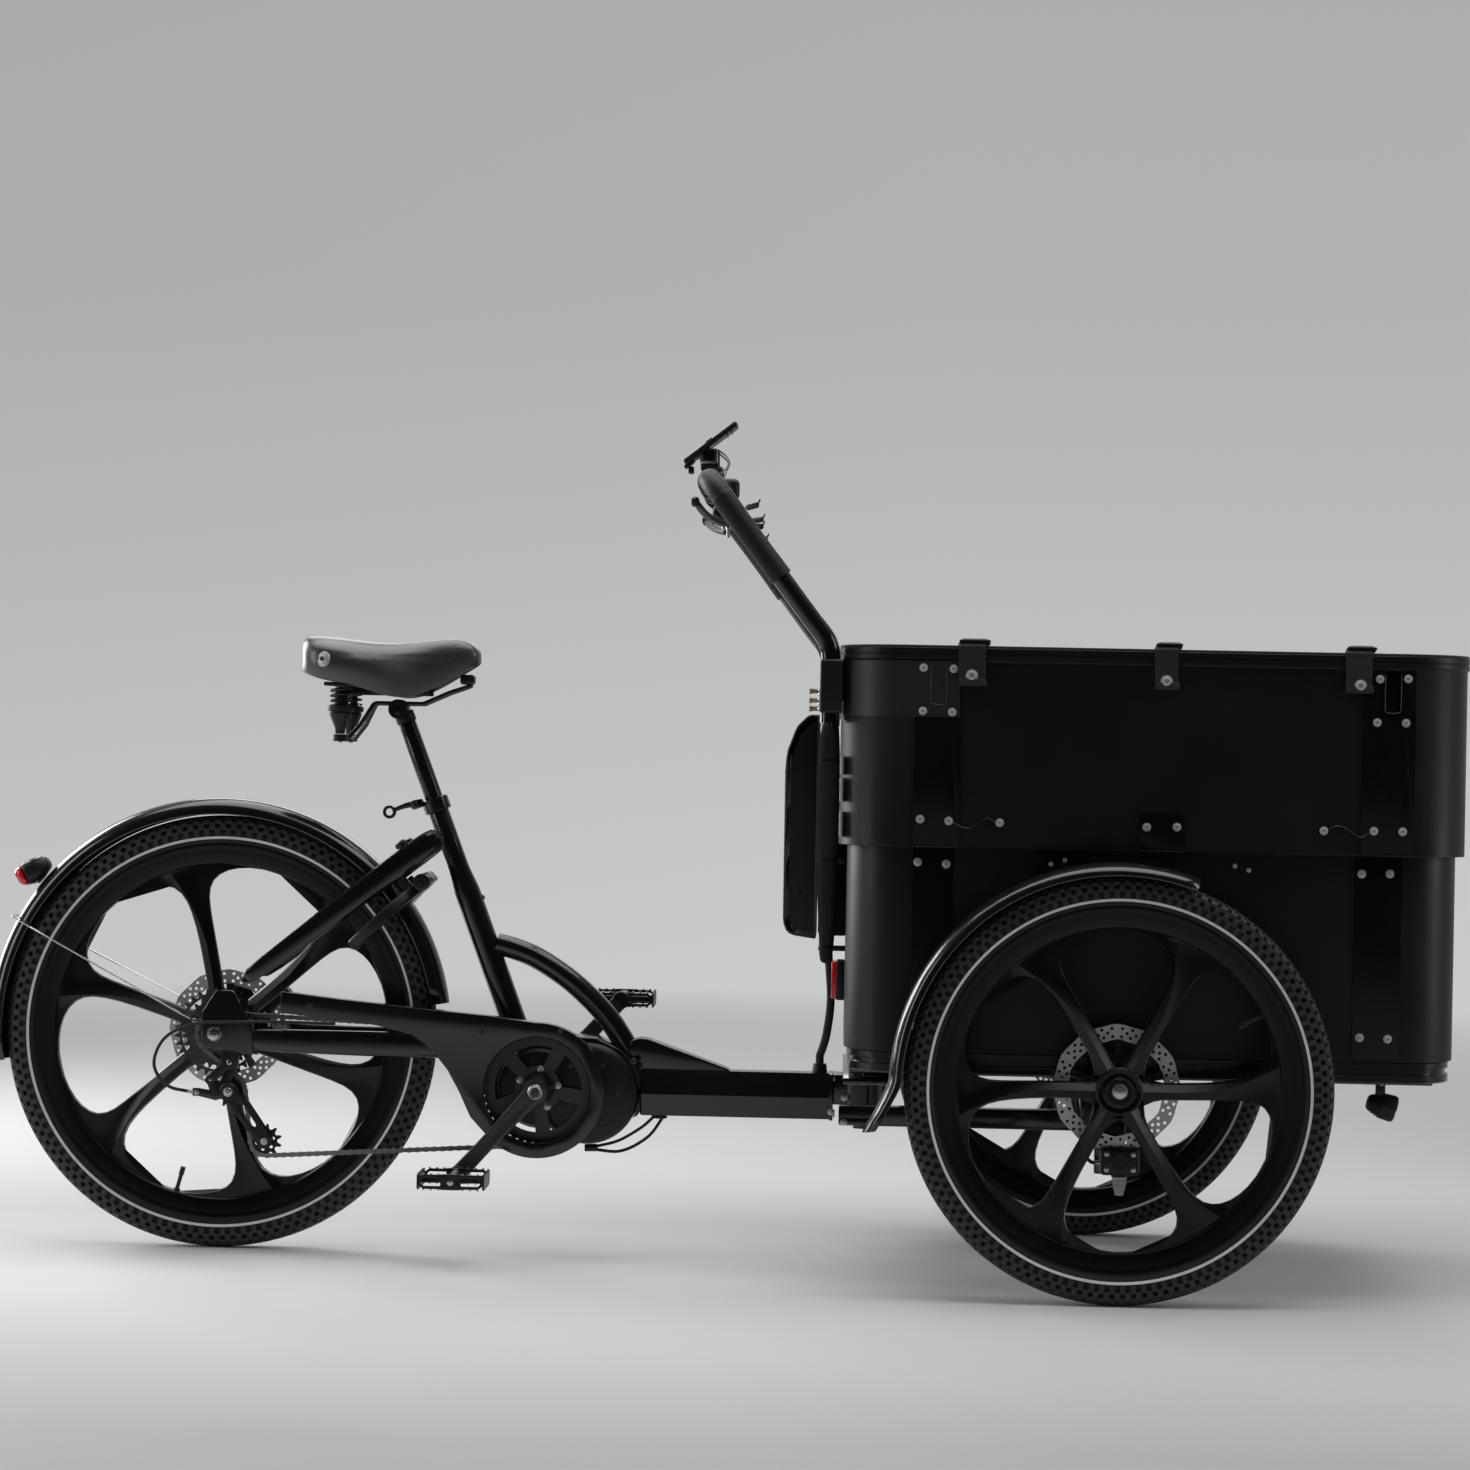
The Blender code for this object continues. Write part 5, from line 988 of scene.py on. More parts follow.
    def hang_lamps(self) -> None:
        """An overhead softbox, strips at both sides and pale walls behind."""
        aim = Vector((0.0, 0.0, 0.5))
        for name, place, size, power in (("softbox", (0.1, 0.15, 3.6), (4.8, 3.0), 122.0),
                                         ("strip_rear", (-3.4, -1.3, 1.5), (0.7, 2.6), 24.0),
                                         ("wall_rear", (-2.9, 1.8, 1.5), (1.5, 2.2), 85.0),
                                         ("strip_front", (3.6, -0.9, 1.5), (0.7, 2.6), 22.0),
                                         ("backlight", (0.0, 4.6, 2.8), (4.0, 1.4), 45.0)):
            lamp = bpy.data.lights.new(name, "AREA")
            lamp.shape, lamp.size, lamp.size_y, lamp.energy = "RECTANGLE", *size, power
            obj = bpy.data.objects.new(name, lamp)
            bpy.context.scene.collection.objects.link(obj)
            turn = (Vector(place) - aim).to_track_quat("Z", "Y").to_matrix().to_4x4()
            obj.matrix_world = Matrix.Translation(place) @ turn


@dataclass
class Wheel:
    """Moulded six-spoke wheel with its brake rotor and striped tyre."""

    label: str
    body: str
    nodes: tuple[str, str]
    centre: Point
    radius: float
    angle: float
    rotor_y: float
    hub: tuple[float, float]
    spokes: int = 6
    hub_radius: float = 0.034
    rim_depth: float = 0.0755
    flange_depth: float = 0.043
    rotor_radius: float = 0.09
    tread_pitches: int = 118
    valve_angle: float = 29.0

    def build(self) -> None:
        """Makes wheel and tyre."""
        wheel = joined(f"{self.label}_moulding", [self.rim(), *self.arms(), self.barrel(), self.valve()])
        carried(wheel, self.body, "wheel", self.nodes[0])
        carried(self.rotor(), self.body, "steel", self.nodes[0])
        carried(self.caps(), self.body, "steel", self.nodes[0])
        tyre = joined(f"{self.label}_casing", [self.casing(), self.tread()])
        carried(tyre, self.body, "tyre", self.nodes[1])
        carried(self.stripes(), self.body, "tyre", self.nodes[1])

    def at(self, radius: float, angle: float, across: float) -> Vector:
        """A point by radius, angle and place along the axle."""
        return Vector(self.centre) + Vector((radius * math.cos(angle), across, radius * math.sin(angle)))

    def rim(self) -> Piece:
        """The hollow rim with its flanges."""
        flange, well = self.radius - self.flange_depth, self.radius - self.rim_depth
        half = [(flange - 0.003, 0.0118), (flange + 0.0012, 0.0122), (flange + 0.0026, 0.014),
                (flange + 0.0012, 0.0156), (flange - 0.003, 0.016), (flange - 0.006, 0.015),
                (flange - 0.011, 0.0146), (well + 0.01, 0.0132), (well + 0.003, 0.0112),
                (well + 0.0006, 0.008), (well, 0.003)]
        profile = half + [(r, -y) for r, y in half[::-1]]
        return lathe("rim", profile, self.centre, "wheel_black", 120, ring=True, angle=28.0)

    def arms(self) -> list[Piece]:
        """Spokes with a raised crest, flaring into hub and rim."""
        inner, outer = 0.045, self.radius - self.rim_depth + 0.0005
        reaches = (-0.08, -0.055, -0.03, 0.0, 0.035, 0.1, 0.25, 0.42, 0.56, 0.67, 0.76, 0.83, 0.885, 0.925,
                   0.955, 0.976, 0.99, 0.998, 1.02)
        rings = []
        for reach in reaches:
            radius, share = inner + (outer - inner) * reach, clamped(reach)
            spoke = 0.024 + 0.022 * share**4
            half = (math.pi / self.spokes
                    - math.asin(min(spoke / 2 / radius, 0.49))) * math.sqrt(1 - share**12)
            width = radius * (math.pi / self.spokes - half) + 0.02 * max(0.0, 0.1 - reach) ** 2 / 0.03
            crest = 0.06 * max(0.0, share - 0.4) ** 1.5
            high = 0.0165 - 0.006 * share
            edge = 0.0065 - 0.001 * share
            upper = [(-width, edge * 0.6)]
            for place in (-1.0, -0.75, -0.5, -0.25, 0.0, 0.25, 0.5, 0.75, 1.0):
                across = crest + (place * (width - 0.002 - crest) if place > 0 else place
                                  * (width - 0.002 + crest))
                upper.append((across, edge + (high - edge) * max(0.0, 1 - abs(across - crest) / 0.0125)))
            upper.append((width, edge * 0.6))
            section = upper + [(across, -axial) for across, axial in upper[::-1]]
            rings.append([self.at(radius, self.angle + across / radius + math.radians(3) * share**2, axial)
                          for across, axial in section])
        first = sleeve("arm", rings, "wheel_black", angle=24.0)
        middle = Vector(self.centre)
        turns = [Matrix.Translation(middle) @ Matrix.Rotation(2 * math.pi * k / self.spokes, 4, "Y")
                 @ Matrix.Translation(-middle) for k in range(1, self.spokes)]
        return [first, *[copied(first, turn) for turn in turns]]

    def barrel(self) -> Piece:
        """Hub body with its bearing seats."""
        low, high = self.hub
        radius = self.hub_radius
        profile = [(0.011, low), (0.0185, low), (0.0195, low + 0.001), (0.02, low + 0.006),
                   (0.0245, low + 0.0075), (radius - 0.003, -0.017), (radius, -0.015), (radius, 0.015),
                   (radius - 0.003, 0.017), (0.0245, high - 0.0075), (0.02, high - 0.006),
                   (0.0195, high - 0.001), (0.0185, high), (0.011, high)]
        return lathe("barrel", profile, self.centre, "wheel_black", 48, ring=True)

    def caps(self) -> Piece:
        """Axle ends: a domed cap and nut on each side of the hub."""
        pieces = []
        for side, reach in ((RIGHT, self.hub[0]), (LEFT, self.hub[1])):
            face = abs(reach)
            profile = [(0.0105, face - 0.006), (0.0105, face + 0.0006), (0.009, face + 0.0015),
                       (0.0068, face + 0.0018)]
            ring = lathe("cap", profile, self.centre, "brushed_steel", 32, Y * side)
            pieces.append(ring)
        return joined(f"{self.label}_axle_caps", pieces)

    def valve(self) -> Piece:
        """Valve stem with its cap."""
        angle = math.radians(self.valve_angle)
        root, tip = self.radius - self.rim_depth + 0.004, self.radius - self.rim_depth - 0.034
        stem = rod("valve", self.at(root, angle, 0), self.at(tip, angle, 0), 0.0032, "cable_rubber", 12)
        cap = rod("valve_cap", self.at(tip + 0.01, angle, 0), self.at(tip - 0.003, angle, 0), 0.0042,
                  "moulded_black", 8)
        foot = rod("valve_nut", self.at(root - 0.002, angle, 0), self.at(root - 0.007, angle, 0), 0.0055,
                   "moulded_black", 6)
        return joined("valve", [stem, cap, foot])

    def rotor(self) -> Piece:
        """Perforated steel rotor on a five-armed spider."""
        steel = TurnedSteel(f"rotor_steel_{self.label}", (0.5, 0.49, 0.465), (0.64, 0.625, 0.6),
                            (0.26, 0.38), Grain.BRUSHED, 900.0, 0.00003, metallic=0.55, axle=self.centre)
        PALETTE.add(steel)
        wedge = 2 * math.pi / 12
        band = [(self.rotor_radius, a)
                for a in (0, 0.25, 0.5, 0.75, 1)] + [(0.068, a) for a in (1, 0.75, 0.5, 0.25, 0)]
        outline = []
        for radius, share in band:
            wave = 0.0012 * math.cos(2 * math.pi * share)
            outline.append((math.cos(wedge * share) * (radius + wave), math.sin(wedge * share)
                            * (radius + wave)))
        holes = []
        for radius, shares in ((0.0845, (0.18, 0.51, 0.84)), (0.0788, (0.02, 0.34, 0.67, 0.98)),
                               (0.0732, (0.18, 0.51, 0.84))):
            for share in shares:
                if 0.05 < share < 0.95:
                    turn = wedge * share
                    holes.append(arc(radius * math.cos(turn), radius * math.sin(turn), 0.0024, 0, 324, 9))
        place = Matrix.Translation(Vector(self.centre) + Y
                                   * self.rotor_y) @ Matrix.Rotation(math.pi / 2, 4, "X")
        piece = slab("rotor_band", outline, 0.0018, place, steel.name, 0.0, holes)
        ringed(piece, 12, self.centre)
        pick(piece)
        bpy.ops.object.mode_set(mode="EDIT")
        bpy.ops.mesh.select_all(action="SELECT")
        bpy.ops.mesh.remove_doubles(threshold=1e-5)
        bpy.ops.object.mode_set(mode="OBJECT")
        arm = [(-0.007, 0.02), (0.007, 0.02), (0.0045, 0.045), (0.0085, 0.0695), (-0.0045, 0.0695),
               (-0.0045, 0.045)]
        spider = ringed(slab("rotor_arm", arm, 0.0018, place, "dark_steel", 0.0002), 5, self.centre)
        middle = lathe("rotor_middle", mirrored([(0.0195, -0.0022), (0.025, -0.0022)]), Vector(self.centre)
                       + Y * self.rotor_y, "dark_steel", 40, ring=True)
        bolt = rod("rotor_bolt", self.at(0.0222, 0.3, self.rotor_y - 0.0038),
                   self.at(0.0222, 0.3, self.rotor_y + 0.0038), 0.0026, "chromed_steel", 10, 0.0003)
        return joined(f"{self.label}_rotor", [piece, spider, middle, ringed(bolt, 6, self.centre)])

    def casing(self) -> Piece:
        """Tyre carcass with its bead."""
        top, bead = self.radius, self.radius - self.flange_depth
        half = [(top - 0.0048, 0.0), (top - 0.0052, 0.008), (top - 0.0074, 0.013), (top - 0.012, 0.0172),
                (top - 0.017, 0.0196), (top - 0.023, 0.0214), (top - 0.03, 0.0224), (top - 0.0355, 0.0205),
                (top - 0.04, 0.0172), (bead + 0.0002, 0.015), (bead - 0.003, 0.012)]
        profile = half + [(r, -y) for r, y in half[:0:-1]]
        return lathe("casing", profile, self.centre, "tyre_rubber_painted_shade", 144, ring=True, angle=60.0)

    def tread(self) -> Piece:
        """Rows of tread blocks."""
        top = self.radius
        step = 2 * math.pi / self.tread_pitches
        blocks = []
        for low, high, drops, shift, long in ((0.0008, 0.006, (0.0, 0.0006), 0.0, 0.36),
                                              (0.0085, 0.014, (0.001, 0.0032), 0.5, 0.4),
                                              (0.0155, 0.0214, (0.0036, 0.008), 0.12, 0.3),
                                              (0.0218, 0.0247, (0.0094, 0.0168), 0.62, 0.27),
                                              (0.0244, 0.025, (0.019, 0.0268), 0.12, 0.24)):
            for side in SIDES:
                lead = shift + (0.5 if side == LEFT else 0.0)
                corners = []
                for across, drop in ((low, drops[0]), (high, drops[1])):
                    for deep in (0.0, 0.005):
                        corners.append((across * side, top - drop - deep))
                rings = []
                for share in (lead - long, lead + long):
                    ring = [self.at(r, step * share, y)
                            for y, r in (corners[0], corners[2], corners[3], corners[1])]
                    rings.append(ring)
                blocks.append(sleeve("block", rings, "tread_rubber_painted_highlight", angle=30.0))
        return ringed(joined("tread", blocks), self.tread_pitches, self.centre)

    def stripes(self) -> Piece:
        """Pale reflecting stripe on each side wall."""
        top = self.radius
        pieces = []
        for side in SIDES:
            profile = [(top - 0.0318, 0.0222), (top - 0.0319, 0.0231), (top - 0.0338, 0.0225),
                       (top - 0.0357, 0.021), (top - 0.0356, 0.02)]
            pieces.append(lathe("stripe", profile, self.centre, "pale_stripe", 144, Y * side))
        return joined(f"{self.label}_stripes", pieces)


def hex_bolt(name: str, place: object, axis: Vector, radius: float, height: float, finish: str) -> Piece:
    """A button-head screw with a hexagon socket, on a thin washer.

    Args:
        name: Its name.
        place: Where its head sits.
        axis: The way that its head faces.
        radius: Radius of its head.
        height: Height of its head.
        finish: The name of its finish.

    Returns:
        The piece.
    """
    profile = [(radius * 1.28, 0.0), (radius * 1.28, 0.0005), (radius, 0.0006),
               (radius * 0.98, height * 0.45), (radius * 0.8, height * 0.85), (radius * 0.5, height),
               (radius * 0.46, height * 0.5), (0.0, height * 0.45)]
    return lathe(name, profile, place, finish, 12, axis)


def ledge_route(points: list, radii: object, steps: int = 6) -> list[Vector]:
    """A route through points whose corners are rounded by arcs of these radii.

    Args:
        points: The corners.
        radii: A radius for all corners, or one for each.
        steps: Steps round a corner.

    Returns:
        The route's points.
    """
    points = [Vector(point) for point in points]
    inner = points[1:-1]
    sizes = list(radii) if isinstance(radii, (list, tuple)) else [radii] * len(inner)
    route = [points[0]]
    for before, corner, after, radius in zip(points, inner, points[2:], sizes):
        one, two = (before - corner).normalized(), (after - corner).normalized()
        half = one.angle(two) / 2
        reach = radius / math.tan(half)
        middle = corner + (one + two).normalized() * (radius / math.sin(half))
        start, end = corner + one * reach - middle, corner + two * reach - middle
        sweep = start.angle(end)
        for k in range(steps + 1):
            share = k / steps
            point = start * math.sin((1 - share) * sweep) + end * math.sin(share * sweep)
            route.append(middle + point / math.sin(sweep))
    return [*route, points[-1]]


@dataclass
class CargoBox:
    """The box: gloss base ring, lower and upper panels, bolted straps, hinges, slots and clips."""

    body: str = "front_module"
    x_range: tuple[float, float] = (0.205, 1.087)
    half_width: float = 0.31
    corner: float = 0.085
    floor_z: float = 0.345
    step_z: float = 0.64
    top_z: float = 0.9265
    overhang: float = 0.013
    wall: float = 0.006
    strap_spans: tuple = ((0.302, 0.36), (0.941, 1.008))
    upper_bolts: tuple = ((0.309, 0.897), (0.352, 0.896), (0.309, 0.835), (0.351, 0.834), (0.96, 0.893),
                          (1.0, 0.894), (0.957, 0.831), (0.998, 0.831), (0.308, 0.68), (0.349, 0.678),
                          (0.422, 0.677), (0.632, 0.675), (0.675, 0.676), (0.884, 0.675), (0.955, 0.676),
                          (0.996, 0.676))
    strap_bolts: tuple = ((0.378, 0.887), (0.656, 0.884), (0.932, 0.883))
    lower_bolts: tuple = ((0.306, 0.618), (0.347, 0.616), (0.941, 0.614), (0.981, 0.615), (0.942, 0.38),
                          (0.982, 0.379), (0.306, 0.382), (0.346, 0.381))
    rivets: tuple = ((0.497, 0.619), (0.517, 0.625), (0.76, 0.622), (0.78, 0.616))

    def build(self) -> None:
        """Makes the box and all that is bolted to it."""
        carried(self.upper_panels(), self.body, "panel", "box_upper")
        carried(self.lower_panels(), self.body, "panel", "box_lower")
        carried(self.base_ring(), self.body, "frame_paint", "box_base")
        carried(self.floor_sheet(), self.body, "panel", "box_lower")
        carried(self.straps(), self.body, "panel", "box_upper")
        carried(self.fasteners(), self.body, "steel", "box_upper", "box_lower")
        carried(self.bright_trim(), self.body, "steel", "box_upper")
        carried(self.rear_band(), self.body, "steel", "handlebar_bracket")

    def outline(self, grow: float, steps: int = 10) -> list[tuple[float, float]]:
        """Plan outline, grown outwards.

        Args:
            grow: How far it is grown.
            steps: Steps round a corner.

        Returns:
            The outline's points.
        """
        low, high = self.x_range
        return rounded_outline((low - grow, -self.half_width - grow), (high + grow, self.half_width + grow),
                               self.corner + grow, steps)

    def ring(self, name: str, section: list, finish: str, angle: float = 30.0) -> Piece:
        """A band round the box from a closed section of (growth, height) points.

        Args:
            name: Its name.
            section: The section's points.
            finish: The name of its finish.
            angle: Edges sharper than this, in degrees, stay sharp.

        Returns:
            The piece.
        """
        rings = [[Vector((x, y, z)) for x, y in self.outline(grow)] for grow, z in [*section, section[0]]]
        obj = sleeve(name, rings, finish, caps=False, angle=angle)
        weld(obj)
        return settle(obj, name, finish, angle)

    def upper_panels(self) -> Piece:
        """Upper panels with a rolled lower edge, a rim bead and the slots."""
        wall, thick, top = self.overhang, self.wall, self.top_z
        section = [(wall - 0.0006, self.step_z), (wall, self.step_z + 0.0008), (wall, 0.906),
                   (wall + 0.0008, 0.908), (wall + 0.0028, 0.9092), (wall + 0.003, 0.9105),
                   (wall + 0.003, 0.9155), (wall + 0.0019, 0.9163), (wall + 0.0019, 0.9172),
                   (wall + 0.003, 0.918), (wall + 0.003, top - 0.001), (wall + 0.0022, top),
                   (wall - thick, top), (wall - thick, self.step_z + 0.004), (0.0002, self.step_z + 0.004),
                   (0.0002, self.step_z)]
        shell = self.ring("upper_panels", section, "satin_black_panel")
        for side in SIDES:
            for x in (0.331, 0.979):
                slot = rounded_outline((x - 0.011, 0.845), (x + 0.011, 0.9055), 0.006, 4)
                place = side_plane(side * (self.half_width + self.overhang))
                carve(shell, slab("slot", slot, 0.05, place, "satin_black_panel", 0.0))
        return settle(shell, "box_upper_panels", "satin_black_panel", 30.0)

    def lower_panels(self) -> Piece:
        """Lower panels with the battery dock behind."""
        thick = self.wall
        section = [(-0.0008, self.floor_z + 0.0002), (0.0, self.floor_z + 0.001),
                   (0.0, self.step_z + 0.0035), (-0.001, self.step_z + 0.025),
                   (-thick, self.step_z + 0.025), (-thick, self.floor_z + 0.0002)]
        shell = self.ring("lower_panels", section, "satin_black_panel")
        foot = block("dock_foot", (0.1855, 0, 0.566), (0.041, 0.07, 0.14), "moulded_black", 0.004)
        rail = block("dock_rail", (0.17, 0, 0.65), (0.01, 0.07, 0.308), "moulded_black", 0.003)
        lips = [block("dock_lip", (0.17, side * 0.03, 0.65), (0.014, 0.004, 0.3), "moulded_black", 0.0012)
                for side in SIDES]
        return joined("box_lower_panels", [shell, foot, rail, *lips])

    def base_ring(self) -> Piece:
        """Gloss base tray with its groove, the rails below it and the lamp's tab."""
        low = self.floor_z
        section = [(-0.0065, 0.3145), (-0.005, 0.316), (-0.005, 0.3262), (-0.006, 0.3272),
                   (-0.0092, 0.3275), (-0.0092, 0.3337), (-0.006, 0.334), (-0.005, 0.335),
                   (-0.005, low - 0.0016), (-0.0064, low - 0.0003), (-0.014, low - 0.0003),
                   (-0.014, 0.3145)]
        shell = self.ring("base_ring", section, "gloss_black_paint", 34.0)
        pan = slab("pan", self.outline(-0.0135), 0.005, Matrix.Translation((0, 0, low - 0.0033)),
                   "gloss_black_paint", 0)
        rails = []
        for side in SIDES:
            rails.append(block("rail", (0.64, side * 0.19, 0.31), (0.85, 0.03, 0.012), "gloss_black_paint",
                               0.002))
            rails.append(block("web", (0.64, side * 0.19, 0.3275), (0.842, 0.006, 0.031),
                               "gloss_black_paint", 0.001))
        tab = slab("tab", [(0.996, 0.297), (1.01, 0.297), (1.01, 0.343), (0.996, 0.343)], 0.008,
                   side_plane(-0.12), "gloss_black_paint", 0.001)
        return joined("box_base_ring", [shell, pan, *rails, tab])

    def floor_sheet(self) -> Piece:
        """The box's floor: a ribbed tray sheet."""
        sheet = slab("floor_sheet", self.outline(-self.wall - 0.0003), 0.0072,
                     Matrix.Translation((0, 0, 0.3489)), "tray_grey", 0.0006)
        ribs = [block("rib", (x, 0, 0.3527), (0.012, 0.52, 0.0006), "tray_grey", 0.0002)
                for x in (0.34, 0.46, 0.58, 0.7, 0.82, 0.94)]
        return joined("box_floor_sheet", [sheet, *ribs])

    def straps(self) -> Piece:
        """Bolted cover plates over the panels' joints, the plates at the middle, and dark liners behind the
        slots that paint in the shade of the box's inside.
        """
        pieces = []
        for side in SIDES:
            upper, lower = side * (self.half_width + self.overhang), side * self.half_width
            for low, high in self.strap_spans:
                shift = -0.01 if low > 0.6 else -0.003
                left, right = low - 0.004, high + 0.004
                slot_x = (0.331 if low < 0.6 else 0.979)
                plate = [(left, 0.6435), (right, 0.6435), (right, 0.9055), (left, 0.9055)]
                cut = rounded_outline((slot_x - 0.0125, 0.8435), (slot_x + 0.0125, 0.9075), 0.006, 4)
                pieces.append(slab("strap", plate, 0.0022, side_plane(upper + side * 0.0008),
                                   "gloss_black_plate", 0.0006, [cut]))
                plate = [(low + shift, 0.349), (high + shift, 0.349), (high + shift, 0.6385),
                         (low + shift, 0.6385)]
                pieces.append(slab("strap", plate, 0.0022, side_plane(lower + side * 0.0008),
                                   "gloss_black_plate", 0.0006))
            middle = rounded_outline((0.62, 0.6435), (0.686, 0.695), 0.005, 3)
            pieces.append(slab("strap", middle, 0.0024, side_plane(upper + side * 0.001),
                               "gloss_black_plate", 0.0006))
            small = rounded_outline((0.47, 0.606), (0.545, 0.638), 0.003, 3)
            pieces.append(slab("strap", small, 0.0018, side_plane(lower + side * 0.0006),
                               "gloss_black_plate", 0.0005))
            # Dark liner plates inside the walls behind the slots: painted shade where only the box's dark
            # inside shows.
            for low in (0.316, 0.964):
                slot_shade_liner = [(low, 0.838), (low + 0.03, 0.838), (low + 0.03, 0.91), (low, 0.91)]
                pieces.append(slab("strap", slot_shade_liner, 0.001, side_plane(upper - side * 0.0068),
                                   "gloss_black_plate", 0.0002))
        return joined("box_joint_plates", pieces)

    def fasteners(self) -> Piece:
        """Screws and rivets of the side panels, and four screws in the front wall."""
        bolt = hex_bolt("bolt", (0, 0, 0), Y, 0.0049, 0.0028, "zinc_screw")
        pieces = []
        for side in SIDES:
            turn = Matrix() if side == LEFT else Matrix.Rotation(math.pi, 4, "Z")
            for spots, proud, size in ((self.upper_bolts, self.half_width + self.overhang + 0.002, 1.0),
                                       (self.strap_bolts, self.half_width + self.overhang + 0.0052, 1.45),
                                       (self.lower_bolts, self.half_width + 0.002, 1.0),
                                       (self.rivets, self.half_width + 0.0016, 0.55)):
                for x, z in spots:
                    pieces.append(copied(bolt, Matrix.Translation((x, side * proud, z)) @ turn
                                         @ Matrix.Scale(size, 4)))
        for y in (-0.12, 0.12):
            for z in (0.68, 0.89):
                pieces.append(copied(bolt, Matrix.Translation((1.1002, y, z))
                                     @ Matrix.Rotation(-math.pi / 2, 4, "Z")))
        bpy.data.objects.remove(bolt)
        return joined("box_screws", pieces)

    def bright_trim(self) -> Piece:
        """Wire clips, slot edges, ledge tabs and the hinge plates at the rear."""
        pieces = []
        for side in SIDES:
            y = side * (self.half_width + self.overhang + 0.0026)
            for clip in (((0.356, 0.6755), (0.368, 0.67), (0.38, 0.669), (0.402, 0.683), (0.409, 0.682),
                          (0.416, 0.677)), ((0.89, 0.677), (0.899, 0.682), (0.912, 0.681), (0.934, 0.668),
                                            (0.942, 0.669), (0.95, 0.6755))):
                pieces.append(wire("clip", [(x, y, z) for x, z in clip], 0.0009, "dark_steel", 5, 1))
            for x in (0.331, 0.979):
                edge = [(x - 0.0112, y, 0.9), (x - 0.0112, y, 0.852), (x - 0.007, y, 0.8452),
                        (x + 0.007, y, 0.8452), (x + 0.0112, y, 0.852), (x + 0.0112, y, 0.9)]
                pieces.append(wire("slot_edge", edge, 0.0007, "dark_steel", 3, 1))
            for low, high in (*self.strap_spans, (0.62, 0.686)):
                tab = [(low, 0.6402), (high, 0.6402), (high, 0.6424), (low, 0.6424)]
                pieces.append(slab("ledge", tab, 0.003,
                                   side_plane(side * (self.half_width + self.overhang + 0.0012)),
                                   "dark_steel", 0.0004))
            for low, high in ((0.651, 0.688), (0.702, 0.737), (0.741, 0.768), (0.82, 0.848)):
                hinge = block("hinge", (0.1935, side * 0.262, (low + high) / 2), (0.003, 0.02, high - low),
                              "zinc_screw", 0.0008)
                pieces.append(hinge)
        return joined("box_bright_trim", pieces)

    def rear_band(self) -> Piece:
        """The steel band round the box's rear, with the bar's clamps."""
        grow = self.overhang + 0.0003
        section = [(grow, 0.8262), (grow + 0.0022, 0.8268), (grow + 0.0022, 0.9066), (grow, 0.9072)]
        band = self.ring("band", section, "anodised_corner", 30.0)
        pick(band)
        bpy.ops.object.mode_set(mode="EDIT")
        bpy.ops.mesh.select_all(action="SELECT")
        bpy.ops.mesh.bisect(plane_co=(0.362, 0, 0), plane_no=(1, 0, 0), clear_outer=True, use_fill=True)
        bpy.ops.object.mode_set(mode="OBJECT")
        pieces = [band]
        for side in SIDES:
            jaw = [(0.1605, 0.83), (0.206, 0.83), (0.206, 0.908), (0.1605, 0.908)]
            cap = slab("clamp", jaw, 0.044, side_plane(side * 0.26), "moulded_black", 0.004, segments=3)
            bore = rod("bore", (0.1755, side * 0.26, 0.8), (0.1755, side * 0.26, 0.94), 0.0149,
                       "moulded_black", 32, 0)
            pieces.append(carve(cap, bore, block("trim", (0.234, side * 0.26, 0.87), (0.081, 0.1, 0.2),
                                                 "moulded_black")))
            for z in (0.836, 0.843, 0.85, 0.857, 0.864):
                pieces.append(hex_bolt("clamp_bolt", (0.1612, side * 0.262, z), -X, 0.0028, 0.003,
                                       "chromed_steel"))
        return joined("bar_clamp_band", pieces)


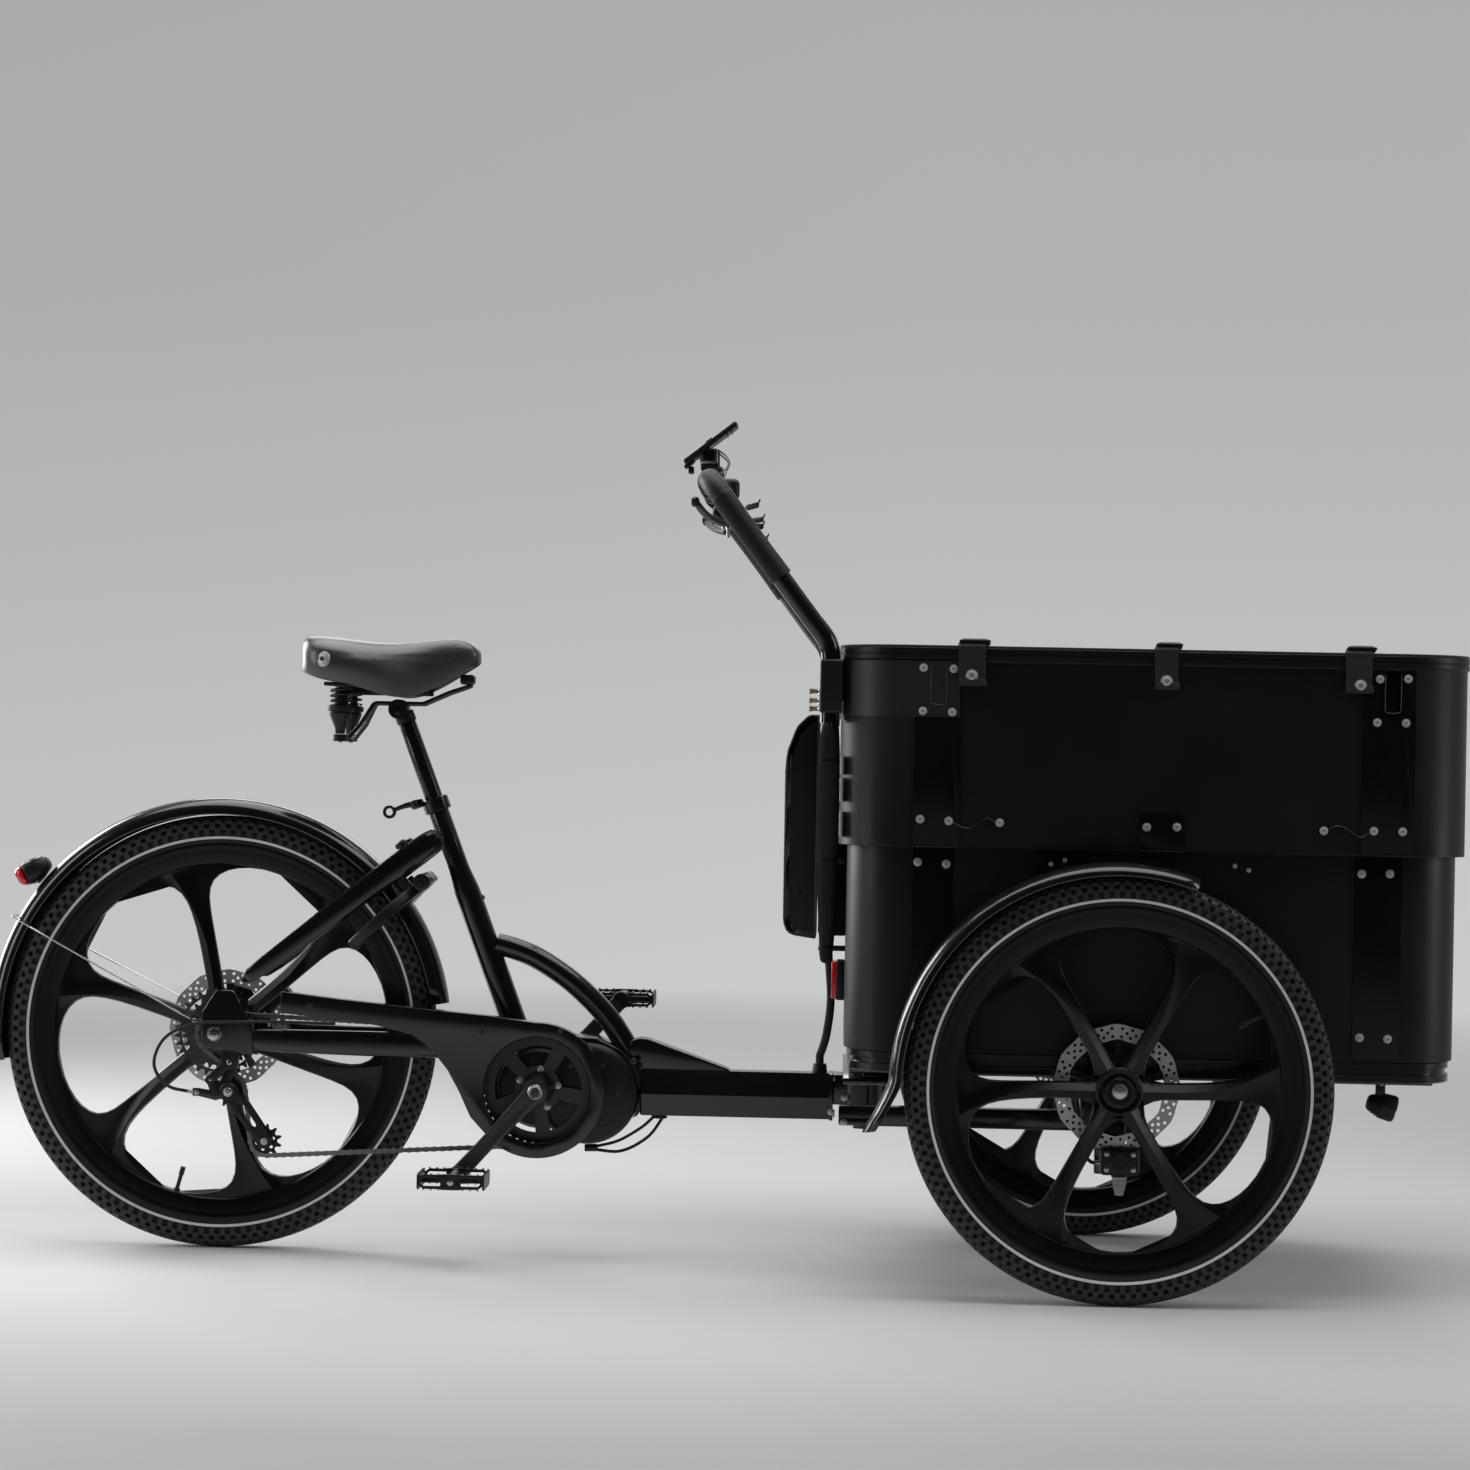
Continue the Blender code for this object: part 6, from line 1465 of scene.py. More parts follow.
@dataclass
class Cover:
    """Stretched fabric cover with a piped hem and three webbing straps with folded buckles."""

    body: str = "box_cover"
    half_length: float = 0.4555
    middle_x: float = 0.646
    half_width: float = 0.3245
    corner: float = 0.0995
    base_z: float = 0.9282
    crown: float = 0.007
    straps: tuple = ((0.378, 0.04), (0.656, 0.034), (0.93, 0.038))

    def build(self) -> None:
        """Makes cloth, hem, straps and buckles."""
        cloth, hem, straps, buckles = self.cloth(), self.hem(), self.webbing(), self.buckles()
        carried(cloth, self.body, "cover", "box_cover")
        for piece, slot in ((hem, "cover"), (straps, "cover"), (buckles, "dark_steel")):
            carried(piece, self.body, slot, "box_cover")

    def height(self, x: float, y: float) -> float:
        """Height of the cloth over a spot of the plan.

        Args:
            x: The spot's place along X.
            y: The spot's place along Y.

        Returns:
            The height.
        """
        u, v = x / self.half_length, y / self.half_width
        swell = self.crown * (1 - u * u) * (1 - v * v)
        press = 0.0
        for centre, width in self.straps:
            away = abs(x + self.middle_x - centre)
            press += 0.0022 * math.exp(-((away / width) ** 2)) * (1 - v * v)
        fold = math.sin(23 * x + 9 * y) * math.sin(17 * y - 6 * x) + 0.6 * math.sin(61 * x - 37 * y + 1.3)
        edge = (1 - u**6) * (1 - v**6)
        return self.base_z + swell - press + 0.0009 * fold * edge

    def cloth(self) -> Piece:
        """The cover sheet: a fine grid drawn into a rounded plan and lifted to its crown."""
        clear()
        bpy.ops.mesh.primitive_grid_add(x_subdivisions=110, y_subdivisions=78, size=2)
        obj = bpy.context.object
        for vertex in obj.data.vertices:
            x, y = vertex.co.x * self.half_length, vertex.co.y * self.half_width
            dx, dy = abs(x) - self.half_length + self.corner, abs(y) - self.half_width + self.corner
            if dx > 0 and dy > 0:
                squeeze = max(dx, dy) / math.hypot(dx, dy)
                x = math.copysign(self.half_length - self.corner + dx * squeeze, x)
                y = math.copysign(self.half_width - self.corner + dy * squeeze, y)
            vertex.co = (x + self.middle_x, y, self.height(x, y))
        apply(obj, "SOLIDIFY", thickness=0.0012, offset=-1.0)
        return settle(obj, "cover_cloth", "cover_cloth", 60.0)

    def hem(self) -> Piece:
        """Piping sewn round the edge, with its stitch line."""
        low = (self.middle_x - self.half_length, -self.half_width)
        high = (self.middle_x + self.half_length, self.half_width)
        edge = [Vector((x, y, self.base_z - 0.0002))
                for x, y in rounded_outline(low, high, self.corner, 12)]
        rings = []
        count = len(edge)
        for i in range(count + 1):
            before, here, after = edge[(i - 1) % count], edge[i % count], edge[(i + 1) % count]
            out = (after - before).normalized().cross(Z)
            rings.append(oval(here - out * 0.0004, out * 0.0017, Z * 0.0019, 8))
        piping = sleeve("piping", rings, "cover_cloth", caps=False, angle=70.0)
        inner = rounded_outline((low[0] + 0.016, low[1] + 0.016), (high[0] - 0.016, high[1] - 0.016),
                                self.corner - 0.016, 12)
        seam = []
        for (x0, y0), (x1, y1) in zip(inner, inner[1:] + inner[:1]):
            steps = max(1, round(math.hypot(x1 - x0, y1 - y0) / 0.0045))
            for k in range(steps):
                seam.append((x0 + (x1 - x0) * k / steps, y0 + (y1 - y0) * k / steps,
                             math.atan2(y1 - y0, x1 - x0)))
        stitch = block("stitch", (0, 0, 0), (0.003, 0.0007, 0.0006), "strap_webbing", 0.0002, 1)
        pieces = [piping]
        for x, y, turn in seam:
            z = self.height(x - self.middle_x, y) + 0.0002
            pieces.append(copied(stitch, Matrix.Translation((x, y, z)) @ Matrix.Rotation(turn, 4, "Z")))
        bpy.data.objects.remove(stitch)
        return joined("cover_hem", pieces)

    def webbing(self) -> Piece:
        """Straps across the cover and down both sides."""
        pieces = []
        for centre, width in self.straps:
            side = self.half_width + 0.0036
            route = [(-side, 0.872), (-side, 0.918), (-side + 0.0004, 0.929), (-side + 0.004, 0.933)]
            inside = [self.half_width * share for share in (-0.95, -0.85, -0.6, -0.3, 0.0)]
            route += [(y, self.height(centre - self.middle_x, y) + 0.0013) for y in inside]
            route += [(-y, z) for y, z in route[-2::-1]]
            rings = []
            for (y0, z0), (y, z), (y1, z1) in zip([route[0], *route], route, [*route[1:], route[-1]]):
                up = Vector((0, -(z1 - z0), y1 - y0)).normalized()
                rings.append(oval((centre, y, z), X * width / 2, up * 0.00085, 8, 8.0))
            pieces.append(sleeve("strap", rings, "strap_webbing", angle=50.0))
        return joined("cover_straps", pieces)

    def buckles(self) -> Piece:
        """Folded ends and cam buckles at the rim."""
        pieces = []
        for centre, width in self.straps:
            for side in SIDES:
                y = side * (self.half_width - 0.01)
                x = centre + 0.004
                frame = rounded_outline((x - width * 0.56, -0.013), (x + width * 0.56, 0.013), 0.003, 3)
                hole = rounded_outline((x - width * 0.46, -0.008), (x + width * 0.46, 0.008), 0.002, 3)
                tilt = Matrix.Rotation(side * math.radians(12), 4, "X")
                place = Matrix.Translation((0, y, 0.9345)) @ tilt
                pieces.append(slab("frame", frame, 0.003, place, "moulded_black", 0.0008, [hole]))
                pieces.append(rod("bar", (x - width * 0.52, y, 0.9352), (x + width * 0.52, y, 0.9352),
                                  0.0018, "dark_steel", 10))
                fold = [(-0.012, 0.9348), (-0.004, 0.9392), (0.006, 0.9402), (0.011, 0.9375),
                        (0.008, 0.935)]
                rings = [oval((x, y + side * a, z), X * width * 0.46, Vector((0, -side * 0.0003, 0.0009)),
                              8, 8.0) for a, z in fold]
                pieces.append(sleeve("fold", rings, "strap_webbing", 1, angle=50.0))
                pieces.append(block("end", (centre + 0.002, side * (self.half_width + 0.004), 0.8775),
                                    (width * 0.96, 0.0026, 0.01), "strap_webbing", 0.0008))
        return joined("cover_buckles", pieces)


@dataclass
class Handlebar:
    """Bent bar with its grips, display, shifter, brake levers and their cables."""

    body: str = "handlebar"
    radius: float = 0.0145
    half_width: float = 0.26
    grip_radius: float = 0.0175
    arm: tuple = ((0.1755, 0.26, 0.816), (0.1755, 0.26, 0.93), (0.148, 0.26, 0.964), (-0.007, 0.26, 1.168))
    bends: tuple = (0.06, 0.06, 0.045, 0.045, 0.06, 0.06)

    def build(self) -> None:
        """Makes the bar and all that it carries."""
        carried(self.bar(), self.body, "frame_paint", "handlebar")
        for label, side in NAMED_SIDES:
            carried(self.grip(label, side), self.body, "grip", f"grip_{label}")
            carried(self.lever(label, side), f"brake_lever_{label}", "moulded", f"brake_lever_{label}")
        carried(self.display(), self.body, "moulded", "display")
        carried(self.shifter(), self.body, "moulded", "shifter")
        carried(self.perches(), self.body, "moulded", "handlebar")
        carried(self.leads(), self.body, "rubber", "handlebar")
        falls = self.falls()
        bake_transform(falls)

    def route(self) -> list[Vector]:
        """Middle line of the whole bar."""
        points = [Vector((x, -y, z)) for x, y, z in self.arm] + [Vector(point) for point in self.arm[::-1]]
        return ledge_route(points, self.bends, 10)

    def bar(self) -> Piece:
        """The bent tube with its end plugs."""
        tube = wire("tube", self.route(), self.radius, "gloss_black_paint", 1, 7)
        plugs = [rod("plug", (0.1755, side * 0.26, 0.8162), (0.1755, side * 0.26, 0.824), 0.0142,
                     "moulded_black", 24) for side in SIDES]
        return joined("bar_tube", [tube, *plugs])

    def grip(self, label: str, side: int) -> Piece:
        """Rubber grip that runs from its lower collar round the bar's corner.

        Args:
            label: The side's name.
            side: RIGHT or LEFT.

        Returns:
            The piece.
        """
        whole = self.route()
        if side == LEFT:
            whole = whole[::-1]
        foot = Vector((0.101, side * 0.26, 1.0258))
        path = [foot]
        length = 0.0
        for point in whole:
            if point.z > 1.03 and point.y * side > 0.172:
                path.append(point)
        path.append(Vector((-0.007, side * 0.168, 1.168)))
        path = flowing(path, 3)
        total = sum((b - a).length for a, b in zip(path, path[1:]))
        rings = []
        across = Y.copy()
        for i, point in enumerate(path):
            before, after = path[max(i - 1, 0)], path[min(i + 1, len(path) - 1)]
            along = (after - before).normalized()
            across = (across - along * across.dot(along)).normalized()
            up = along.cross(across)
            if i:
                length += (point - path[i - 1]).length
            share = length / total
            radius = self.grip_radius - 0.001 + 0.0006 * math.sin(share * math.pi)
            if share < 0.045 or share > 0.975:
                radius += 0.0008
            if 0.05 < share < 0.07:
                radius -= 0.0012
            radius += 0.00035 * math.sin(share * 2 * math.pi * 26) if 0.1 < share < 0.62 else 0.0
            rings.append(oval(point, across * radius, up * radius, 28))
        return joined(f"grip_{label}_rubber", [sleeve("grip", rings, "grip_rubber", angle=45.0)])

    def lever(self, label: str, side: int) -> Piece:
        """Brake lever: a flat curved blade that ends in a ball with an eye.

        Args:
            label: The side's name.
            side: RIGHT or LEFT.

        Returns:
            The piece.
        """
        pivot, ball = Vector((0.011, side * 0.095, 1.1125)), Vector((-0.028, side * 0.21, 1.137))
        out = (ball - pivot).normalized()
        up = out.cross(X).normalized()
        deep = out.cross(up)
        rings = []
        for share, bow, high, wide in ((0.0, 0.0, 0.0062, 0.0085), (0.1, 0.0006, 0.0058, 0.008),
                                       (0.25, 0.003, 0.0046, 0.0068), (0.45, 0.004, 0.004, 0.0062),
                                       (0.65, 0.0036, 0.0038, 0.0062), (0.85, 0.0014, 0.004, 0.0058),
                                       (0.95, 0.0, 0.0042, 0.005)):
            centre = pivot.lerp(ball, share) + Vector((-bow, 0, -bow))
            rings.append(oval(centre, up * high, deep * wide, 14, 2.8))
        blade = sleeve("blade", rings, "moulded_black", 1)
        eye = lathe("eye", mirrored([(0.0038, -0.004), (0.0054, -0.005), (0.0072, -0.0034), (0.0079, 0.0)]),
                    ball, "moulded_black", 28, deep, ring=True)
        pin = rod("pin", pivot - up * 0.0085, pivot + up * 0.0085, 0.0032, "brushed_steel", 16)
        return joined(f"brake_lever_{label}_blade", [blade, eye, pin])

    def perches(self) -> Piece:
        """Lever perches: split clamps with their screws and reservoirs."""
        pieces = []
        for side in SIDES:
            centre = Vector((-0.007, side * 0.095, 1.168))
            ring = lathe("ring", mirrored([(0.0148, -0.013), (0.0192, -0.013), (0.02, -0.012)]), centre,
                         "moulded_black", 40, ring=True)
            arm = block("arm", centre + Vector((0.0155, 0, -0.029)), (0.024, 0.026, 0.036), "moulded_black",
                        0.005, 3, Matrix.Rotation(math.radians(16), 3, "Y"))
            arm = carve(arm, rod("room", centre - Y * 0.03, centre + Y * 0.03, 0.015, "moulded_black", 32,
                                 0))
            lid = block("lid", centre + Vector((0.027, side * 0.004, -0.022)), (0.006, 0.028, 0.026),
                        "moulded_black", 0.002, 2, Matrix.Rotation(math.radians(16), 3, "Y"))
            pieces += [ring, arm, lid]
            for drop in (-0.01, 0.01):
                pieces.append(hex_bolt("lid_screw", centre + Vector((0.03, side * 0.004 + drop, -0.0222)),
                                       Vector((0.96, 0, 0.28)), 0.0018, 0.0012, "brushed_steel"))
            nut = rod("nut", centre + Vector((0.018, side * 0.012, -0.04)),
                      centre + Vector((0.02, side * 0.026, -0.043)), 0.0042, "moulded_black", 6)
            pieces += [nut, hex_bolt("perch_screw", centre + Vector((0.006, 0, 0.0196)),
                                     Vector((0.3, 0, 0.95)), 0.003, 0.002, "brushed_steel")]
        return joined("lever_perches", pieces)

    def display(self) -> Piece:
        """Display plate on its block, with a bright frame and dark glass on the side."""
        tilt = Matrix.Rotation(math.radians(-38), 3, "Y")
        plate = block("plate", (-0.0145, 0, 1.2405), (0.1005, 0.0615, 0.0085), "moulded_black", 0.0036, 3,
                      tilt)
        up = tilt @ Z
        glass = block("glass", Vector((-0.0145, 0, 1.2405)) + up * 0.004, (0.086, 0.048, 0.0016),
                      "screen_glass", 0.0007, 2, tilt)
        ribs = [block("rib", Vector((-0.0145, 0, 1.2405)) - up * 0.0045 + tilt @ X * shift,
                      (0.003, 0.05, 0.0024), "moulded_black", 0.0006, 2, tilt)
                for shift in (-0.036, -0.028, 0.028, 0.036)]
        neck = block("neck", (-0.015, 0, 1.215), (0.0285, 0.03, 0.034), "moulded_black", 0.004, 3)
        frame = block("frame", (-0.0168, 0, 1.221), (0.027, 0.033, 0.023), "brushed_steel", 0.0022, 3)
        panes = [block("pane", (-0.0168, side * 0.016, 1.221), (0.018, 0.0018, 0.016), "screen_glass",
                       0.0008) for side in SIDES]
        foot = block("foot", (-0.01, 0, 1.187), (0.032, 0.032, 0.038), "moulded_black", 0.006, 3)
        clamp = lathe("clamp", mirrored([(0.0148, -0.016), (0.0185, -0.016), (0.0195, -0.015)]),
                      (-0.007, 0, 1.168), "moulded_black", 40, ring=True)
        foot = carve(foot, rod("room", (-0.007, -0.1, 1.168), (-0.007, 0.1, 1.168), 0.015, "moulded_black",
                               32, 0))
        tongue = block("tongue", Vector((-0.047, 0, 1.209)), (0.018, 0.03, 0.005), "moulded_black", 0.0018,
                       2, tilt)
        latch = block("latch", (-0.044, 0, 1.2), (0.0085, 0.022, 0.011), "moulded_black", 0.002)
        keys = [block("key", Vector((-0.0145, 0, 1.2405)) + up * 0.0046 + tilt @ Vector((0.0, y, 0)),
                      (0.012, 0.005, 0.0016), "moulded_black", 0.0006, 2, tilt) for y in (-0.0265, 0.0265)]
        screw = hex_bolt("screw", (-0.01, -0.0158, 1.19), -Y, 0.0026, 0.0016, "brushed_steel")
        return joined("display_unit", [plate, glass, *ribs, neck, frame, *panes, foot, clamp, tongue, latch,
                                       *keys, screw])

    def shifter(self) -> Piece:
        """Thumb shifter pod with its paddle and cable knobs."""
        pod = block("pod", (0.013, -0.185, 1.158), (0.046, 0.03, 0.031), "moulded_black", 0.008, 3)
        pod = carve(pod, rod("room", (-0.007, -0.25, 1.168), (-0.007, -0.1, 1.168), 0.015, "moulded_black",
                             32, 0))
        ring = lathe("ring", mirrored([(0.0148, -0.01), (0.0188, -0.01), (0.0195, -0.009)]),
                     (-0.007, -0.185, 1.168), "moulded_black", 36, ring=True)
        cap = lathe("cap", [(0.012, 0.0), (0.0122, 0.0022), (0.0105, 0.0034), (0.0, 0.0036)],
                    (0.015, -0.1995, 1.156), "moulded_black", 32, -Y)
        paddle = sleeve("paddle", [oval(p, Vector(u) * 0.0055, Z * 0.0022, 10, 2.6)
                                   for p, u in (((0.02, -0.184, 1.145), (0, 1, 0)),
                                                ((0.026, -0.192, 1.14), (0.3, 1, 0)),
                                                ((0.03, -0.2, 1.138), (0.5, 1, 0)))], "moulded_black", 1)
        return joined("shifter_pod", [pod, ring, cap, paddle])

    def leads(self) -> Piece:
        """Short wires from display to shifter and the cable adjusters."""
        wires = [[(-0.003, -0.016, 1.23), (0.01, -0.06, 1.218), (0.0185, -0.12, 1.202),
                  (0.015, -0.16, 1.186), (0.012, -0.18, 1.174)],
                 [(-0.003, -0.016, 1.226), (0.014, -0.07, 1.208), (0.014, -0.13, 1.193),
                  (0.008, -0.165, 1.184), (0.008, -0.182, 1.174)]]
        pieces = [wire("wire", points, 0.0012, "cable_rubber", 8, 1) for points in wires]
        for side in SIDES:
            for start, end in (((0.029, 0.13, 1.13), (0.062, 0.16, 1.1375)),
                               ((0.031, 0.11, 1.115), (0.069, 0.15, 1.106))):
                a = Vector((start[0], side * start[1], start[2]))
                b = Vector((end[0], side * end[1], end[2]))
                pieces.append(rod("adjuster", a.lerp(b, 0.55), b, 0.0046, "moulded_black", 12, 0.001))
                pieces.append(rod("ferrule", a, b, 0.0026, "brushed_steel", 12))
                pieces.append(rod("pip", b - Z * 0.001, b + Vector((0.004, 0, 0.0085)), 0.0013,
                                  "dark_steel", 8, 0.0003))
        return joined("bar_leads", pieces)

    def falls(self) -> Piece:
        """Brake hoses and cables that fall from the bar to the box's rear wall."""
        routes = ((0.0028, [(0.03, -0.13, 1.13), (0.038, -0.15, 1.112), (0.056, -0.16, 1.084),
                            (0.09, -0.16, 1.04), (0.133, -0.15, 0.983), (0.162, -0.12, 0.93),
                            (0.17, -0.098, 0.85), (0.174, -0.09, 0.812)]),
                  (0.0025, [(0.031, -0.11, 1.115), (0.042, -0.13, 1.096), (0.062, -0.14, 1.07),
                            (0.096, -0.14, 1.025), (0.136, -0.13, 0.97), (0.164, -0.105, 0.915),
                            (0.174, -0.092, 0.86), (0.176, -0.084, 0.812)]),
                  (0.0028, [(0.03, 0.13, 1.13), (0.037, 0.1, 1.116), (0.048, 0.0, 1.1),
                            (0.064, -0.08, 1.075), (0.1, -0.105, 1.02), (0.142, -0.108, 0.96),
                            (0.167, -0.104, 0.9), (0.1765, -0.097, 0.85), (0.179, -0.092, 0.812)]),
                  (0.002, [(-0.01, 0.0, 1.17), (0.012, -0.02, 1.14), (0.046, -0.07, 1.09),
                           (0.09, -0.094, 1.03), (0.14, -0.097, 0.96), (0.169, -0.094, 0.9),
                           (0.179, -0.09, 0.85), (0.1815, -0.087, 0.812)]))
        return joined("bar_hoses", [wire("hose", points, radius, "cable_rubber", 8, 2)
                                    for radius, points in routes])


@dataclass
class Saddle:
    """Padded saddle with its rails, clamp and rubber springs."""

    body: str = "seat_post"
    stations: tuple = ((-0.6285, 0.926, 0.887, 0.058), (-0.622, 0.9325, 0.879, 0.086),
                       (-0.608, 0.9355, 0.873, 0.103), (-0.585, 0.9345, 0.866, 0.1125),
                       (-0.555, 0.9315, 0.862, 0.114), (-0.528, 0.9285, 0.856, 0.106),
                       (-0.503, 0.9265, 0.847, 0.092), (-0.48, 0.9265, 0.842, 0.076),
                       (-0.455, 0.929, 0.845, 0.058), (-0.43, 0.9325, 0.856, 0.047),
                       (-0.405, 0.935, 0.87, 0.04), (-0.385, 0.9345, 0.883, 0.0345),
                       (-0.368, 0.9265, 0.893, 0.027), (-0.359, 0.915, 0.899, 0.017))

    def build(self) -> None:
        """Makes skin, edge, rails and springs."""
        skin = self.skin()
        carried(skin, self.body, "saddle", "saddle")
        carried(self.base(), self.body, "moulded", "saddle")
        carried(self.rails(), self.body, "dark_steel", "saddle_rails")
        for label, side in NAMED_SIDES:
            carried(self.spring(label, side), self.body, "rubber", f"saddle_spring_{label}")
        carried(self.post(), self.body, "frame_paint", "seat_post")
        carried(self.eyelets(), self.body, "steel", "saddle")

    def ring(self, x: float, top: float, low: float, half: float) -> list[Vector]:
        """Section of the padded skin: a crowned top, full sides and a lip turned under.

        Args:
            x: Place along X.
            top: Height of its top.
            low: Height of its lower edge.
            half: Half its width.

        Returns:
            The section's points.
        """
        deep = top - low
        lobe = 0.1 * clamped((half - 0.05) / 0.06)
        shape = ((0.0, -0.02 - lobe * 0.55), (0.22, -lobe * 0.15), (0.45, 0.0), (0.66, -0.03),
                 (0.83, -0.11), (0.945, -0.27), (1.0, -0.47), (0.995, -0.66), (0.965, -0.82), (0.93, -0.94),
                 (0.9, -1.0), (0.84, -0.99), (0.8, -0.9), (0.62, -0.8), (0.3, -0.78))
        right = [Vector((x, -half * across, top + deep * up)) for across, up in shape]
        middle = Vector((x, 0.0, top + deep * -0.78))
        left = [Vector((x, half * across, top + deep * up)) for across, up in shape[:0:-1]]
        return [*right, middle, *left]

    def skin(self) -> Piece:
        """The padded top, sewn over its shell, with two pressed recesses at the back and a long groove."""
        rings = [self.ring(*station) for station in self.stations]
        skin = sleeve("saddle_skin_painted_sheen", rings, "saddle_skin_painted_sheen", 2, angle=60.0)
        for vertex in skin.data.vertices:
            co = vertex.co
            if co.z > 0.89:
                ends = clamped((co.x + 0.6) / 0.05) * clamped((-0.4 - co.x) / 0.04)
                groove = math.exp(-((co.y / 0.011) ** 2)) * ends
                co.z -= 0.0026 * groove
            rear = math.exp(-(((abs(co.y) - 0.052) / 0.02) ** 2 + ((co.z - 0.903) / 0.01) ** 2))
            if co.x < -0.6:
                co.x += 0.005 * rear
            side = clamped((abs(co.y) - 0.02) / 0.03)
            seam = math.exp(-(((co.z - 0.905 - 0.05 * (co.x + 0.5) ** 2) / 0.0016) ** 2))
            if co.x > -0.6:
                co.y -= math.copysign(0.0009 * seam * side, co.y)
        return skin

    def base(self) -> Piece:
        """The moulded shell under the padding, with its rail sockets."""
        rings = []
        for x, top, low, half in self.stations[1:-1]:
            z = low + (top - low) * 0.13
            rings.append(oval((x, 0, z), Y * half * 0.86, Z * 0.0035, 20, 3.0))
        shell = sleeve("shell", rings, "moulded_black", 1)
        nose = block("nose_socket", (-0.379, 0, 0.8735), (0.022, 0.028, 0.015), "moulded_black", 0.004, 3)
        rear = [block("rear_socket", (-0.566, side * 0.058, 0.862), (0.046, 0.046, 0.006), "moulded_black",
                      0.002) for side in SIDES]
        ribs = [block("rib", (-0.5, side * 0.034, 0.8525), (0.13, 0.004, 0.01), "moulded_black", 0.001)
                for side in SIDES]
        return joined("saddle_shell", [shell, nose, *rear, *ribs])

    def rails(self) -> Piece:
        """The bent rails with the spring feet."""
        half = [(-0.374, 0.0075, 0.864), (-0.405, 0.013, 0.853), (-0.445, 0.013, 0.835),
                (-0.52, 0.013, 0.835), (-0.538, 0.033, 0.802), (-0.555, 0.04, 0.7812),
                (-0.566, 0.052, 0.781)]
        points = [(x, -y, z) for x, y, z in half[::-1]] + half
        pieces = [wire("rail", ledge_route(points, 0.008, 5), 0.0035, "dark_steel", 1, 4)]
        for side in SIDES:
            centre = Vector((-0.5655, side * 0.058, 0.7755))
            pieces.append(lathe("foot", [(0.0, 0.0), (0.0095, 0.0), (0.011, 0.0012), (0.011, 0.0096),
                                         (0.01, 0.0108), (0.0, 0.0108)], centre, "moulded_black", 28, Z))
            pieces.append(hex_bolt("foot_screw", centre, -Z, 0.0035, 0.0022, "brushed_steel"))
        return joined("saddle_rail_wire", pieces)

    def spring(self, label: str, side: int) -> Piece:
        """A rubber cone with its foot and the steel coil above it.

        Args:
            label: The side's name.
            side: RIGHT or LEFT.

        Returns:
            The piece.
        """
        profile = [(0.0, 0.0), (0.0066, 0.0), (0.0074, 0.0012), (0.008, 0.008), (0.0108, 0.015),
                   (0.0138, 0.0225), (0.0164, 0.029), (0.017, 0.031), (0.0158, 0.0325), (0.0158, 0.0335),
                   (0.019, 0.035), (0.0199, 0.039), (0.019, 0.0425), (0.015, 0.044), (0.0106, 0.045),
                   (0.01, 0.05), (0.01, 0.069), (0.0, 0.0714)]
        centre = Vector((-0.5655, side * 0.058, 0.7869))
        turns = 3.0
        coil = [centre + Vector((0.0158 * math.cos(2 * math.pi * turns * k / 60),
                                 0.0158 * math.sin(2 * math.pi * turns * k / 60), 0.0462 + 0.023 * k / 60))
                for k in range(61)]
        return joined(f"saddle_spring_{label}_rubber", [lathe("spring", profile, centre, "cable_rubber", 36,
                                                              Z, angle=50.0),
                                                        wire("coil", coil, 0.0019, "dark_steel", 1, 2)])

    def eyelets(self) -> Piece:
        """Oval bright washers pressed into the saddle's rear sides."""
        pieces = []
        for side in SIDES:
            out = Vector((-0.42, side * 0.9, 0.12)).normalized()
            washer = lathe("washer", [(0.003, 0.0006), (0.0044, 0.0024), (0.0085, 0.0018),
                                      (0.0118, -0.0004), (0.0122, -0.003), (0.003, -0.003)], (0, 0, 0),
                           "zinc_screw", 36, out, ring=True)
            bed = lathe("bed", [(0.0, 0.0002), (0.0032, 0.0002), (0.0032, -0.003), (0.0, -0.003)],
                        (0, 0, 0), "moulded_black", 24, out)
            pieces.append(joined("eyelet", [washer, bed]))
            pieces[-1].data.transform(Matrix.Translation((-0.587, side * 0.1085, 0.8985)))
        return joined("saddle_eyelets", pieces)

    def post(self) -> Piece:
        """Seat post with the rail clamp."""
        foot, top = Vector((-0.3792, 0, 0.5654)), Vector((-0.4752, 0, 0.818))
        tube = rod("tube", foot, top, 0.0136, "gloss_black_paint", 48, 0.001)
        barrel = lathe("barrel", mirrored([(0.0, -0.02), (0.0138, -0.02), (0.015, -0.0185)]),
                       (-0.4835, 0, 0.8265), "moulded_black", 36)
        for side in SIDES:
            bore = rod("bore", (-0.53, side * 0.013, 0.835), (-0.44, side * 0.013, 0.835), 0.0041,
                       "moulded_black", 20, 0)
            carve(barrel, bore)
        collar = rod("neck", top - SEAT_UP * 0.012, top + SEAT_UP * 0.004, 0.0152, "moulded_black", 36,
                     0.001)
        bolts = [rod("bolt", (-0.4835, side * 0.0199, 0.8225), (-0.4835, side * 0.0222, 0.8225), 0.005,
                     "dark_steel", 20) for side in SIDES]
        return joined("seat_post_tube", [tube, barrel, collar, *bolts])


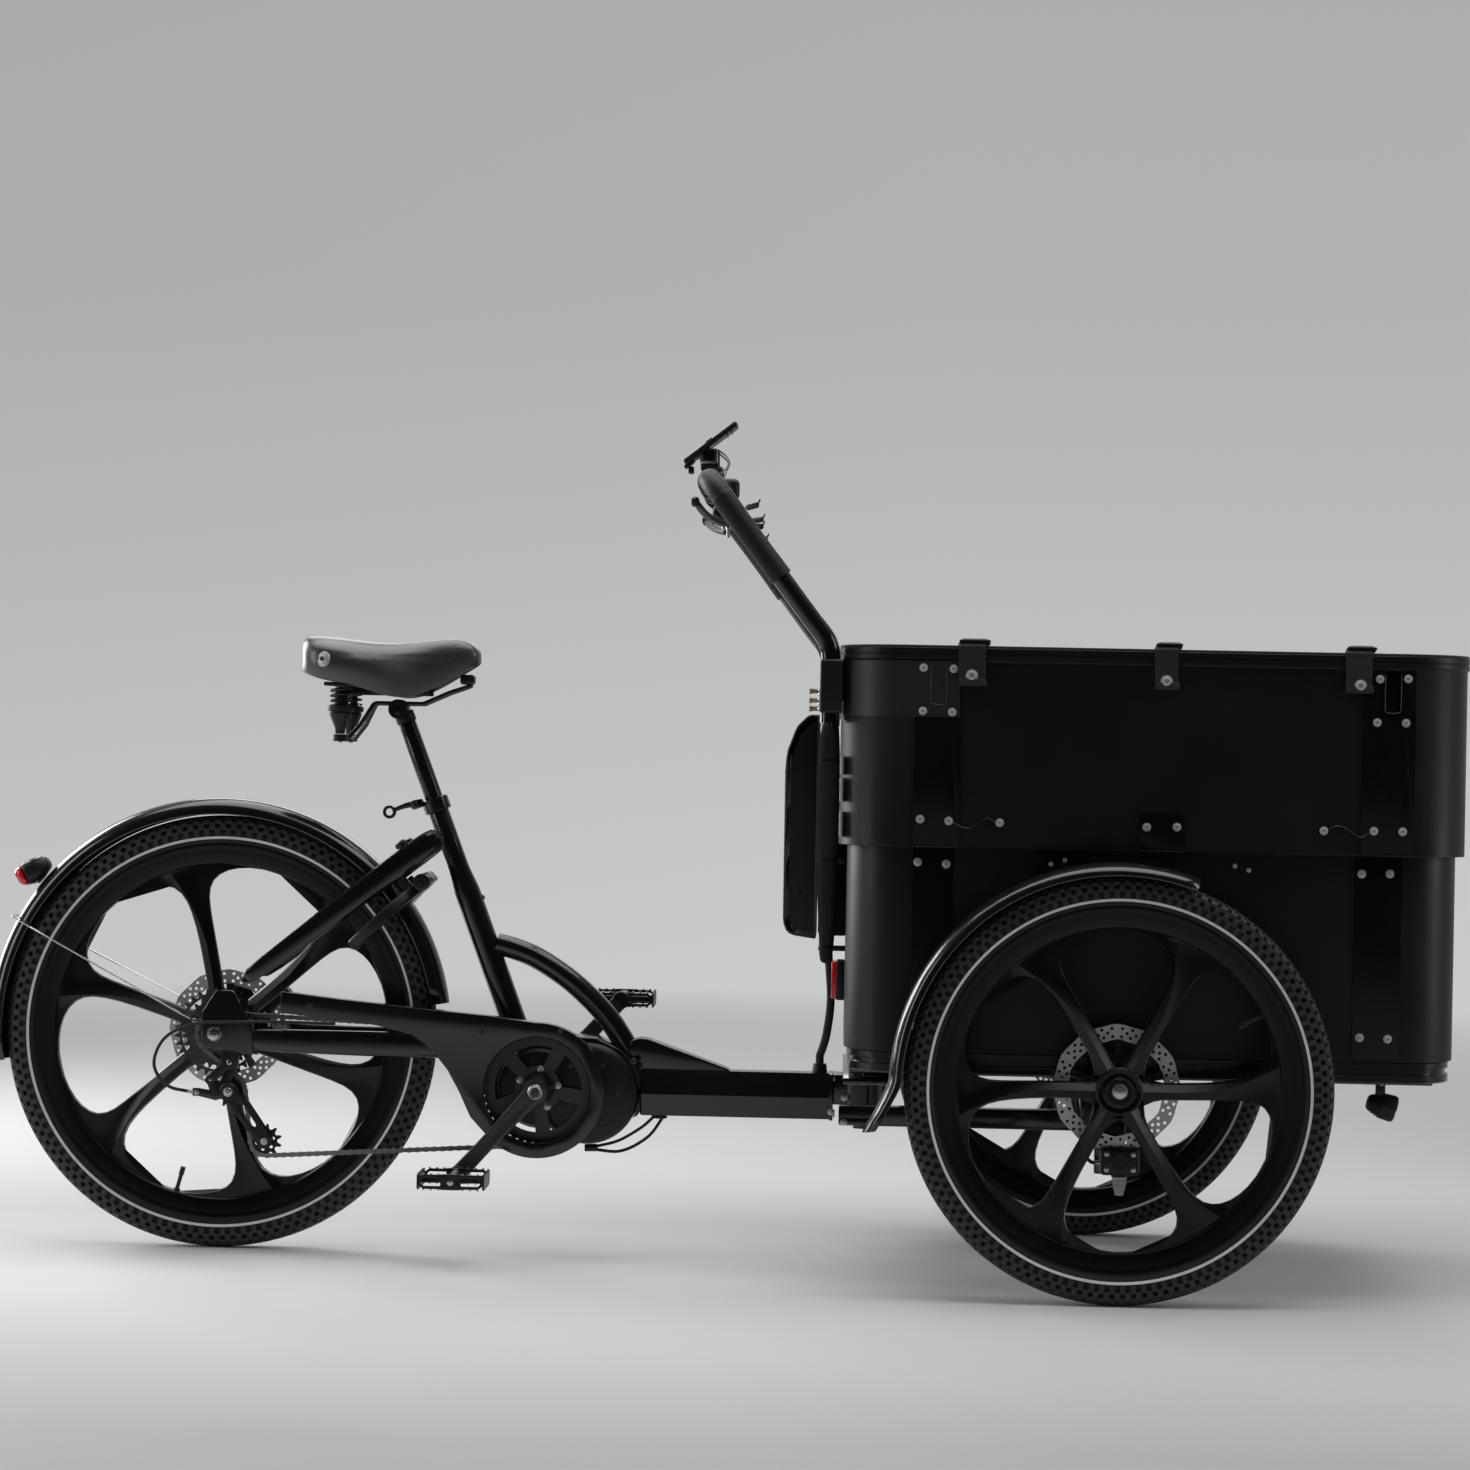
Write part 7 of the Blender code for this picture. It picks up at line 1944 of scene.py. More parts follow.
@dataclass
class Drive:
    """Chain, sprockets, derailleur, cranks, pedals and motor."""

    frame: str = "rear_frame"
    axis: Point = CRANK_AXIS
    rear: Point = REAR_AXLE
    guide: Point = (-0.722, 0.0, 0.243)
    tension: Point = (-0.668, 0.0, 0.168)
    motor_centre: Point = MOTOR_CENTRE
    motor_radius: float = 0.078
    pitch: float = 0.0127
    line: float = -0.05
    ring_teeth: int = 42
    pulley_teeth: int = 11
    cogs: tuple = (32, 26, 22, 18, 15, 13, 11)
    used: int = 4
    crank_length: float = 0.17
    crank_angle: float = math.radians(228)

    def build(self) -> None:
        """Makes the whole drive."""
        chain = self.chain()
        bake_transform(chain)
        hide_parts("chain")
        carried(self.cassette(), "cassette", "dark_steel", "cassette")
        carried(self.cage(), "derailleur_cage", "dark_steel", "derailleur_cage")
        for label, centre in (("upper", self.guide), ("lower", self.tension)):
            carried(self.pulley(label, centre), f"jockey_{label}", "moulded", f"jockey_wheel_{label}")
        carried(self.derailleur(), self.frame, "moulded", "derailleur_body")
        for label, side in NAMED_SIDES:
            carried(self.crank(label, side), "crank", "moulded", f"crank_{label}")
            carried(self.pedal(label, side), f"pedal_{label}", "moulded", f"pedal_{label}")
        carried(self.chainring(), "crank", "dark_steel", "crank_right")
        carried(self.motor(), self.frame, "moulded", "motor")

    def radius(self, teeth: int) -> float:
        """Pitch radius of a sprocket."""
        return self.pitch / (2 * math.sin(math.pi / teeth))

    def route(self) -> list[Vector]:
        """Closed route of the chain on its pitch line, finely stepped."""
        wheels = ((self.axis, self.radius(self.ring_teeth), -1),
                  (self.tension, self.radius(self.pulley_teeth), -1),
                  (self.guide, self.radius(self.pulley_teeth), 1),
                  (self.rear, self.radius(self.cogs[self.used]), -1))
        leaves, meets = [], []
        for (one, r1, s1), (two, r2, s2) in zip(wheels, wheels[1:] + wheels[:1]):
            dx, dz = two[0] - one[0], two[2] - one[2]
            normal = math.pi / 2 + math.atan2(dz, dx) - math.asin((s2 * r2 - s1 * r1) / math.hypot(dx, dz))
            leaves.append(normal if s1 < 0 else normal + math.pi)
            meets.append(normal if s2 < 0 else normal + math.pi)
        route = []
        for i, (centre, radius, sense) in enumerate(wheels):
            sweep = (leaves[i] - meets[i - 1]) % (2 * math.pi)
            sweep -= 2 * math.pi if sense < 0 else 0
            for k in range(25):
                angle = meets[i - 1] + sweep * k / 24
                route.append(Vector((centre[0] + radius * math.cos(angle), self.line, centre[2] + radius
                                     * math.sin(angle))))
        return route

    def chain(self) -> Piece:
        """Links of the chain, placed pitch by pitch round the route."""
        route = self.route()
        route.append(route[0])
        lengths = [0.0]
        for one, two in zip(route, route[1:]):
            lengths.append(lengths[-1] + (two - one).length)
        count = 2 * round(lengths[-1] / self.pitch / 2)
        joints = []
        k = 0
        for i in range(count):
            want = lengths[-1] * i / count
            while lengths[k + 1] < want:
                k += 1
            share = (want - lengths[k]) / (lengths[k + 1] - lengths[k])
            joints.append(route[k].lerp(route[k + 1], share))
        half = self.pitch / 2
        ends = (arc(half, 0, 0.0041, -125, 125, 5), arc(-half, 0, 0.0041, 55, 305, 5))
        figure = ends[0] + [(0, 0.0029)] + ends[1] + [(0, -0.0029)]
        flat = Matrix.Rotation(math.pi / 2, 4, "X")
        models = []
        for apart, reach, radius, sides in ((0.0018, 0.0014, 0.0037, 10), (0.0027, 0.0034, 0.0017, 8)):
            plates = [slab("side", figure, 0.0008, Matrix.Translation((0, y, 0)) @ flat, "chain_steel",
                           0.0002, None, 1) for y in (-apart, apart)]
            pins = [rod("pin", (x, -reach, 0), (x, reach, 0), radius, "chain_steel", sides, 0)
                    for x in (-half, half)]
            models.append(joined("link", plates + pins))
        pieces = []
        for i in range(count):
            one, two = joints[i], joints[(i + 1) % count]
            along = (two - one).normalized()
            turn = Matrix((along, Y, along.cross(Y))).transposed().to_4x4()
            pieces.append(copied(models[i % 2], Matrix.Translation((one + two) / 2) @ turn))
        for model in models:
            bpy.data.objects.remove(model)
        return joined("chain_links", pieces)

    def toothed(self, name: str, teeth: int, thickness: float, finish: str, cuts: list | None = None,
                phase: float = 0.0) -> Piece:
        """A toothed disc about the origin, facing along Y.

        Args:
            name: Its name.
            teeth: How many teeth it has.
            thickness: Its thickness.
            finish: The name of its finish.
            cuts: Outlines that are cut out of it, or None.
            phase: How far it is turned, in teeth.

        Returns:
            The piece.
        """
        pitch = self.radius(teeth)
        outline = []
        for i in range(teeth):
            for share, grow in ((-0.3, -0.003), (-0.16, 0.0012), (-0.07, 0.0034), (0.07, 0.0034),
                                (0.16, 0.0012), (0.3, -0.003), (0.5, -0.004)):
                angle = 2 * math.pi * (i + 0.5 + share + phase) / teeth
                outline.append(((pitch + grow) * math.cos(angle), (pitch + grow) * math.sin(angle)))
        return slab(name, outline, thickness, Matrix.Rotation(math.pi / 2, 4, "X"), finish, 0.0002, cuts, 1)

    def cassette(self) -> Piece:
        """Seven toothed cogs with spacers, carrier arms and the lock ring."""
        pieces = []
        for i, teeth in enumerate(self.cogs):
            pitch = self.radius(teeth)
            cuts = []
            if pitch > 0.034:
                inner, outer = max(self.radius(self.cogs[i + 1]) - 0.002, 0.024), pitch - 0.0075
                for k in range(6):
                    start = 60 * k + 8 * i
                    if outer - inner > 0.004:
                        back = arc(0, 0, inner, start + 40, start + 4, 4)
                        cuts.append(arc(0, 0, outer, start, start + 44, 6) + back)
            cog = self.toothed("cog", teeth, 0.0018, "cog_steel", cuts)
            pieces.append(copied(cog, Matrix.Translation(Vector(self.rear) + Y * (-0.03 - 0.005 * i))))
            bpy.data.objects.remove(cog)
        core = lathe("core", [(0.0066, -0.0275), (0.018, -0.0275), (0.018, -0.06), (0.015, -0.0612),
                              (0.015, -0.0625), (0.0066, -0.0625)], self.rear, "dark_steel", 36, ring=True)
        splines = ringed(block("spline", Vector(self.rear) + Vector((0.013, -0.0622, 0)),
                               (0.003, 0.0012, 0.002), "brushed_steel", 0.0002), 12, self.rear)
        return joined("cassette_cogs", [*pieces, core, splines])

    def cage(self) -> Piece:
        """Two pressed cage plates with their windows and pulley bolts."""
        guide, tension = Vector(self.guide), Vector(self.tension)
        along = (tension - guide).normalized()
        across = Vector((-along.z, 0, along.x))
        outline, window = [], []
        for centre, radius, start in ((guide, 0.013, 0), (tension, 0.0115, math.pi)):
            for k in range(11):
                angle = start + math.pi * k / 10
                point = centre + (across * math.cos(angle) - along * math.sin(angle)) * radius
                outline.append((point.x, point.z))
        for centre, radius, start in ((guide.lerp(tension, 0.3), 0.0052, 0),
                                      (guide.lerp(tension, 0.68), 0.0044, math.pi)):
            for k in range(7):
                angle = start + math.pi * k / 6
                point = centre + (across * math.cos(angle) - along * math.sin(angle)) * radius
                window.append((point.x, point.z))
        pieces = []
        for y in (-0.059, -0.041):
            pieces.append(slab("cage", outline, 0.002, side_plane(y), "moulded_black", 0.0006, [window]))
        for centre in (guide, tension):
            pieces.append(rod("bolt", centre - Y * 0.0602, centre - Y * 0.0396, 0.0029, "dark_steel", 16))
            pieces.append(hex_bolt("head", centre - Y * 0.06, -Y, 0.0042, 0.0018, "brushed_steel"))
        return joined("derailleur_cage_plates", pieces)

    def pulley(self, label: str, centre: Point) -> Piece:
        """A toothed pulley with a bearing.

        Args:
            label: Which pulley it is.
            centre: Its middle.

        Returns:
            The piece.
        """
        wheel = self.toothed("wheel", self.pulley_teeth, 0.002, "moulded_black",
                             [arc(0.013 * math.cos(a), 0.013 * math.sin(a), 0.0026, 0, 315, 7)
                              for a in (0.3, 1.35, 2.4, 3.44, 4.49, 5.53)])
        hub = lathe("hub", mirrored([(0.0033, -0.0066), (0.0072, -0.0066), (0.008, -0.0055)]), (0, 0, 0),
                    "moulded_black", 28, ring=True)
        whole = joined(f"jockey_{label}_teeth", [wheel, hub])
        whole.data.transform(Matrix.Translation(Vector(centre) + Y * self.line))
        return whole

    def derailleur(self) -> Piece:
        """Hanger, parallelogram links, knuckles and the cable's anchor."""
        hanger = [(-0.733, 0.304), (-0.728, 0.3047), (-0.71, 0.3025), (-0.706, 0.299), (-0.708, 0.279),
                  (-0.713, 0.2765), (-0.729, 0.2765), (-0.733, 0.28)]
        pieces = [slab("hanger", hanger, 0.0155, side_plane(-0.072), "moulded_black", 0.0016, segments=3)]
        for low, high, y in (((-0.72, 0.288), (-0.748, 0.262), -0.0765),
                             ((-0.748, 0.262), (-0.74, 0.24), -0.0745),
                             ((-0.715, 0.284), (-0.73, 0.25), -0.069)):
            a, b = Vector((low[0], y, low[1])), Vector((high[0], y, high[1]))
            out = (b - a).normalized()
            side = out.cross(Y)
            rings = [oval(a.lerp(b, s), side * w, Y * 0.0038, 12, 3.0)
                     for s, w in ((-0.25, 0.006), (-0.1, 0.0085), (0.5, 0.0072), (1.1, 0.0085),
                                  (1.25, 0.006))]
            pieces.append(sleeve("link", rings, "moulded_black", 1))
        for x, z, r in ((-0.72, 0.288, 0.0105), (-0.748, 0.262, 0.0075), (-0.7215, 0.2435, 0.014)):
            pieces.append(lathe("knuckle", [(0.0, -0.007), (r * 0.8, -0.007), (r, -0.005), (r, 0.0075),
                                            (r * 0.9, 0.0085), (0.0, 0.0085)], (x, -0.0718, z),
                                "moulded_black", 32))
            pieces.append(hex_bolt("screw", (x, -0.0788, z), -Y, r * 0.42, 0.0017, "brushed_steel"))
        arm = slab("arm", [(-0.775, 0.236), (-0.766, 0.236), (-0.74, 0.23), (-0.73, 0.233), (-0.733, 0.243),
                           (-0.766, 0.248), (-0.775, 0.248)], 0.004, side_plane(-0.076), "dark_steel",
                   0.0008)
        pinch = hex_bolt("pinch", (-0.769, -0.078, 0.242), -Y, 0.0034, 0.0028, "brushed_steel")
        return joined("derailleur_links", [*pieces, arm, pinch])

    def tip(self, side: int) -> Vector:
        """End of a crank, in the middle plane."""
        angle = self.crank_angle + (math.pi if side == LEFT else 0)
        return Vector(self.axis) + Vector((math.cos(angle), 0, math.sin(angle))) * self.crank_length

    def crank(self, label: str, side: int) -> Piece:
        """Forged crank with a shallow fluted face, its boss, spindle and bolt cap.

        Args:
            label: The side's name.
            side: RIGHT or LEFT.

        Returns:
            The piece.
        """
        tip, axis = self.tip(side), Vector(self.axis)
        out = (tip - axis).normalized()
        wide = out.cross(Y)
        rings = []
        for share, width, deep in ((-0.09, 0.012, 0.006), (-0.03, 0.0165, 0.0078), (0.06, 0.0165, 0.008),
                                   (0.16, 0.014, 0.0076), (0.4, 0.0125, 0.007), (0.75, 0.0115, 0.0066),
                                   (0.93, 0.0128, 0.0068), (1.02, 0.0132, 0.0068), (1.075, 0.0085, 0.0052)):
            centre = axis.lerp(tip, share) + Y * side * (0.094 + 0.01 * clamped(share))
            ring = oval(centre, wide * width, Y * deep, 20, 4.0)
            flute = 0.0016 if 0.1 < share < 0.9 else 0.0
            section = []
            for point in ring:
                off = abs((point - centre).dot(wide)) / (width * 0.62)
                outer = (point - centre).dot(Y) * side > 0
                section.append(point - Y * side * flute * max(0.0, 1 - off ** 4) if outer else point)
            rings.append(section)
        arm = sleeve("arm", rings, "forged_alloy", 1)
        boss = lathe("boss", [(0.0, 0.083), (0.017, 0.083), (0.0185, 0.0845), (0.0185, 0.0995),
                              (0.0175, 0.1012), (0.013, 0.1022), (0.0, 0.1022)], axis, "forged_alloy", 40,
                     Y * side)
        cap = lathe("cap", [(0.0, 0.101), (0.006, 0.101), (0.0066, 0.103), (0.01, 0.1034), (0.0112, 0.1026),
                            (0.0112, 0.1), (0.0, 0.1)], axis, "brushed_steel", 36, Y * side)
        eye = lathe("eye", [(0.0, 0.097), (0.0125, 0.097), (0.0138, 0.0985), (0.0138, 0.1095),
                            (0.0125, 0.1108), (0.0, 0.1108)], tip, "moulded_black", 32, Y * side)
        spindle = rod("spindle", tip + Y * side * 0.105, tip + Y * side * 0.206, 0.0049, "brushed_steel",
                      20)
        flats = rod("flats", tip + Y * side * 0.1108, tip + Y * side * 0.115, 0.008, "brushed_steel", 6)
        pieces = [arm, boss, cap, eye, spindle, flats]
        if side == LEFT:
            pieces.append(rod("shaft", axis - Y * 0.0825, axis + Y * 0.09, 0.0099, "brushed_steel", 28))
        return joined(f"crank_{label}_arm", pieces)

    def chainring(self) -> Piece:
        """Chainring with five windows, its sleeve and bolts."""
        cuts = []
        for i in range(5):
            start = 72 * i
            cuts.append(arc(0, 0, 0.0655, start, start + 52, 8)
                        + arc(0, 0, 0.035, start + 46, start + 6, 6))
        cuts.append(arc(0, 0, 0.0108, 0, 345, 23))
        ring = self.toothed("ring", self.ring_teeth, 0.0022, "dark_steel", cuts)
        ring.data.transform(Matrix.Translation(Vector(self.axis) + Y * self.line))
        sleeve_tube = lathe("sleeve", [(0.025, self.line), (0.025, self.line - 0.006), (0.018, -0.084),
                                       (0.011, -0.084), (0.011, self.line)],
                            (self.axis[0], 0, self.axis[2]), "dark_steel", 36, ring=True)
        bolt = hex_bolt("bolt", Vector(self.axis) + Vector((0.03, self.line - 0.0011, 0.006)), -Y, 0.0042,
                        0.0022, "brushed_steel")
        return joined("chainring_teeth", [ring, sleeve_tube, ringed(bolt, 5, self.axis)])

    def pedal(self, label: str, side: int) -> Piece:
        """Platform pedal with toothed plates, side bars and reflectors.

        Args:
            label: The side's name.
            side: RIGHT or LEFT.

        Returns:
            The piece.
        """
        middle = self.tip(side) + Y * side * 0.16
        barrel = lathe("barrel", [(0.0054, -0.044), (0.0095, -0.044), (0.0105, -0.0425), (0.0098, -0.025),
                                  (0.0092, 0.0), (0.0098, 0.025), (0.0105, 0.0425), (0.0095, 0.0435),
                                  (0.0054, 0.0435)], middle, "moulded_black", 28, ring=True)
        pieces = [barrel]
        for end in (-1, 1):
            teeth = [(-0.044, -0.01), (-0.04, -0.0108)]
            for i in range(7):
                start = -0.04 + i * 0.0114
                teeth += [(start, -0.0108), (start + 0.0022, -0.0122), (start + 0.0066, -0.0122),
                          (start + 0.0088, -0.0108)]
            teeth += [(0.0435, -0.01)]
            teeth += [(a, -b) for a, b in teeth[::-1]]
            turn = Matrix.Rotation(math.pi / 2, 4, "Z") @ Matrix.Rotation(math.pi / 2, 4, "X")
            place = Matrix.Translation(middle + X * end * 0.0484) @ turn
            plate = slab("plate", [(a, b * 0.98) for a, b in teeth], 0.0028, place, "moulded_black", 0.0005)
            lens = block("lens", middle + X * end * 0.0468, (0.0022, 0.04, 0.009), "red_lens", 0.0006)
            pieces += [plate, lens]
        side_outline = [(-0.047, -0.006), (-0.04, -0.0105), (-0.018, -0.0105), (-0.012, -0.0116),
                        (0.012, -0.0116), (0.018, -0.0105), (0.04, -0.0105), (0.047, -0.006)]
        side_outline += [(a, -b) for a, b in side_outline[::-1]]
        windows = [[(hand * 0.015, -0.0062), (hand * 0.04, -0.0062), (hand * 0.0435, -0.003),
                    (hand * 0.0435, 0.003), (hand * 0.04, 0.0062), (hand * 0.015, 0.0062)]
                   for hand in (-1, 1)]
        for share in (-1, 1):
            place = Matrix.Translation(middle) @ side_plane(share * 0.0405)
            pieces.append(slab("side", side_outline, 0.006, place, "moulded_black", 0.001, windows))
        for x in (-0.04, -0.029, -0.018, 0.018, 0.029, 0.04):
            for z in (-0.01, 0.01):
                for share in (-1, 1):
                    foot = middle + Vector((x, share * 0.0405, z))
                    pieces.append(rod("stud", foot, foot + Z * math.copysign(0.0026, z), 0.0017,
                                      "brushed_steel", 10, 0.0004))
        for share in (-0.5, 0.5):
            pieces.append(block("cross", middle + Y * share * 0.036, (0.092, 0.004, 0.008), "moulded_black",
                                0.0012))
        return joined(f"pedal_{label}_platform", pieces)

    def motor(self) -> Piece:
        """Motor can with cooling ribs, the crank housing, covers and screws."""
        can, crank, size = Vector(self.motor_centre), Vector(self.axis), self.motor_radius
        profile = [(0.0, -0.0425), (size - 0.016, -0.043), (size - 0.007, -0.04), (size - 0.002, -0.035),
                   (size - 0.0006, -0.03)]
        for k in range(7):
            y = -0.026 + 0.0105 * k
            profile += [(size, y), (size, y + 0.005), (size - 0.004, y + 0.006), (size - 0.004, y + 0.009)]
        profile += [(size - 0.001, 0.0485), (size - 0.004, 0.054), (size - 0.01, 0.056), (0.0, 0.0555)]
        shell = lathe("can", profile, can, "moulded_black", 80, angle=30.0)
        house = lathe("house", [(0.011, -0.043), (0.04, -0.043), (0.056, -0.04), (0.061, -0.033),
                                (0.0618, -0.02), (0.0618, 0.05), (0.059, 0.058), (0.052, 0.062),
                                (0.011, 0.062)], crank, "moulded_black", 64, ring=True)
        caps = []
        for y, side in ((-0.0425, RIGHT), (0.0555, LEFT)):
            caps.append(lathe("cover", [(0.0, 0.0), (0.052, 0.0), (0.056, -0.0014), (0.056, -0.004),
                                        (0.0, -0.004)], can + Y * (y + side * 0.0006), "moulded_black", 64,
                              Y * side))
            screw = hex_bolt("screw", can + X * 0.048 + Y * (y + side * 0.0004), Y * side, 0.003, 0.0016,
                             "dark_steel")
            caps.append(ringed(screw, 6, can))
        return joined("motor_shell", [shell, house, *caps])


@dataclass
class Frame:
    """Tubes, stays, collar, lock, lights and guards of the rear frame."""

    body: str = "rear_frame"
    rear: Point = REAR_AXLE

    def build(self) -> None:
        """Makes the frame's visible parts."""
        carried(self.main_tube(), self.body, "frame_paint", "main_tube")
        carried(self.seat_tube(), self.body, "frame_paint", "seat_tube")
        carried(self.arch(), self.body, "frame_paint", "arch_tube")
        carried(self.cradle(), self.body, "frame_paint", "motor_cradle")
        for label, side in NAMED_SIDES:
            carried(self.chainstay(label, side), self.body, "frame_paint", f"chainstay_{label}")
            carried(self.seatstay(label, side), self.body, "frame_paint", f"seatstay_{label}")
        carried(self.guard(), self.body, "frame_paint", "chain_guard")
        carried(self.mudguard(), self.body, "frame_paint", "rear_mudguard")
        carried(self.stay_wires(), self.body, "steel", "mudguard_stay")
        carried(self.rear_light(), self.body, "lens", "rear_light")
        carried(self.collar(), self.body, "frame_paint", "seat_collar")
        carried(self.collar_lever(), "seat_lever", "dark_steel", "seat_lever")
        carried(self.lock(), self.body, "moulded", "ring_lock")
        carried(self.shackle(), "lock_shackle", "steel", "lock_shackle")
        carried(self.axle_ends(), self.body, "steel", "rear_axle")
        carried(self.caliper(), self.body, "moulded", "rear_caliper")
        carried(self.cables(), self.body, "rubber", "shift_cable", "motor_cable")

    def seat_line(self, z: float) -> Vector:
        """A point on the seat tube's axis."""
        share = (z - 0.345) / (0.688 - 0.345)
        return Vector((-0.2954, 0, 0.345)).lerp(Vector((-0.4258, 0, 0.688)), share)

    def main_tube(self) -> Piece:
        """Six-sided main tube with its gusset, end flange, head and the loom's gland."""
        rings = []
        low, high = 0.2165, 0.2865
        middle = (low + high) / 2 - 0.002
        for x in (-0.102, -0.099, 0.186, 0.189):
            inset = 0.002 if x in (-0.102, 0.189) else 0.0
            section = []
            for y, z in ((0.022, low), (0.034, middle), (0.022, high), (-0.022, high), (-0.034, middle),
                         (-0.022, low)):
                section.append((y - math.copysign(inset, y),
                                z + (inset if z == low else -inset if z == high else 0)))
            ring = []
            for (y0, z0), (y, z), (y1, z1) in zip(section[-1:] + section[:-1], section,
                                                  section[1:] + section[:1]):
                for share in (0.1, 0.02):
                    ring.append(Vector((x, y + (y0 - y) * share, z + (z0 - z) * share)))
                ring.append(Vector((x, y + (y1 - y) * 0.1, z + (z1 - z) * 0.1)))
            rings.append(ring)
        tube = sleeve("tube", rings, "gloss_black_paint", angle=30.0)
        wedge = [(-0.11, 0.279), (-0.122, 0.315), (-0.118, 0.33), (-0.104, 0.334), (-0.09, 0.3325),
                 (0.03, 0.29), (0.036, 0.285)]
        gusset = slab("gusset", wedge, 0.036, side_plane(0), "gloss_black_paint", 0.003, segments=3)
        flange = block("flange", (0.188, 0, 0.2515), (0.006, 0.072, 0.07), "gloss_black_paint", 0.0015)
        neck = block("neck", (0.214, 0, 0.263), (0.05, 0.06, 0.046), "gloss_black_paint", 0.004, 3)
        head = lathe("head", [(0.013, 0.2396), (0.0385, 0.2396), (0.04, 0.2412), (0.04, 0.285),
                              (0.0385, 0.2866), (0.013, 0.2866)], (0.238, 0, 0), "gloss_black_paint", 64, Z,
                     ring=True)
        gland = rod("gland", (0.17, 0, 0.284), (0.17, 0, 0.3), 0.012, "moulded_black", 24, 0.001, 0.01)
        screws = [hex_bolt("screw", (0.1915, y, z), X, 0.0036, 0.0026, "brushed_steel")
                  for y in (-0.028, 0.028) for z in (0.224, 0.279)]
        side = [hex_bolt("pivot_screw", (x, -0.036, z), -Y, 0.004, 0.0026, "brushed_steel")
                for x, z in ((0.208, 0.252), (0.188, 0.23))]
        return joined("main_tube_shell", [tube, gusset, flange, neck, head, gland, *screws, *side])

    def seat_tube(self) -> Piece:
        """Seat tube, stepped out on its lower half, open above."""
        along = (self.seat_line(0.688) - self.seat_line(0.345)).normalized()
        across = along.cross(Y)
        rings = []
        for z, radius in ((0.336, 0.0191), (0.345, 0.0195), (0.54, 0.0195), (0.552, 0.0193), (0.58, 0.016),
                          (0.59, 0.0155), (0.6868, 0.0155), (0.688, 0.015), (0.688, 0.0141),
                          (0.66, 0.0141)):
            rings.append(oval(self.seat_line(z), across * radius, Y * radius, 32))
        tube = sleeve("tube", rings, "gloss_black_paint", angle=30.0)
        boss = [hex_bolt("boss", self.seat_line(z) + Vector((0.0187, 0, 0.0071)), Vector((0.935, 0, 0.355)),
                         0.0034, 0.0022, "dark_steel") for z in (0.47, 0.535)]
        return joined("seat_tube_shell", [tube, *boss])

    def arch(self) -> Piece:
        """The curved tube from seat tube to main tube."""
        route = flowing([(-0.326, 0, 0.4715), (-0.3, 0, 0.465), (-0.262, 0, 0.45), (-0.21, 0, 0.416),
                         (-0.161, 0, 0.37), (-0.128, 0, 0.324), (-0.106, 0, 0.284)], 5)
        tube = wire("arch", route, 0.0173, "gloss_black_paint", 1, 6)
        return joined("arch_tube_shell", [tube])

    def cradle(self) -> Piece:
        """Plates that the motor hangs in."""
        outline = [(-0.35, 0.292), (-0.35, 0.338), (-0.345, 0.3415), (-0.318, 0.3445), (-0.262, 0.3445),
                   (-0.215, 0.335), (-0.17, 0.334), (-0.135, 0.318), (-0.103, 0.292), (-0.103, 0.218),
                   (-0.125, 0.206), (-0.33, 0.226)]
        body = slab("cradle", outline, 0.066, side_plane(0), "gloss_black_paint", 0.003, segments=3)
        for centre, radius in ((MOTOR_CENTRE, 0.0788), (CRANK_AXIS, 0.0628)):
            place = Vector(centre)
            carve(body, rod("room", place - Y * 0.1, place + Y * 0.1, radius, "gloss_black_paint", 72, 0))
        screws = [hex_bolt("screw", (x, side * 0.0332, z), Y * side, 0.0042, 0.003, "dark_steel")
                  for x, z in ((-0.328, 0.322), (-0.112, 0.3), (-0.118, 0.228)) for side in SIDES]
        return joined("motor_cradle_plates", [body, *screws])

    def stay(self, side: int, stations: tuple, power: float) -> Piece:
        """A flattened tube through stations (x, y, z, half width, half height), on one side.

        Args:
            side: RIGHT or LEFT.
            stations: The stations, the first at one end.
            power: Shape of the section, as for oval.

        Returns:
            The tube.
        """
        places = [Vector((x, side * y, z)) for x, y, z, _, _ in stations]
        rings = []
        for i, place in enumerate(places):
            along = (places[min(i + 1, len(places) - 1)] - places[max(i - 1, 0)]).normalized()
            across = Z.cross(along).normalized()
            wide, high = stations[i][3:]
            rings.append(oval(place, across * wide, along.cross(across) * high, 20, power))
        return sleeve("stay", rings, "gloss_black_paint", 1, angle=40.0)

    def dropout(self, side: int) -> Piece:
        """Dropout plate.

        Args:
            side: RIGHT or LEFT.

        Returns:
            The plate.
        """
        outline = [(-0.686, 0.302), (-0.686, 0.344), (-0.704, 0.372), (-0.715, 0.393), (-0.72, 0.396),
                   (-0.738, 0.396), (-0.744, 0.394), (-0.763, 0.364), (-0.764, 0.358), (-0.764, 0.316),
                   (-0.76, 0.311), (-0.741, 0.306), (-0.69, 0.3)]
        return slab("dropout", outline, 0.0062, side_plane(side * 0.072), "gloss_black_paint", 0.0012,
                    segments=3)

    def chainstay(self, label: str, side: int) -> Piece:
        """Chain stay with its dropout.

        Args:
            label: The side's name.
            side: RIGHT or LEFT.

        Returns:
            The piece.
        """
        stay = self.stay(side, ((-0.356, 0.0245, 0.316, 0.0095, 0.02), (-0.4, 0.043, 0.3175, 0.009, 0.0195),
                                (-0.47, 0.05, 0.3182, 0.0093, 0.0193), (-0.54, 0.055, 0.319, 0.0095, 0.019),
                                (-0.61, 0.062, 0.3205, 0.009, 0.018), (-0.665, 0.068, 0.322, 0.008, 0.017),
                                (-0.692, 0.0706, 0.3235, 0.0042, 0.0155)), 3.0)
        return joined(f"chainstay_{label}_tube", [stay, self.dropout(side)])

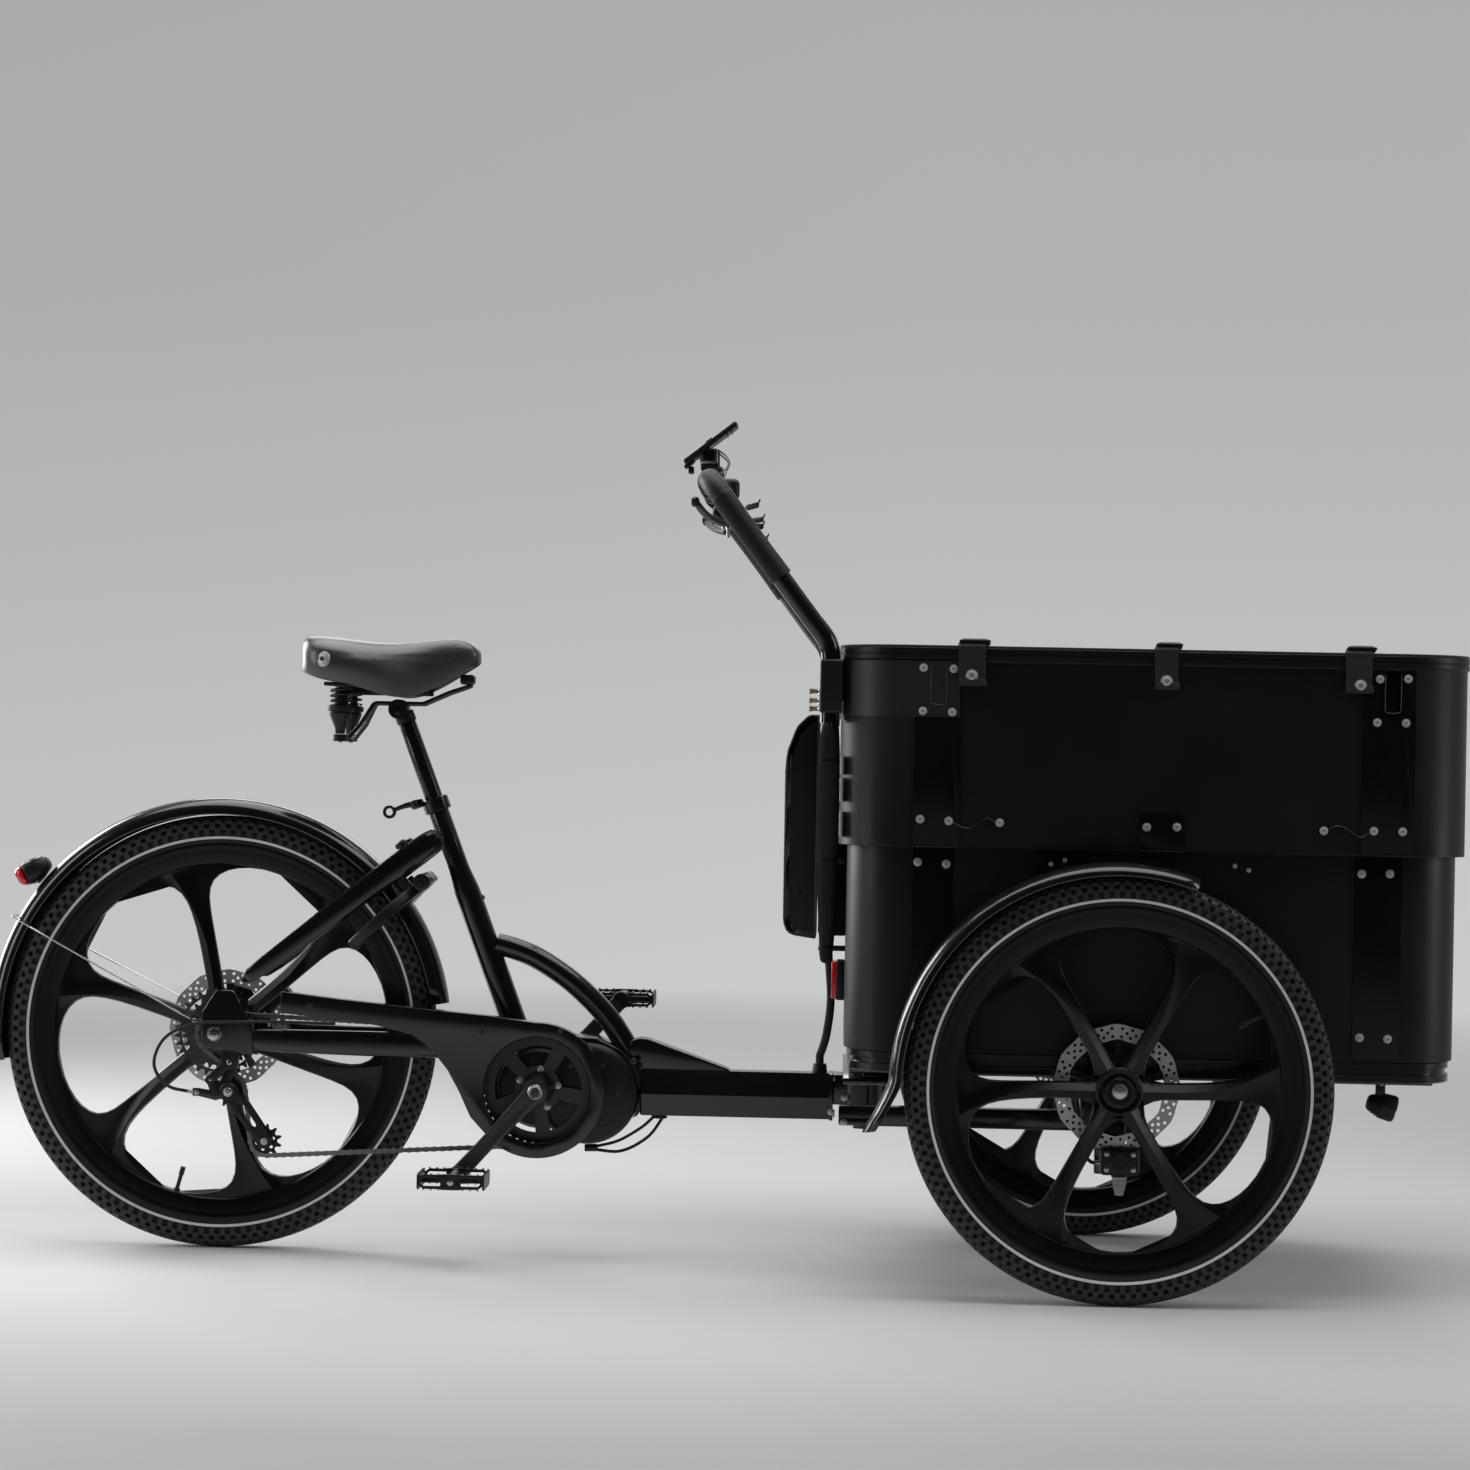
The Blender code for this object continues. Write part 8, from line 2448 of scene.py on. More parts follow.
    def seatstay(self, label: str, side: int) -> Piece:
        """Seat stay with its round knob.

        Args:
            label: The side's name.
            side: RIGHT or LEFT.

        Returns:
            The piece.
        """
        stay = self.stay(side, ((-0.41, 0.0238, 0.6388, 0.0095, 0.019),
                                (-0.45, 0.04, 0.6085, 0.0095, 0.019),
                                (-0.49, 0.046, 0.5775, 0.0093, 0.0186), (-0.53, 0.052, 0.546, 0.009, 0.018),
                                (-0.585, 0.059, 0.503, 0.0085, 0.0166), (-0.64, 0.065, 0.46, 0.008, 0.015),
                                (-0.708, 0.0718, 0.4068, 0.0034, 0.0126)), 2.6)
        knob = lathe("knob", [(0.0, 0.0), (0.006, 0.0), (0.0062, 0.0075), (0.009, 0.0085), (0.0098, 0.011),
                              (0.009, 0.015), (0.006, 0.0166), (0.0, 0.017)], (-0.464, side * 0.043, 0.612),
                     "moulded_black", 32, Vector((-0.62, 0, 0.78)))
        return joined(f"seatstay_{label}_tube", [stay, knob])

    def guard(self) -> Piece:
        """Chain guard: a shell round the chainring that runs back over the stay."""
        axis = (CRANK_AXIS[0], CRANK_AXIS[2])
        outline = [(-0.644, 0.3965), (-0.552, 0.3865), (-0.42, 0.3745), (-0.33, 0.367), (-0.29, 0.362)]
        outline += arc(*axis, 0.102, 92, -130, 44)
        outline += [(-0.354, 0.214), (-0.372, 0.252), (-0.39, 0.284), (-0.416, 0.316), (-0.445, 0.336),
                    (-0.5, 0.349), (-0.57, 0.357), (-0.644, 0.364)]
        hole = arc(*axis, 0.0795, 0, 354, 59)
        face = slab("face", outline, 0.003, side_plane(-0.0785), "gloss_black_paint", 0.0012, [hole], 3)
        wall = slab("wall", outline, 0.0205, side_plane(-0.0683), "gloss_black_paint", 0.0)
        inner = [(-0.7, 0.3935), (-0.552, 0.384), (-0.42, 0.372), (-0.33, 0.3645), (-0.29, 0.359)]
        inner += arc(*axis, 0.0994, 92, -126, 44)
        inner += [(-0.3515, 0.216), (-0.37, 0.254), (-0.388, 0.286), (-0.414, 0.319), (-0.444, 0.339),
                  (-0.5, 0.352), (-0.57, 0.36), (-0.7, 0.368)]
        carve(wall, slab("inside", inner, 0.05, side_plane(-0.0683), "gloss_black_paint", 0.0))
        lip = lathe("lip", [(0.0796, -0.0702), (0.0796, -0.0792), (0.0802, -0.08), (0.0818, -0.08),
                            (0.0826, -0.079), (0.0826, -0.0702)], (axis[0], 0, axis[1]),
                    "gloss_black_paint", 96, ring=True)
        screws = [hex_bolt("screw", (x, -0.08, z), -Y, 0.0036, 0.0022, "dark_steel")
                  for x, z in ((-0.6, 0.376), (-0.34, 0.342), (-0.22, 0.347))]
        return joined("chain_guard_shell", [face, wall, lip, *screws])

    def arched(self, name: str, centre: Point, crown: float, sweep: tuple, half: float, drop: float,
               tail: float = 0.0, steps: int = 72) -> Piece:
        """A mudguard: a curved sheet with rolled edges along an arc.

        Args:
            name: Its name.
            centre: Middle of its arc.
            crown: Radius of its crown.
            sweep: Where its arc begins and ends, in degrees.
            half: Half its width.
            drop: Depth of its sides.
            tail: How far its tail flares outwards.
            steps: Steps along its arc.

        Returns:
            The piece.
        """
        rings = []
        for i in range(steps + 1):
            t = i / steps
            angle = math.radians(sweep[0] + (sweep[1] - sweep[0]) * t)
            flare = 0.004 * min(t * 2, 1) + tail * max((t - 0.9) / 0.1, 0) ** 1.4
            radius = crown + (flare if tail else 0.0)
            narrow = 1.0 - 0.25 * max(0.0, 1 - min(t, 1 - t) / 0.012)
            ring = []
            half_section = [(1.0, drop), (0.975, 0.8 * drop), (0.91, 0.58 * drop), (0.79, 0.38 * drop),
                            (0.59, 0.19 * drop), (0.32, 0.05 * drop)]
            other_half = [(-across, inset) for across, inset in half_section]
            section = other_half + [(0.0, 0.0)] + half_section[::-1]
            for across, inset in section:
                ring.append((radius - inset, across * half * narrow))
            for across, inset in section[::-1]:
                ring.append((radius - inset - 0.0018, across * (half - 0.0012) * narrow))
            rings.append([Vector((centre[0] + r * math.cos(angle), centre[1] + y,
                                  centre[2] + r * math.sin(angle))) for r, y in ring])
        return sleeve(name, rings, "gloss_black_paint", angle=45.0)

    def guard_centre(self) -> Point:
        """Middle of the rear mudguard's arc."""
        return (self.rear[0] - 0.004, 0.0, self.rear[2] + 0.0015)

    def mudguard(self) -> Piece:
        """Rear mudguard."""
        shell = self.arched("shell", self.guard_centre(), 0.3548, (189, 8), 0.0313, 0.0235)
        bridge = block("bridge", (-0.47, 0, 0.562), (0.03, 0.024, 0.005), "dark_steel", 0.0015, 2,
                       Matrix.Rotation(math.radians(48), 3, "Y"))
        return joined("rear_mudguard_shell", [shell, bridge])

    def stay_wires(self) -> Piece:
        """Wire stays of the rear mudguard."""
        centre = Vector(self.guard_centre())
        outwards = Vector((math.cos(math.radians(152)), 0, math.sin(math.radians(152))))
        foot = Vector(self.rear) + Vector((-0.03, 0, 0.02))
        half = [(foot, 0.0771), (foot + Vector((-0.02, 0, 0.01)), 0.0771),
                (centre + outwards * 0.325, 0.042), (centre + outwards * 0.344, 0.0352),
                (centre + outwards * 0.358, 0.0352)]
        route = [place - Y * y for place, y in half] + [place + Y * y for place, y in half[::-1]]
        pieces = [wire("wire", ledge_route(route, 0.003, 4), 0.0013, "chromed_steel", 1, 3)]
        for side in SIDES:
            pieces.append(hex_bolt("screw", foot + Y * side * 0.0755, Y * side, 0.0036, 0.0026,
                                   "brushed_steel"))
        return joined("rear_mudguard_wires", pieces)

    def rear_light(self) -> Piece:
        """Rear light: a red lens in a slim housing on its foot."""
        stations = ((-1.064, 0.0, 0.555, 0.018, 0.011), (-1.059, 0, 0.5575, 0.023, 0.0152),
                    (-1.053, 0, 0.5605, 0.0248, 0.0172), (-1.0505, 0, 0.562, 0.024, 0.0168))
        along = Vector((0.86, 0, 0.5))
        lens = sleeve("lens", [oval((x, y, z), Y * w, along.cross(Y) * h, 24, 3.0)
                               for x, y, z, w, h in stations], "red_lens", 1)
        stations = ((-1.051, 0.0, 0.5618, 0.0252, 0.0182), (-1.047, 0, 0.564, 0.0256, 0.0188),
                    (-1.038, 0, 0.5697, 0.025, 0.0186), (-1.032, 0, 0.5735, 0.024, 0.0172),
                    (-1.023, 0, 0.579, 0.018, 0.013), (-1.015, 0, 0.5835, 0.01, 0.007))
        house = sleeve("house", [oval((x, y, z), Y * w, along.cross(Y) * h, 24, 3.0)
                                 for x, y, z, w, h in stations], "moulded_black", 1)
        trim = wire("trim", [(-1.056, -0.015, 0.5745), (-1.042, -0.021, 0.583), (-1.025, -0.015, 0.5905)],
                    0.0011, "chromed_steel", 6, 2)
        centre = Vector(self.guard_centre())
        inside = Vector((-1.04, 0, 0.568))
        foot = rod("foot", inside, centre + (inside - centre).normalized() * 0.357, 0.008, "moulded_black",
                   20, 0.001, 0.0105)
        return joined("rear_light_lens", [lens, house, trim, foot])

    def collar(self) -> Piece:
        """Seat collar with ears."""
        low, high = self.seat_line(0.672), self.seat_line(0.6915)
        up = (high - low).normalized()
        height = (high - low).length
        ring = lathe("ring", [(0.0158, 0.0), (0.0195, 0.0), (0.0205, 0.0012), (0.0205, height - 0.0012),
                              (0.0195, height), (0.0158, height)], low, "gloss_black_paint", 48, up,
                     ring=True)
        tilt = Matrix.Rotation(math.radians(-20.8), 3, "Y")
        ears = [block("ear", self.seat_line(0.682) - X * 0.0285 + Y * side * 0.0058, (0.018, 0.0082, 0.013),
                      "gloss_black_paint", 0.002, 3, tilt) for side in SIDES]
        pin = rod("pin", self.seat_line(0.682) - X * 0.0315 - Y * 0.0118, self.seat_line(0.682) - X * 0.0315
                  + Y * 0.0125, 0.003, "brushed_steel", 16)
        nut = rod("nut", self.seat_line(0.682) - X * 0.0315 + Y * 0.01, self.seat_line(0.682) - X * 0.0315
                  + Y * 0.015, 0.006, "brushed_steel", 20, 0.001)
        return joined("seat_collar_ring", [ring, *ears, pin, nut])

    def collar_lever(self) -> Piece:
        """Quick-release lever with its eye."""
        cam = self.seat_line(0.682) - X * 0.0315 - Y * 0.0172
        barrel = rod("cam", cam - SEAT_UP * 0.006, cam + SEAT_UP * 0.006, 0.0065, "dark_steel", 28, 0.001)
        path = [(cam, 0.0034, 0.0052), (cam + Vector((-0.01, 0, -0.001)), 0.0032, 0.0046),
                (cam + Vector((-0.02, 0, -0.0045)), 0.003, 0.004),
                (cam + Vector((-0.03, 0, -0.009)), 0.003, 0.0036),
                (cam + Vector((-0.034, 0, -0.0108)), 0.003, 0.0036)]
        rings = [oval(place, Y * wide, Z * high, 14, 2.6) for place, wide, high in path]
        arm = sleeve("arm", rings, "dark_steel", 1)
        end = cam + Vector((-0.038, 0, -0.0125))
        eye = lathe("eye", mirrored([(0.0055, -0.0026), (0.007, -0.0032), (0.0098, -0.0026),
                                     (0.0105, 0.0)]), end, "dark_steel", 32, ring=True)
        return joined("seat_lever_arm", [barrel, arm, eye])

    def lock_place(self) -> Matrix:
        """Axes of the lock: its own X runs away from the frame, Z is its normal."""
        along = Vector((-0.7226, 0, -0.6912)).normalized()
        return Matrix.Translation((-0.436, 0, 0.566)) @ Matrix((along, Y,
                                                                along.cross(Y))).transposed().to_4x4()

    def lock(self) -> Piece:
        """Horseshoe frame lock with its key cylinder and straps."""
        outline = arc(0.092, 0, 0.086, 50, 310, 40) + arc(0.092, 0, 0.062, 310, 50, 32)
        body = slab("horseshoe", outline, 0.018, Matrix(), "moulded_black", 0.004, segments=4)
        back = block("back", (0.006, 0, 0), (0.036, 0.076, 0.018), "moulded_black", 0.004, 3)
        key = lathe("key", [(0.0, 0.03), (0.012, 0.03), (0.013, 0.031), (0.013, 0.0595), (0.012, 0.0615),
                            (0.0085, 0.062), (0.008, 0.0605), (0.0, 0.0605)], (0.002, 0, 0), "dark_steel",
                    32, -Y)
        slit = block("slit", (0.002, -0.0602, 0), (0.0016, 0.0012, 0.008), "gloss_black_plate", 0.0003)
        tabs = [block("tab", (0.024, side * 0.042, -0.0155), (0.016, 0.01, 0.017), "moulded_black", 0.002)
                for side in SIDES]
        path = [(0.092 + 0.074 * math.cos(a), 0.074 * math.sin(a), 0)
                for a in [math.radians(44 + (316 - 44) * k / 40) for k in range(41)]]
        groove = wire("groove", path, 0.0056, "moulded_black", 1, 3)
        carve(body, groove)
        plate = block("plate", (0.02, 0, 0.0094), (0.04, 0.048, 0.0014), "gloss_black_plate", 0.0006)
        whole = joined("lock_body", [body, back, key, slit, *tabs, plate])
        whole.data.transform(self.lock_place())
        return whole

    def shackle(self) -> Piece:
        """The lock's round steel shackle with its thumb tab."""
        path = []
        for k in range(25):
            angle = math.radians(-54 + (-178 + 54) * k / 24)
            path.append(Vector((0.092 + 0.074 * math.cos(angle), 0.074 * math.sin(angle), 0)))
        bar = wire("shackle", path, 0.004, "chromed_steel", 1, 4)
        bar.data.transform(self.lock_place())
        return joined("lock_shackle_bar", [bar])

    def axle_ends(self) -> Piece:
        """Rear axle with its nuts and washers."""
        centre = Vector(self.rear)
        pieces = [rod("axle", centre - Y * 0.094, centre + Y * 0.094, 0.0049, "brushed_steel", 24)]
        for side in SIDES:
            pieces.append(rod("nut", centre + Y * side * 0.077, centre + Y * side * 0.086, 0.0092,
                              "brushed_steel", 6, 0.0008))
            pieces.append(lathe("washer", [(0.0052, 0.0755), (0.0108, 0.0755), (0.0112, 0.0762),
                                           (0.0108, 0.077), (0.0052, 0.077)], centre, "chromed_steel", 32,
                                Y * side, ring=True))
        return joined("rear_axle_nuts", pieces)

    def caliper(self) -> Piece:
        """Rear brake caliper with its adjuster and screws."""
        place = Vector(self.rear) + Vector((0.07, 0.052, 0.05))
        turn = Matrix.Rotation(math.radians(-45), 3, "Y")
        body = block("body", place, (0.051, 0.0325, 0.031), "moulded_black", 0.005, 3, turn)
        slot = lathe("slot", mirrored([(0.04, -0.0024), (0.0925, -0.0024)]), Vector(self.rear) + Y * 0.0505,
                     "moulded_black", 64, ring=True)
        carve(body, slot)
        wheel = lathe("adjuster", [(0.0, 0.0), (0.0085, 0.0), (0.0095, 0.001), (0.0095, 0.0022),
                                   (0.0, 0.0026)], place + Y * 0.014, "dark_steel", 28)
        screws = [hex_bolt("screw", place + turn @ Vector((x, 0.0158, 0.0)), Y, 0.003, 0.002,
                           "brushed_steel") for x in (-0.019, 0.019)]
        return joined("rear_caliper_body", [body, wheel, *screws])

    def cables(self) -> Piece:
        """Shift cable behind the derailleur and the leads under the main tube, with their plugs."""
        loop = [(-0.56, -0.084, 0.35), (-0.64, -0.086, 0.351), (-0.705, -0.088, 0.35),
                (-0.775, -0.088, 0.345), (-0.818, -0.088, 0.322), (-0.8325, -0.087, 0.283),
                (-0.812, -0.086, 0.252), (-0.775, -0.08, 0.242)]
        pieces = [wire("shift", loop, 0.0025, "cable_rubber", 8, 3)]
        pieces.append(rod("ferrule", (-0.782, -0.0808, 0.2435), (-0.774, -0.0795, 0.242), 0.003,
                          "brushed_steel", 14))
        upper = [(-0.08, 0, 0.2145), (-0.1, 0.002, 0.196), (-0.135, 0.002, 0.175), (-0.17, 0, 0.1655)]
        lower = [(-0.066, 0, 0.2145), (-0.09, -0.002, 0.182), (-0.13, -0.002, 0.16), (-0.172, 0, 0.161)]
        pieces += [wire("lead", path, 0.0024, "cable_rubber", 8, 3) for path in (upper, lower)]
        pieces.append(rod("plug", (-0.166, 0, 0.164), (-0.186, 0, 0.1632), 0.0058, "moulded_black", 20,
                          0.001))
        pieces.append(rod("gland", (-0.073, 0, 0.2158), (-0.073, 0, 0.211), 0.012, "moulded_black", 28,
                          0.001))
        return joined("rear_cables", pieces)


@dataclass
class Front:
    """Sub-frame, brakes, mudguards, battery, loom and headlight of the steered front."""

    body: str = "front_module"
    pin_x: float = 0.238
    axle: Point = FRONT_AXLE
    side: float = HALF_TRACK
    rotor: float = 0.3445
    lamp: Point = (0.982, -0.12, 0.272)
    pivot: Point = (1.003, -0.12, 0.302)

    def build(self) -> None:
        """Makes the front's visible parts."""
        carried(self.subframe(), self.body, "frame_paint", "front_subframe")
        carried(self.hoses(), self.body, "rubber")
        for label, side in NAMED_SIDES:
            carried(self.caliper(label, side), self.body, "moulded", "front_subframe")
            carried(self.mudguard(label, side), self.body, "frame_paint", f"front_mudguard_{label}")
        carried(self.battery(), "battery", "moulded", "battery")
        carried(self.reflector(), "battery", "lens")
        loom = self.loom()
        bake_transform(loom)
        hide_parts("cable_loom")
        carried(self.loom_clips(), self.body, "moulded")
        carried(self.plugs(), self.body, "steel", "handlebar_bracket")
        carried(self.headlight(), "headlight", "moulded", "headlight")

    def subframe(self) -> Piece:
        """Kingpin, plates, beams, stub axles and their bolts."""
        paint, x = "gloss_black_paint", self.pin_x
        ax, _, az = self.axle
        pieces = [block("top", (x + 0.01, 0, 0.293), (0.086, 0.44, 0.0088), paint, 0.0015),
                  rod("kingpin", (x, 0, 0.2055), (x, 0, 0.2945), 0.0124, "brushed_steel", 36),
                  rod("pin_nut", (x, 0, 0.203), (x, 0, 0.209), 0.018, "dark_steel", 6),
                  block("lower", (0.395, 0, 0.2225), (0.39, 0.04, 0.029), paint, 0.003, 3),
                  block("post", (ax, 0, 0.239), (0.06, 0.06, 0.062), paint, 0.003, 3),
                  block("beam", (ax, 0, 0.2865), (0.046, 0.626, 0.034), paint, 0.004, 3),
                  block("hinge", (0.229, 0, 0.214), (0.058, 0.058, 0.0085), paint, 0.002)]
        for hand in SIDES:
            out = Y * hand
            hub = Vector((ax, hand * self.side, az))
            pieces += [block("seat", (0.255, hand * 0.19, 0.3), (0.04, 0.03, 0.007), paint, 0.001),
                       block("plate", (ax, hand * 0.316, 0.29), (0.056, 0.014, 0.058), paint, 0.003, 3),
                       rod("stub", hub - out * 0.07, hub + out * 0.033, 0.0059, "brushed_steel", 28),
                       rod("nut", hub + out * 0.0235, hub + out * 0.0308, 0.0098, "brushed_steel", 6),
                       lathe("washer", [(0.0061, 0.0224), (0.0108, 0.0224), (0.0108, 0.0234),
                                        (0.0061, 0.0234)], hub, "chromed_steel", 32, out, ring=True),
                       block("arm", (0.588, hand * 0.32, 0.228), (0.044, 0.009, 0.1), paint, 0.003, 3)]
            for dz in (-0.018, 0.018):
                pieces.append(hex_bolt("bolt", (ax - 0.018, hand * 0.3228, 0.29 + dz), out, 0.0038, 0.003,
                                       "brushed_steel"))
        for px, pz in ((0.208, 0.215), (0.248, 0.215)):
            pieces.append(hex_bolt("hinge_bolt", (px, -0.0288, pz - 0.001), -Y, 0.0042, 0.003,
                                   "brushed_steel"))
        return joined("front_subframe_beams", pieces)

    def caliper(self, label: str, side: int) -> Piece:
        """Brake caliper with its pads' slot, cover bolts and translucent boot.

        Args:
            label: The side's name.
            side: RIGHT or LEFT.

        Returns:
            The piece.
        """
        centre = Vector((0.6, side * 0.343, 0.2))
        body = block("caliper", centre, (0.0555, 0.0395, 0.0395), "moulded_black", 0.006, 4)
        slot = lathe("slot", mirrored([(0.04, -0.0024), (0.0925, -0.0024)]),
                     (self.axle[0], side * self.rotor, self.axle[2]), "moulded_black", 72, ring=True)
        carve(body, slot)
        outer = centre.y + side * 0.0196
        pieces = [body]
        for x, z in ((-0.019, 0.011), (0.019, 0.011), (-0.019, -0.011), (0.019, -0.011)):
            pieces.append(hex_bolt("bolt", (centre.x + x, outer, centre.z + z), Y * side, 0.003, 0.0018,
                                   "brushed_steel"))
        cover = lathe("cover", [(0.0, 0.0), (0.0105, 0.0), (0.0118, -0.001), (0.0118, -0.004),
                                (0.0, -0.004)], (centre.x, outer + side * 0.0012, centre.z + 0.002),
                      "moulded_black", 40, Y * side)
        collar = lathe("collar", [(0.0, 0.0), (0.0118, 0.0), (0.0125, -0.002), (0.0118, -0.0045),
                                  (0.0, -0.0045)], (0.601, side * 0.343, 0.1815), "moulded_black", 32, Z)
        profile = [(0.0, -0.03), (0.0052, -0.03), (0.0064, -0.0285), (0.0066, -0.024)]
        for k in range(3):
            z = -0.022 + k * 0.0052
            grow = 0.0011 * k
            profile += [(0.008 + grow, z), (0.0088 + grow, z + 0.0016), (0.0078 + grow, z + 0.0034)]
        profile += [(0.0108, -0.004), (0.011, 0.0), (0.0, 0.0)]
        boot = lathe("boot", profile, (0.601, side * 0.343, 0.1805), "cloudy_nozzle", 40, Z)
        return joined(f"front_caliper_{label}", [*pieces, cover, collar, boot])

    def hoses(self) -> Piece:
        """Brake hoses from each caliper up to the tray."""
        pieces = []
        for side in SIDES:
            route = [(0.573, side * 0.34, 0.196), (0.56, side * 0.336, 0.197), (0.549, side * 0.325, 0.212),
                     (0.546, side * 0.31, 0.24), (0.54, side * 0.29, 0.29), (0.52, side * 0.27, 0.325)]
            pieces.append(wire("hose", route, 0.0026, "cable_rubber", 8, 3))
            pieces.append(rod("union", (0.5665, side * 0.3385, 0.1965), (0.5765, side * 0.341, 0.196),
                              0.0042, "brushed_steel", 18, 0.0006))
        return joined("front_brake_hoses", pieces)

    def mudguard(self, label: str, side: int) -> Piece:
        """Front mudguard with a flared tail, its two arms and screws.

        Args:
            label: The side's name.
            side: RIGHT or LEFT.

        Returns:
            The piece.
        """
        centre = (self.axle[0], side * self.side, self.axle[2])
        shell = Frame().arched("shell", centre, 0.3213, (70, 190.5), 0.0318, 0.0175, 0.042, 60)
        pieces = [shell]
        for angle in (100, 158):
            reach = Vector((math.cos(math.radians(angle)), 0, math.sin(math.radians(angle))))
            place = Vector((self.axle[0], side * 0.3338, self.axle[2])) + reach * 0.3125
            turn = Matrix.Rotation(math.radians(90 - angle), 3, "Y")
            pieces.append(block("arm", place, (0.0295, 0.046, 0.0038), "gloss_black_paint", 0.001, 2, turn))
            pieces.append(hex_bolt("screw", place + Y * side * 0.01 - reach * 0.0016, -reach, 0.0036,
                                   0.0022, "brushed_steel"))
        return joined(f"front_mudguard_{label}_shell", pieces)

    def battery(self) -> Piece:
        """Battery case with an edge band, painted lighter to stand in for the highlight along it, a handle
        recess and a key lock.
        """
        outline = [(0.1608, 0.83), (0.147, 0.83), (0.1415, 0.8275), (0.127, 0.813), (0.1228, 0.805),
                   (0.1125, 0.777), (0.1105, 0.765), (0.1092, 0.745), (0.1102, 0.525), (0.1112, 0.515),
                   (0.115, 0.505), (0.12, 0.5), (0.127, 0.497), (0.1608, 0.4922)]
        case = slab("case", outline, 0.1396, side_plane(0), "moulded_black", 0.0035, segments=4)
        grip = slab("grip", rounded_outline((-0.036, -0.01), (0.036, 0.01), 0.009), 0.03,
                    Matrix.Translation((0.119, 0, 0.8)) @ Matrix.Rotation(math.radians(-66), 4, "Y")
                    @ Matrix.Rotation(math.pi / 2, 4, "Z"), "moulded_black", 0.0)
        carve(case, grip)
        edge = [(0.1608, 0.828), (0.1455, 0.8265), (0.129, 0.811), (0.115, 0.774), (0.112, 0.745),
                (0.113, 0.522), (0.1175, 0.507), (0.128, 0.5005), (0.1608, 0.496)]
        inner = [(0.156, 0.818), (0.148, 0.816), (0.134, 0.803), (0.1215, 0.77), (0.1185, 0.745),
                 (0.1195, 0.53), (0.123, 0.516), (0.131, 0.51), (0.156, 0.506)]
        # Edge bands: real bands, their colour raised as a painted highlight.
        bands = [slab("band", edge, 0.0016, side_plane(y), "battery_band_painted_highlight", 0.0005, [inner])
                 for y in (-0.069, 0.069)]
        lock = lathe("lock", [(0.0, 0.0), (0.0095, 0.0), (0.0105, -0.001), (0.0105, -0.003), (0.0, -0.003)],
                     (0.136, -0.0697, 0.56), "dark_steel", 36, -Y)
        slit = block("slit", (0.136, -0.0698, 0.56), (0.0016, 0.0006, 0.007), "gloss_black_plate", 0.0002)
        return joined("battery_case", [case, *bands, lock, slit])

    def reflector(self) -> Piece:
        """Red reflector on the box's rear wall, with its frame."""
        place = Vector((0.1985, -0.19, 0.4395))
        frame = block("frame", place, (0.012, 0.044, 0.058), "moulded_black", 0.002, 3)
        lens = block("lens", place - X * 0.0085, (0.0095, 0.0405, 0.0545), "red_lens", 0.0022, 3)
        return joined("rear_reflector", [frame, lens])

    def loom(self) -> Piece:
        """Braided sleeve down the box's back to the main tube."""
        route = [(0.181, -0.085, 0.816), (0.179, -0.085, 0.72), (0.1775, -0.085, 0.6), (0.18, -0.085, 0.48),
                 (0.185, -0.082, 0.405), (0.18, -0.055, 0.352), (0.174, -0.014, 0.325), (0.17, 0, 0.312),
                 (0.17, 0, 0.3005)]
        rings = []
        for k, (z, half) in enumerate(((0.824, 0.008), (0.818, 0.01), (0.8, 0.0125), (0.77, 0.0138),
                                       (0.735, 0.0145), (0.7, 0.014), (0.665, 0.0145), (0.63, 0.0135),
                                       (0.595, 0.013), (0.56, 0.0118), (0.525, 0.0112), (0.495, 0.0098),
                                       (0.47, 0.0088), (0.456, 0.007))):
            sway = 0.0008 * math.sin(1.9 * k)
            rings.append(oval((0.1775 - 0.12 * half + sway, -0.085, z), X * 1.18 * half,
                              Y * (0.0072 + 0.4 * sway), 24, 2.3))
        jacket = sleeve("jacket", rings, "sleeve_braid", 1, angle=60.0)
        return joined("loom_sleeve", [wire("core", route, 0.0062, "sleeve_braid", 8, 5), jacket])

    def plugs(self) -> Piece:
        """Three cable plugs behind the clamp bracket."""
        pieces = []
        for z, length, y in ((0.865, 0.018, -0.1), (0.851, 0.016, -0.112), (0.839, 0.018, -0.096)):
            pieces.append(rod("plug", (0.175, y, z), (0.162 - length, y, z), 0.004, "plug_brass", 14,
                              0.0006))
            pieces.append(rod("collar", (0.169, y, z), (0.16, y, z), 0.0052, "zinc_screw", 14, 0.0006))
            pieces.append(rod("lip", (0.144, y, z), (0.148, y, z), 0.005, "plug_brass", 14, 0.0004))
        pieces.append(block("carrier", (0.183, -0.103, 0.852), (0.018, 0.034, 0.04), "moulded_black",
                            0.003))
        return joined("cable_plugs", pieces)

    def loom_clips(self) -> Piece:
        """Clips that hold the loom's sleeve to the box."""
        pieces = []
        for half, z in ((0.0145, 0.76), (0.014, 0.61), (0.01, 0.48)):
            pieces.append(block("tab", (0.196, -0.085, z), (0.02, 0.008, 0.008), "moulded_black", 0.0012))
            hoops = [oval((0.1762, -0.085, z + step), X * (1.18 * half + grow), Y * (0.0082 + grow), 28,
                          2.3) for step, grow in ((-0.004, -0.0002), (-0.0032, 0.0004), (0.0032, 0.0004),
                                                  (0.004, -0.0002))]
            pieces.append(sleeve("strap", hoops, "moulded_black", 1, angle=40.0))
        return joined("loom_clips", pieces)

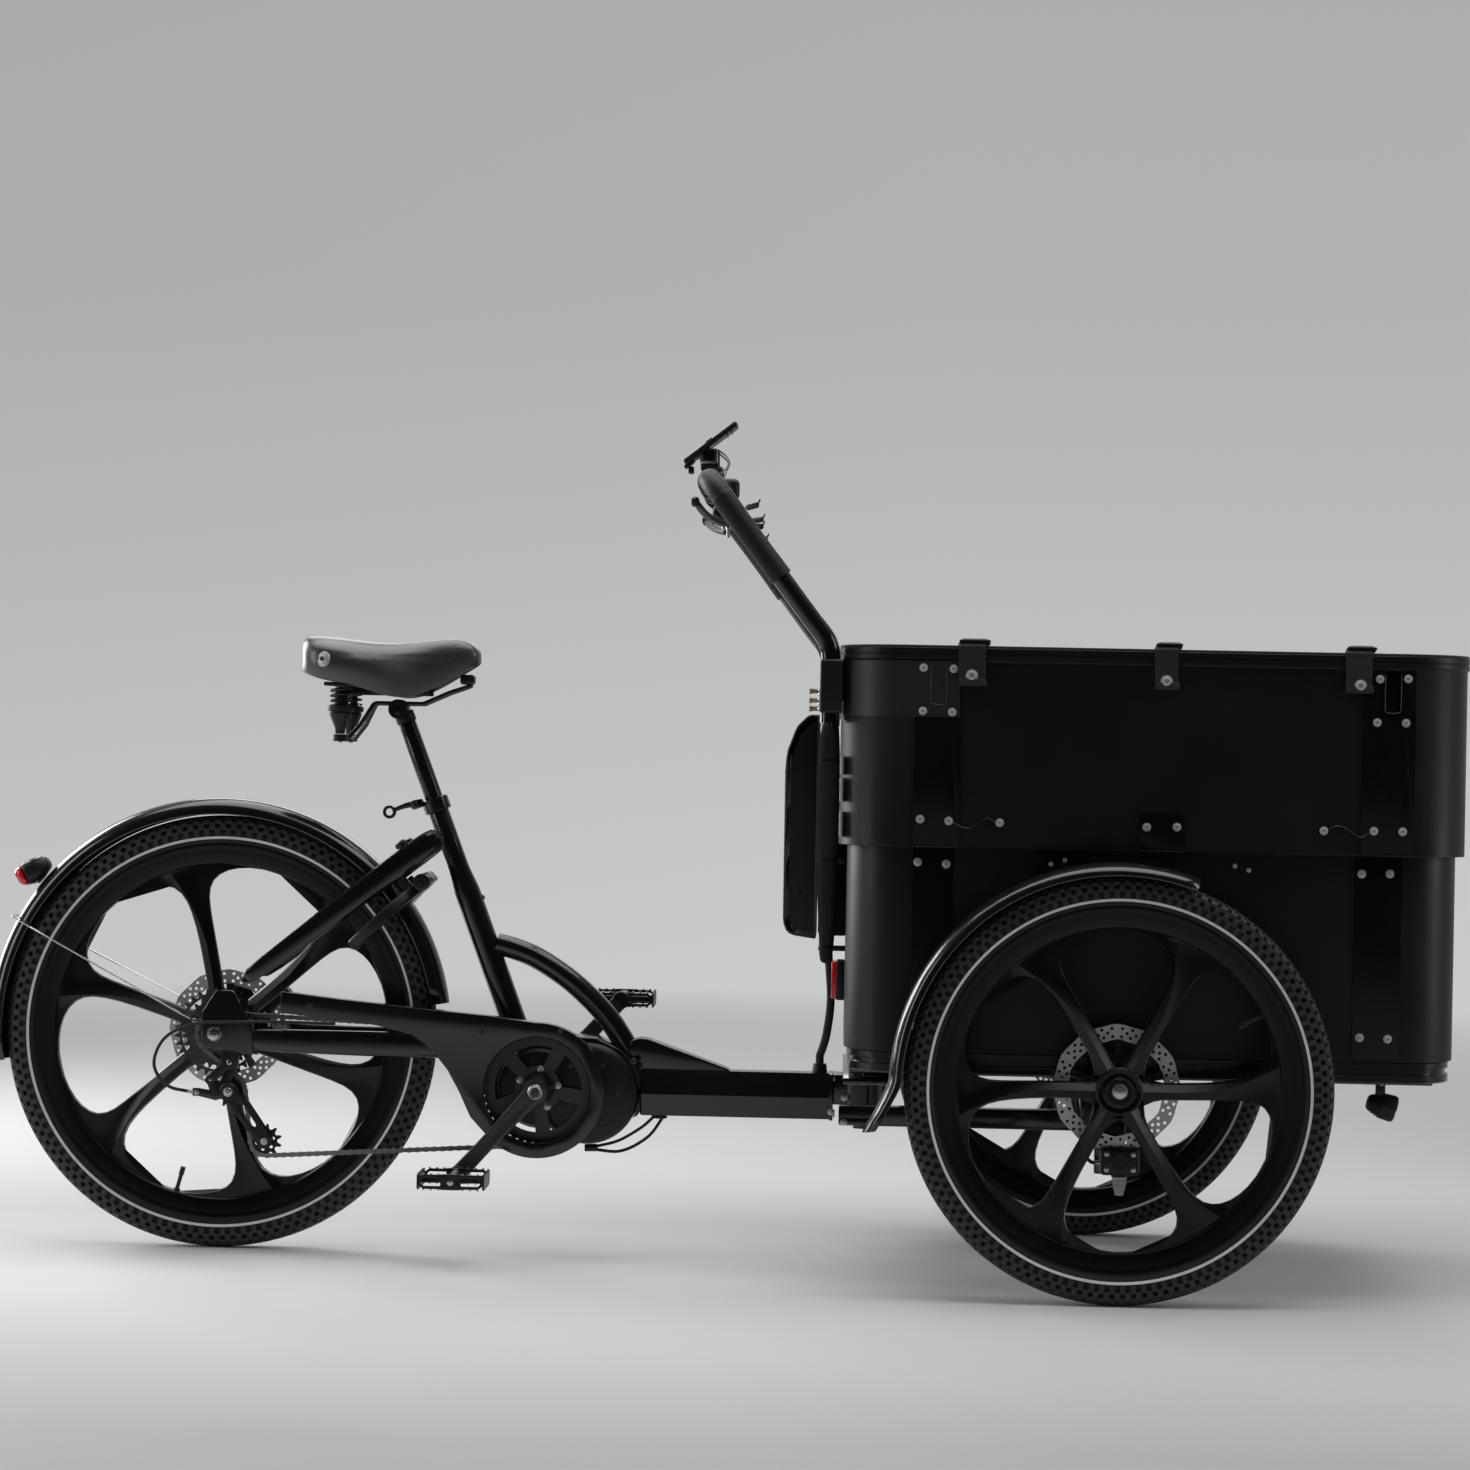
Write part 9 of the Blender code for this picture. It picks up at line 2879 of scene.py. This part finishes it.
    def headlight(self) -> Piece:
        """Headlight: a finned shell, bezel, lens and its bracket ears."""
        aim = Matrix.Rotation(math.radians(105), 3, "Y") @ Z
        place = Vector(self.lamp)
        shell = lathe("shell", [(0.0, 0.0), (0.009, 0.001), (0.012, 0.004), (0.0135, 0.009),
                                (0.0152, 0.0095), (0.0152, 0.012), (0.0145, 0.0125), (0.016, 0.015),
                                (0.0172, 0.0155), (0.0172, 0.018), (0.0165, 0.0185), (0.019, 0.021),
                                (0.0199, 0.039), (0.019, 0.042), (0.0178, 0.042), (0.0, 0.04)], place,
                      "moulded_black", 56, aim)
        bezel = lathe("bezel", [(0.0158, 0.0415), (0.0186, 0.0418), (0.0188, 0.0432), (0.0175, 0.0439),
                                (0.016, 0.0436)], place, "chromed_steel", 56, aim, ring=True)
        lens = lathe("lens", [(0.0, 0.0402), (0.0159, 0.0402), (0.0158, 0.0424), (0.011, 0.0434),
                              (0.0, 0.0438)], place, "clear_lens", 56, aim)
        mirror = lathe("mirror", [(0.0, 0.03), (0.006, 0.031), (0.012, 0.035), (0.0156, 0.04),
                                  (0.0, 0.0401)], place, "chromed_steel", 48, aim)
        pieces = [shell, bezel, lens, mirror]
        for hand in (-1, 1):
            pieces.append(block("ear", Vector(self.pivot) + Vector((-0.001, hand * 0.0066, -0.0085)),
                                (0.0126, 0.0038, 0.025), "moulded_black", 0.0015))
        pieces.append(rod("pin", Vector(self.pivot) - Y * 0.011, Vector(self.pivot) + Y * 0.011, 0.003,
                          "brushed_steel", 18))
        pieces.append(hex_bolt("head", Vector(self.pivot) - Y * 0.0086, -Y, 0.0044, 0.0024,
                               "brushed_steel"))
        return joined("headlight_shell", pieces)


def main() -> None:
    """Builds the tricycle's dress and its studio."""
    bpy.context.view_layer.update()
    Studio().build()
    Wheel("rear", "rear_wheel", ("rear_wheel", "rear_tyre"), REAR_AXLE, 0.3295, math.radians(40), 0.0505,
          (-0.0245, 0.0515), valve_angle=255.0).build()
    for label, hand in NAMED_SIDES:
        centre = (FRONT_AXLE[0], hand * HALF_TRACK, FRONT_AXLE[2])
        hub = (-0.022, 0.042) if hand == RIGHT else (-0.042, 0.022)
        Wheel(f"front_{label}", f"front_wheel_{label}", (f"front_wheel_{label}", f"front_tyre_{label}"),
              centre, 0.3035, 0.0, -hand * 0.0405, hub).build()
    CargoBox().build()
    Cover().build()
    Handlebar().build()
    Saddle().build()
    Drive().build()
    Frame().build()
    Front().build()


if __name__ == "__main__":
    logging.basicConfig(level=logging.INFO)
    main()
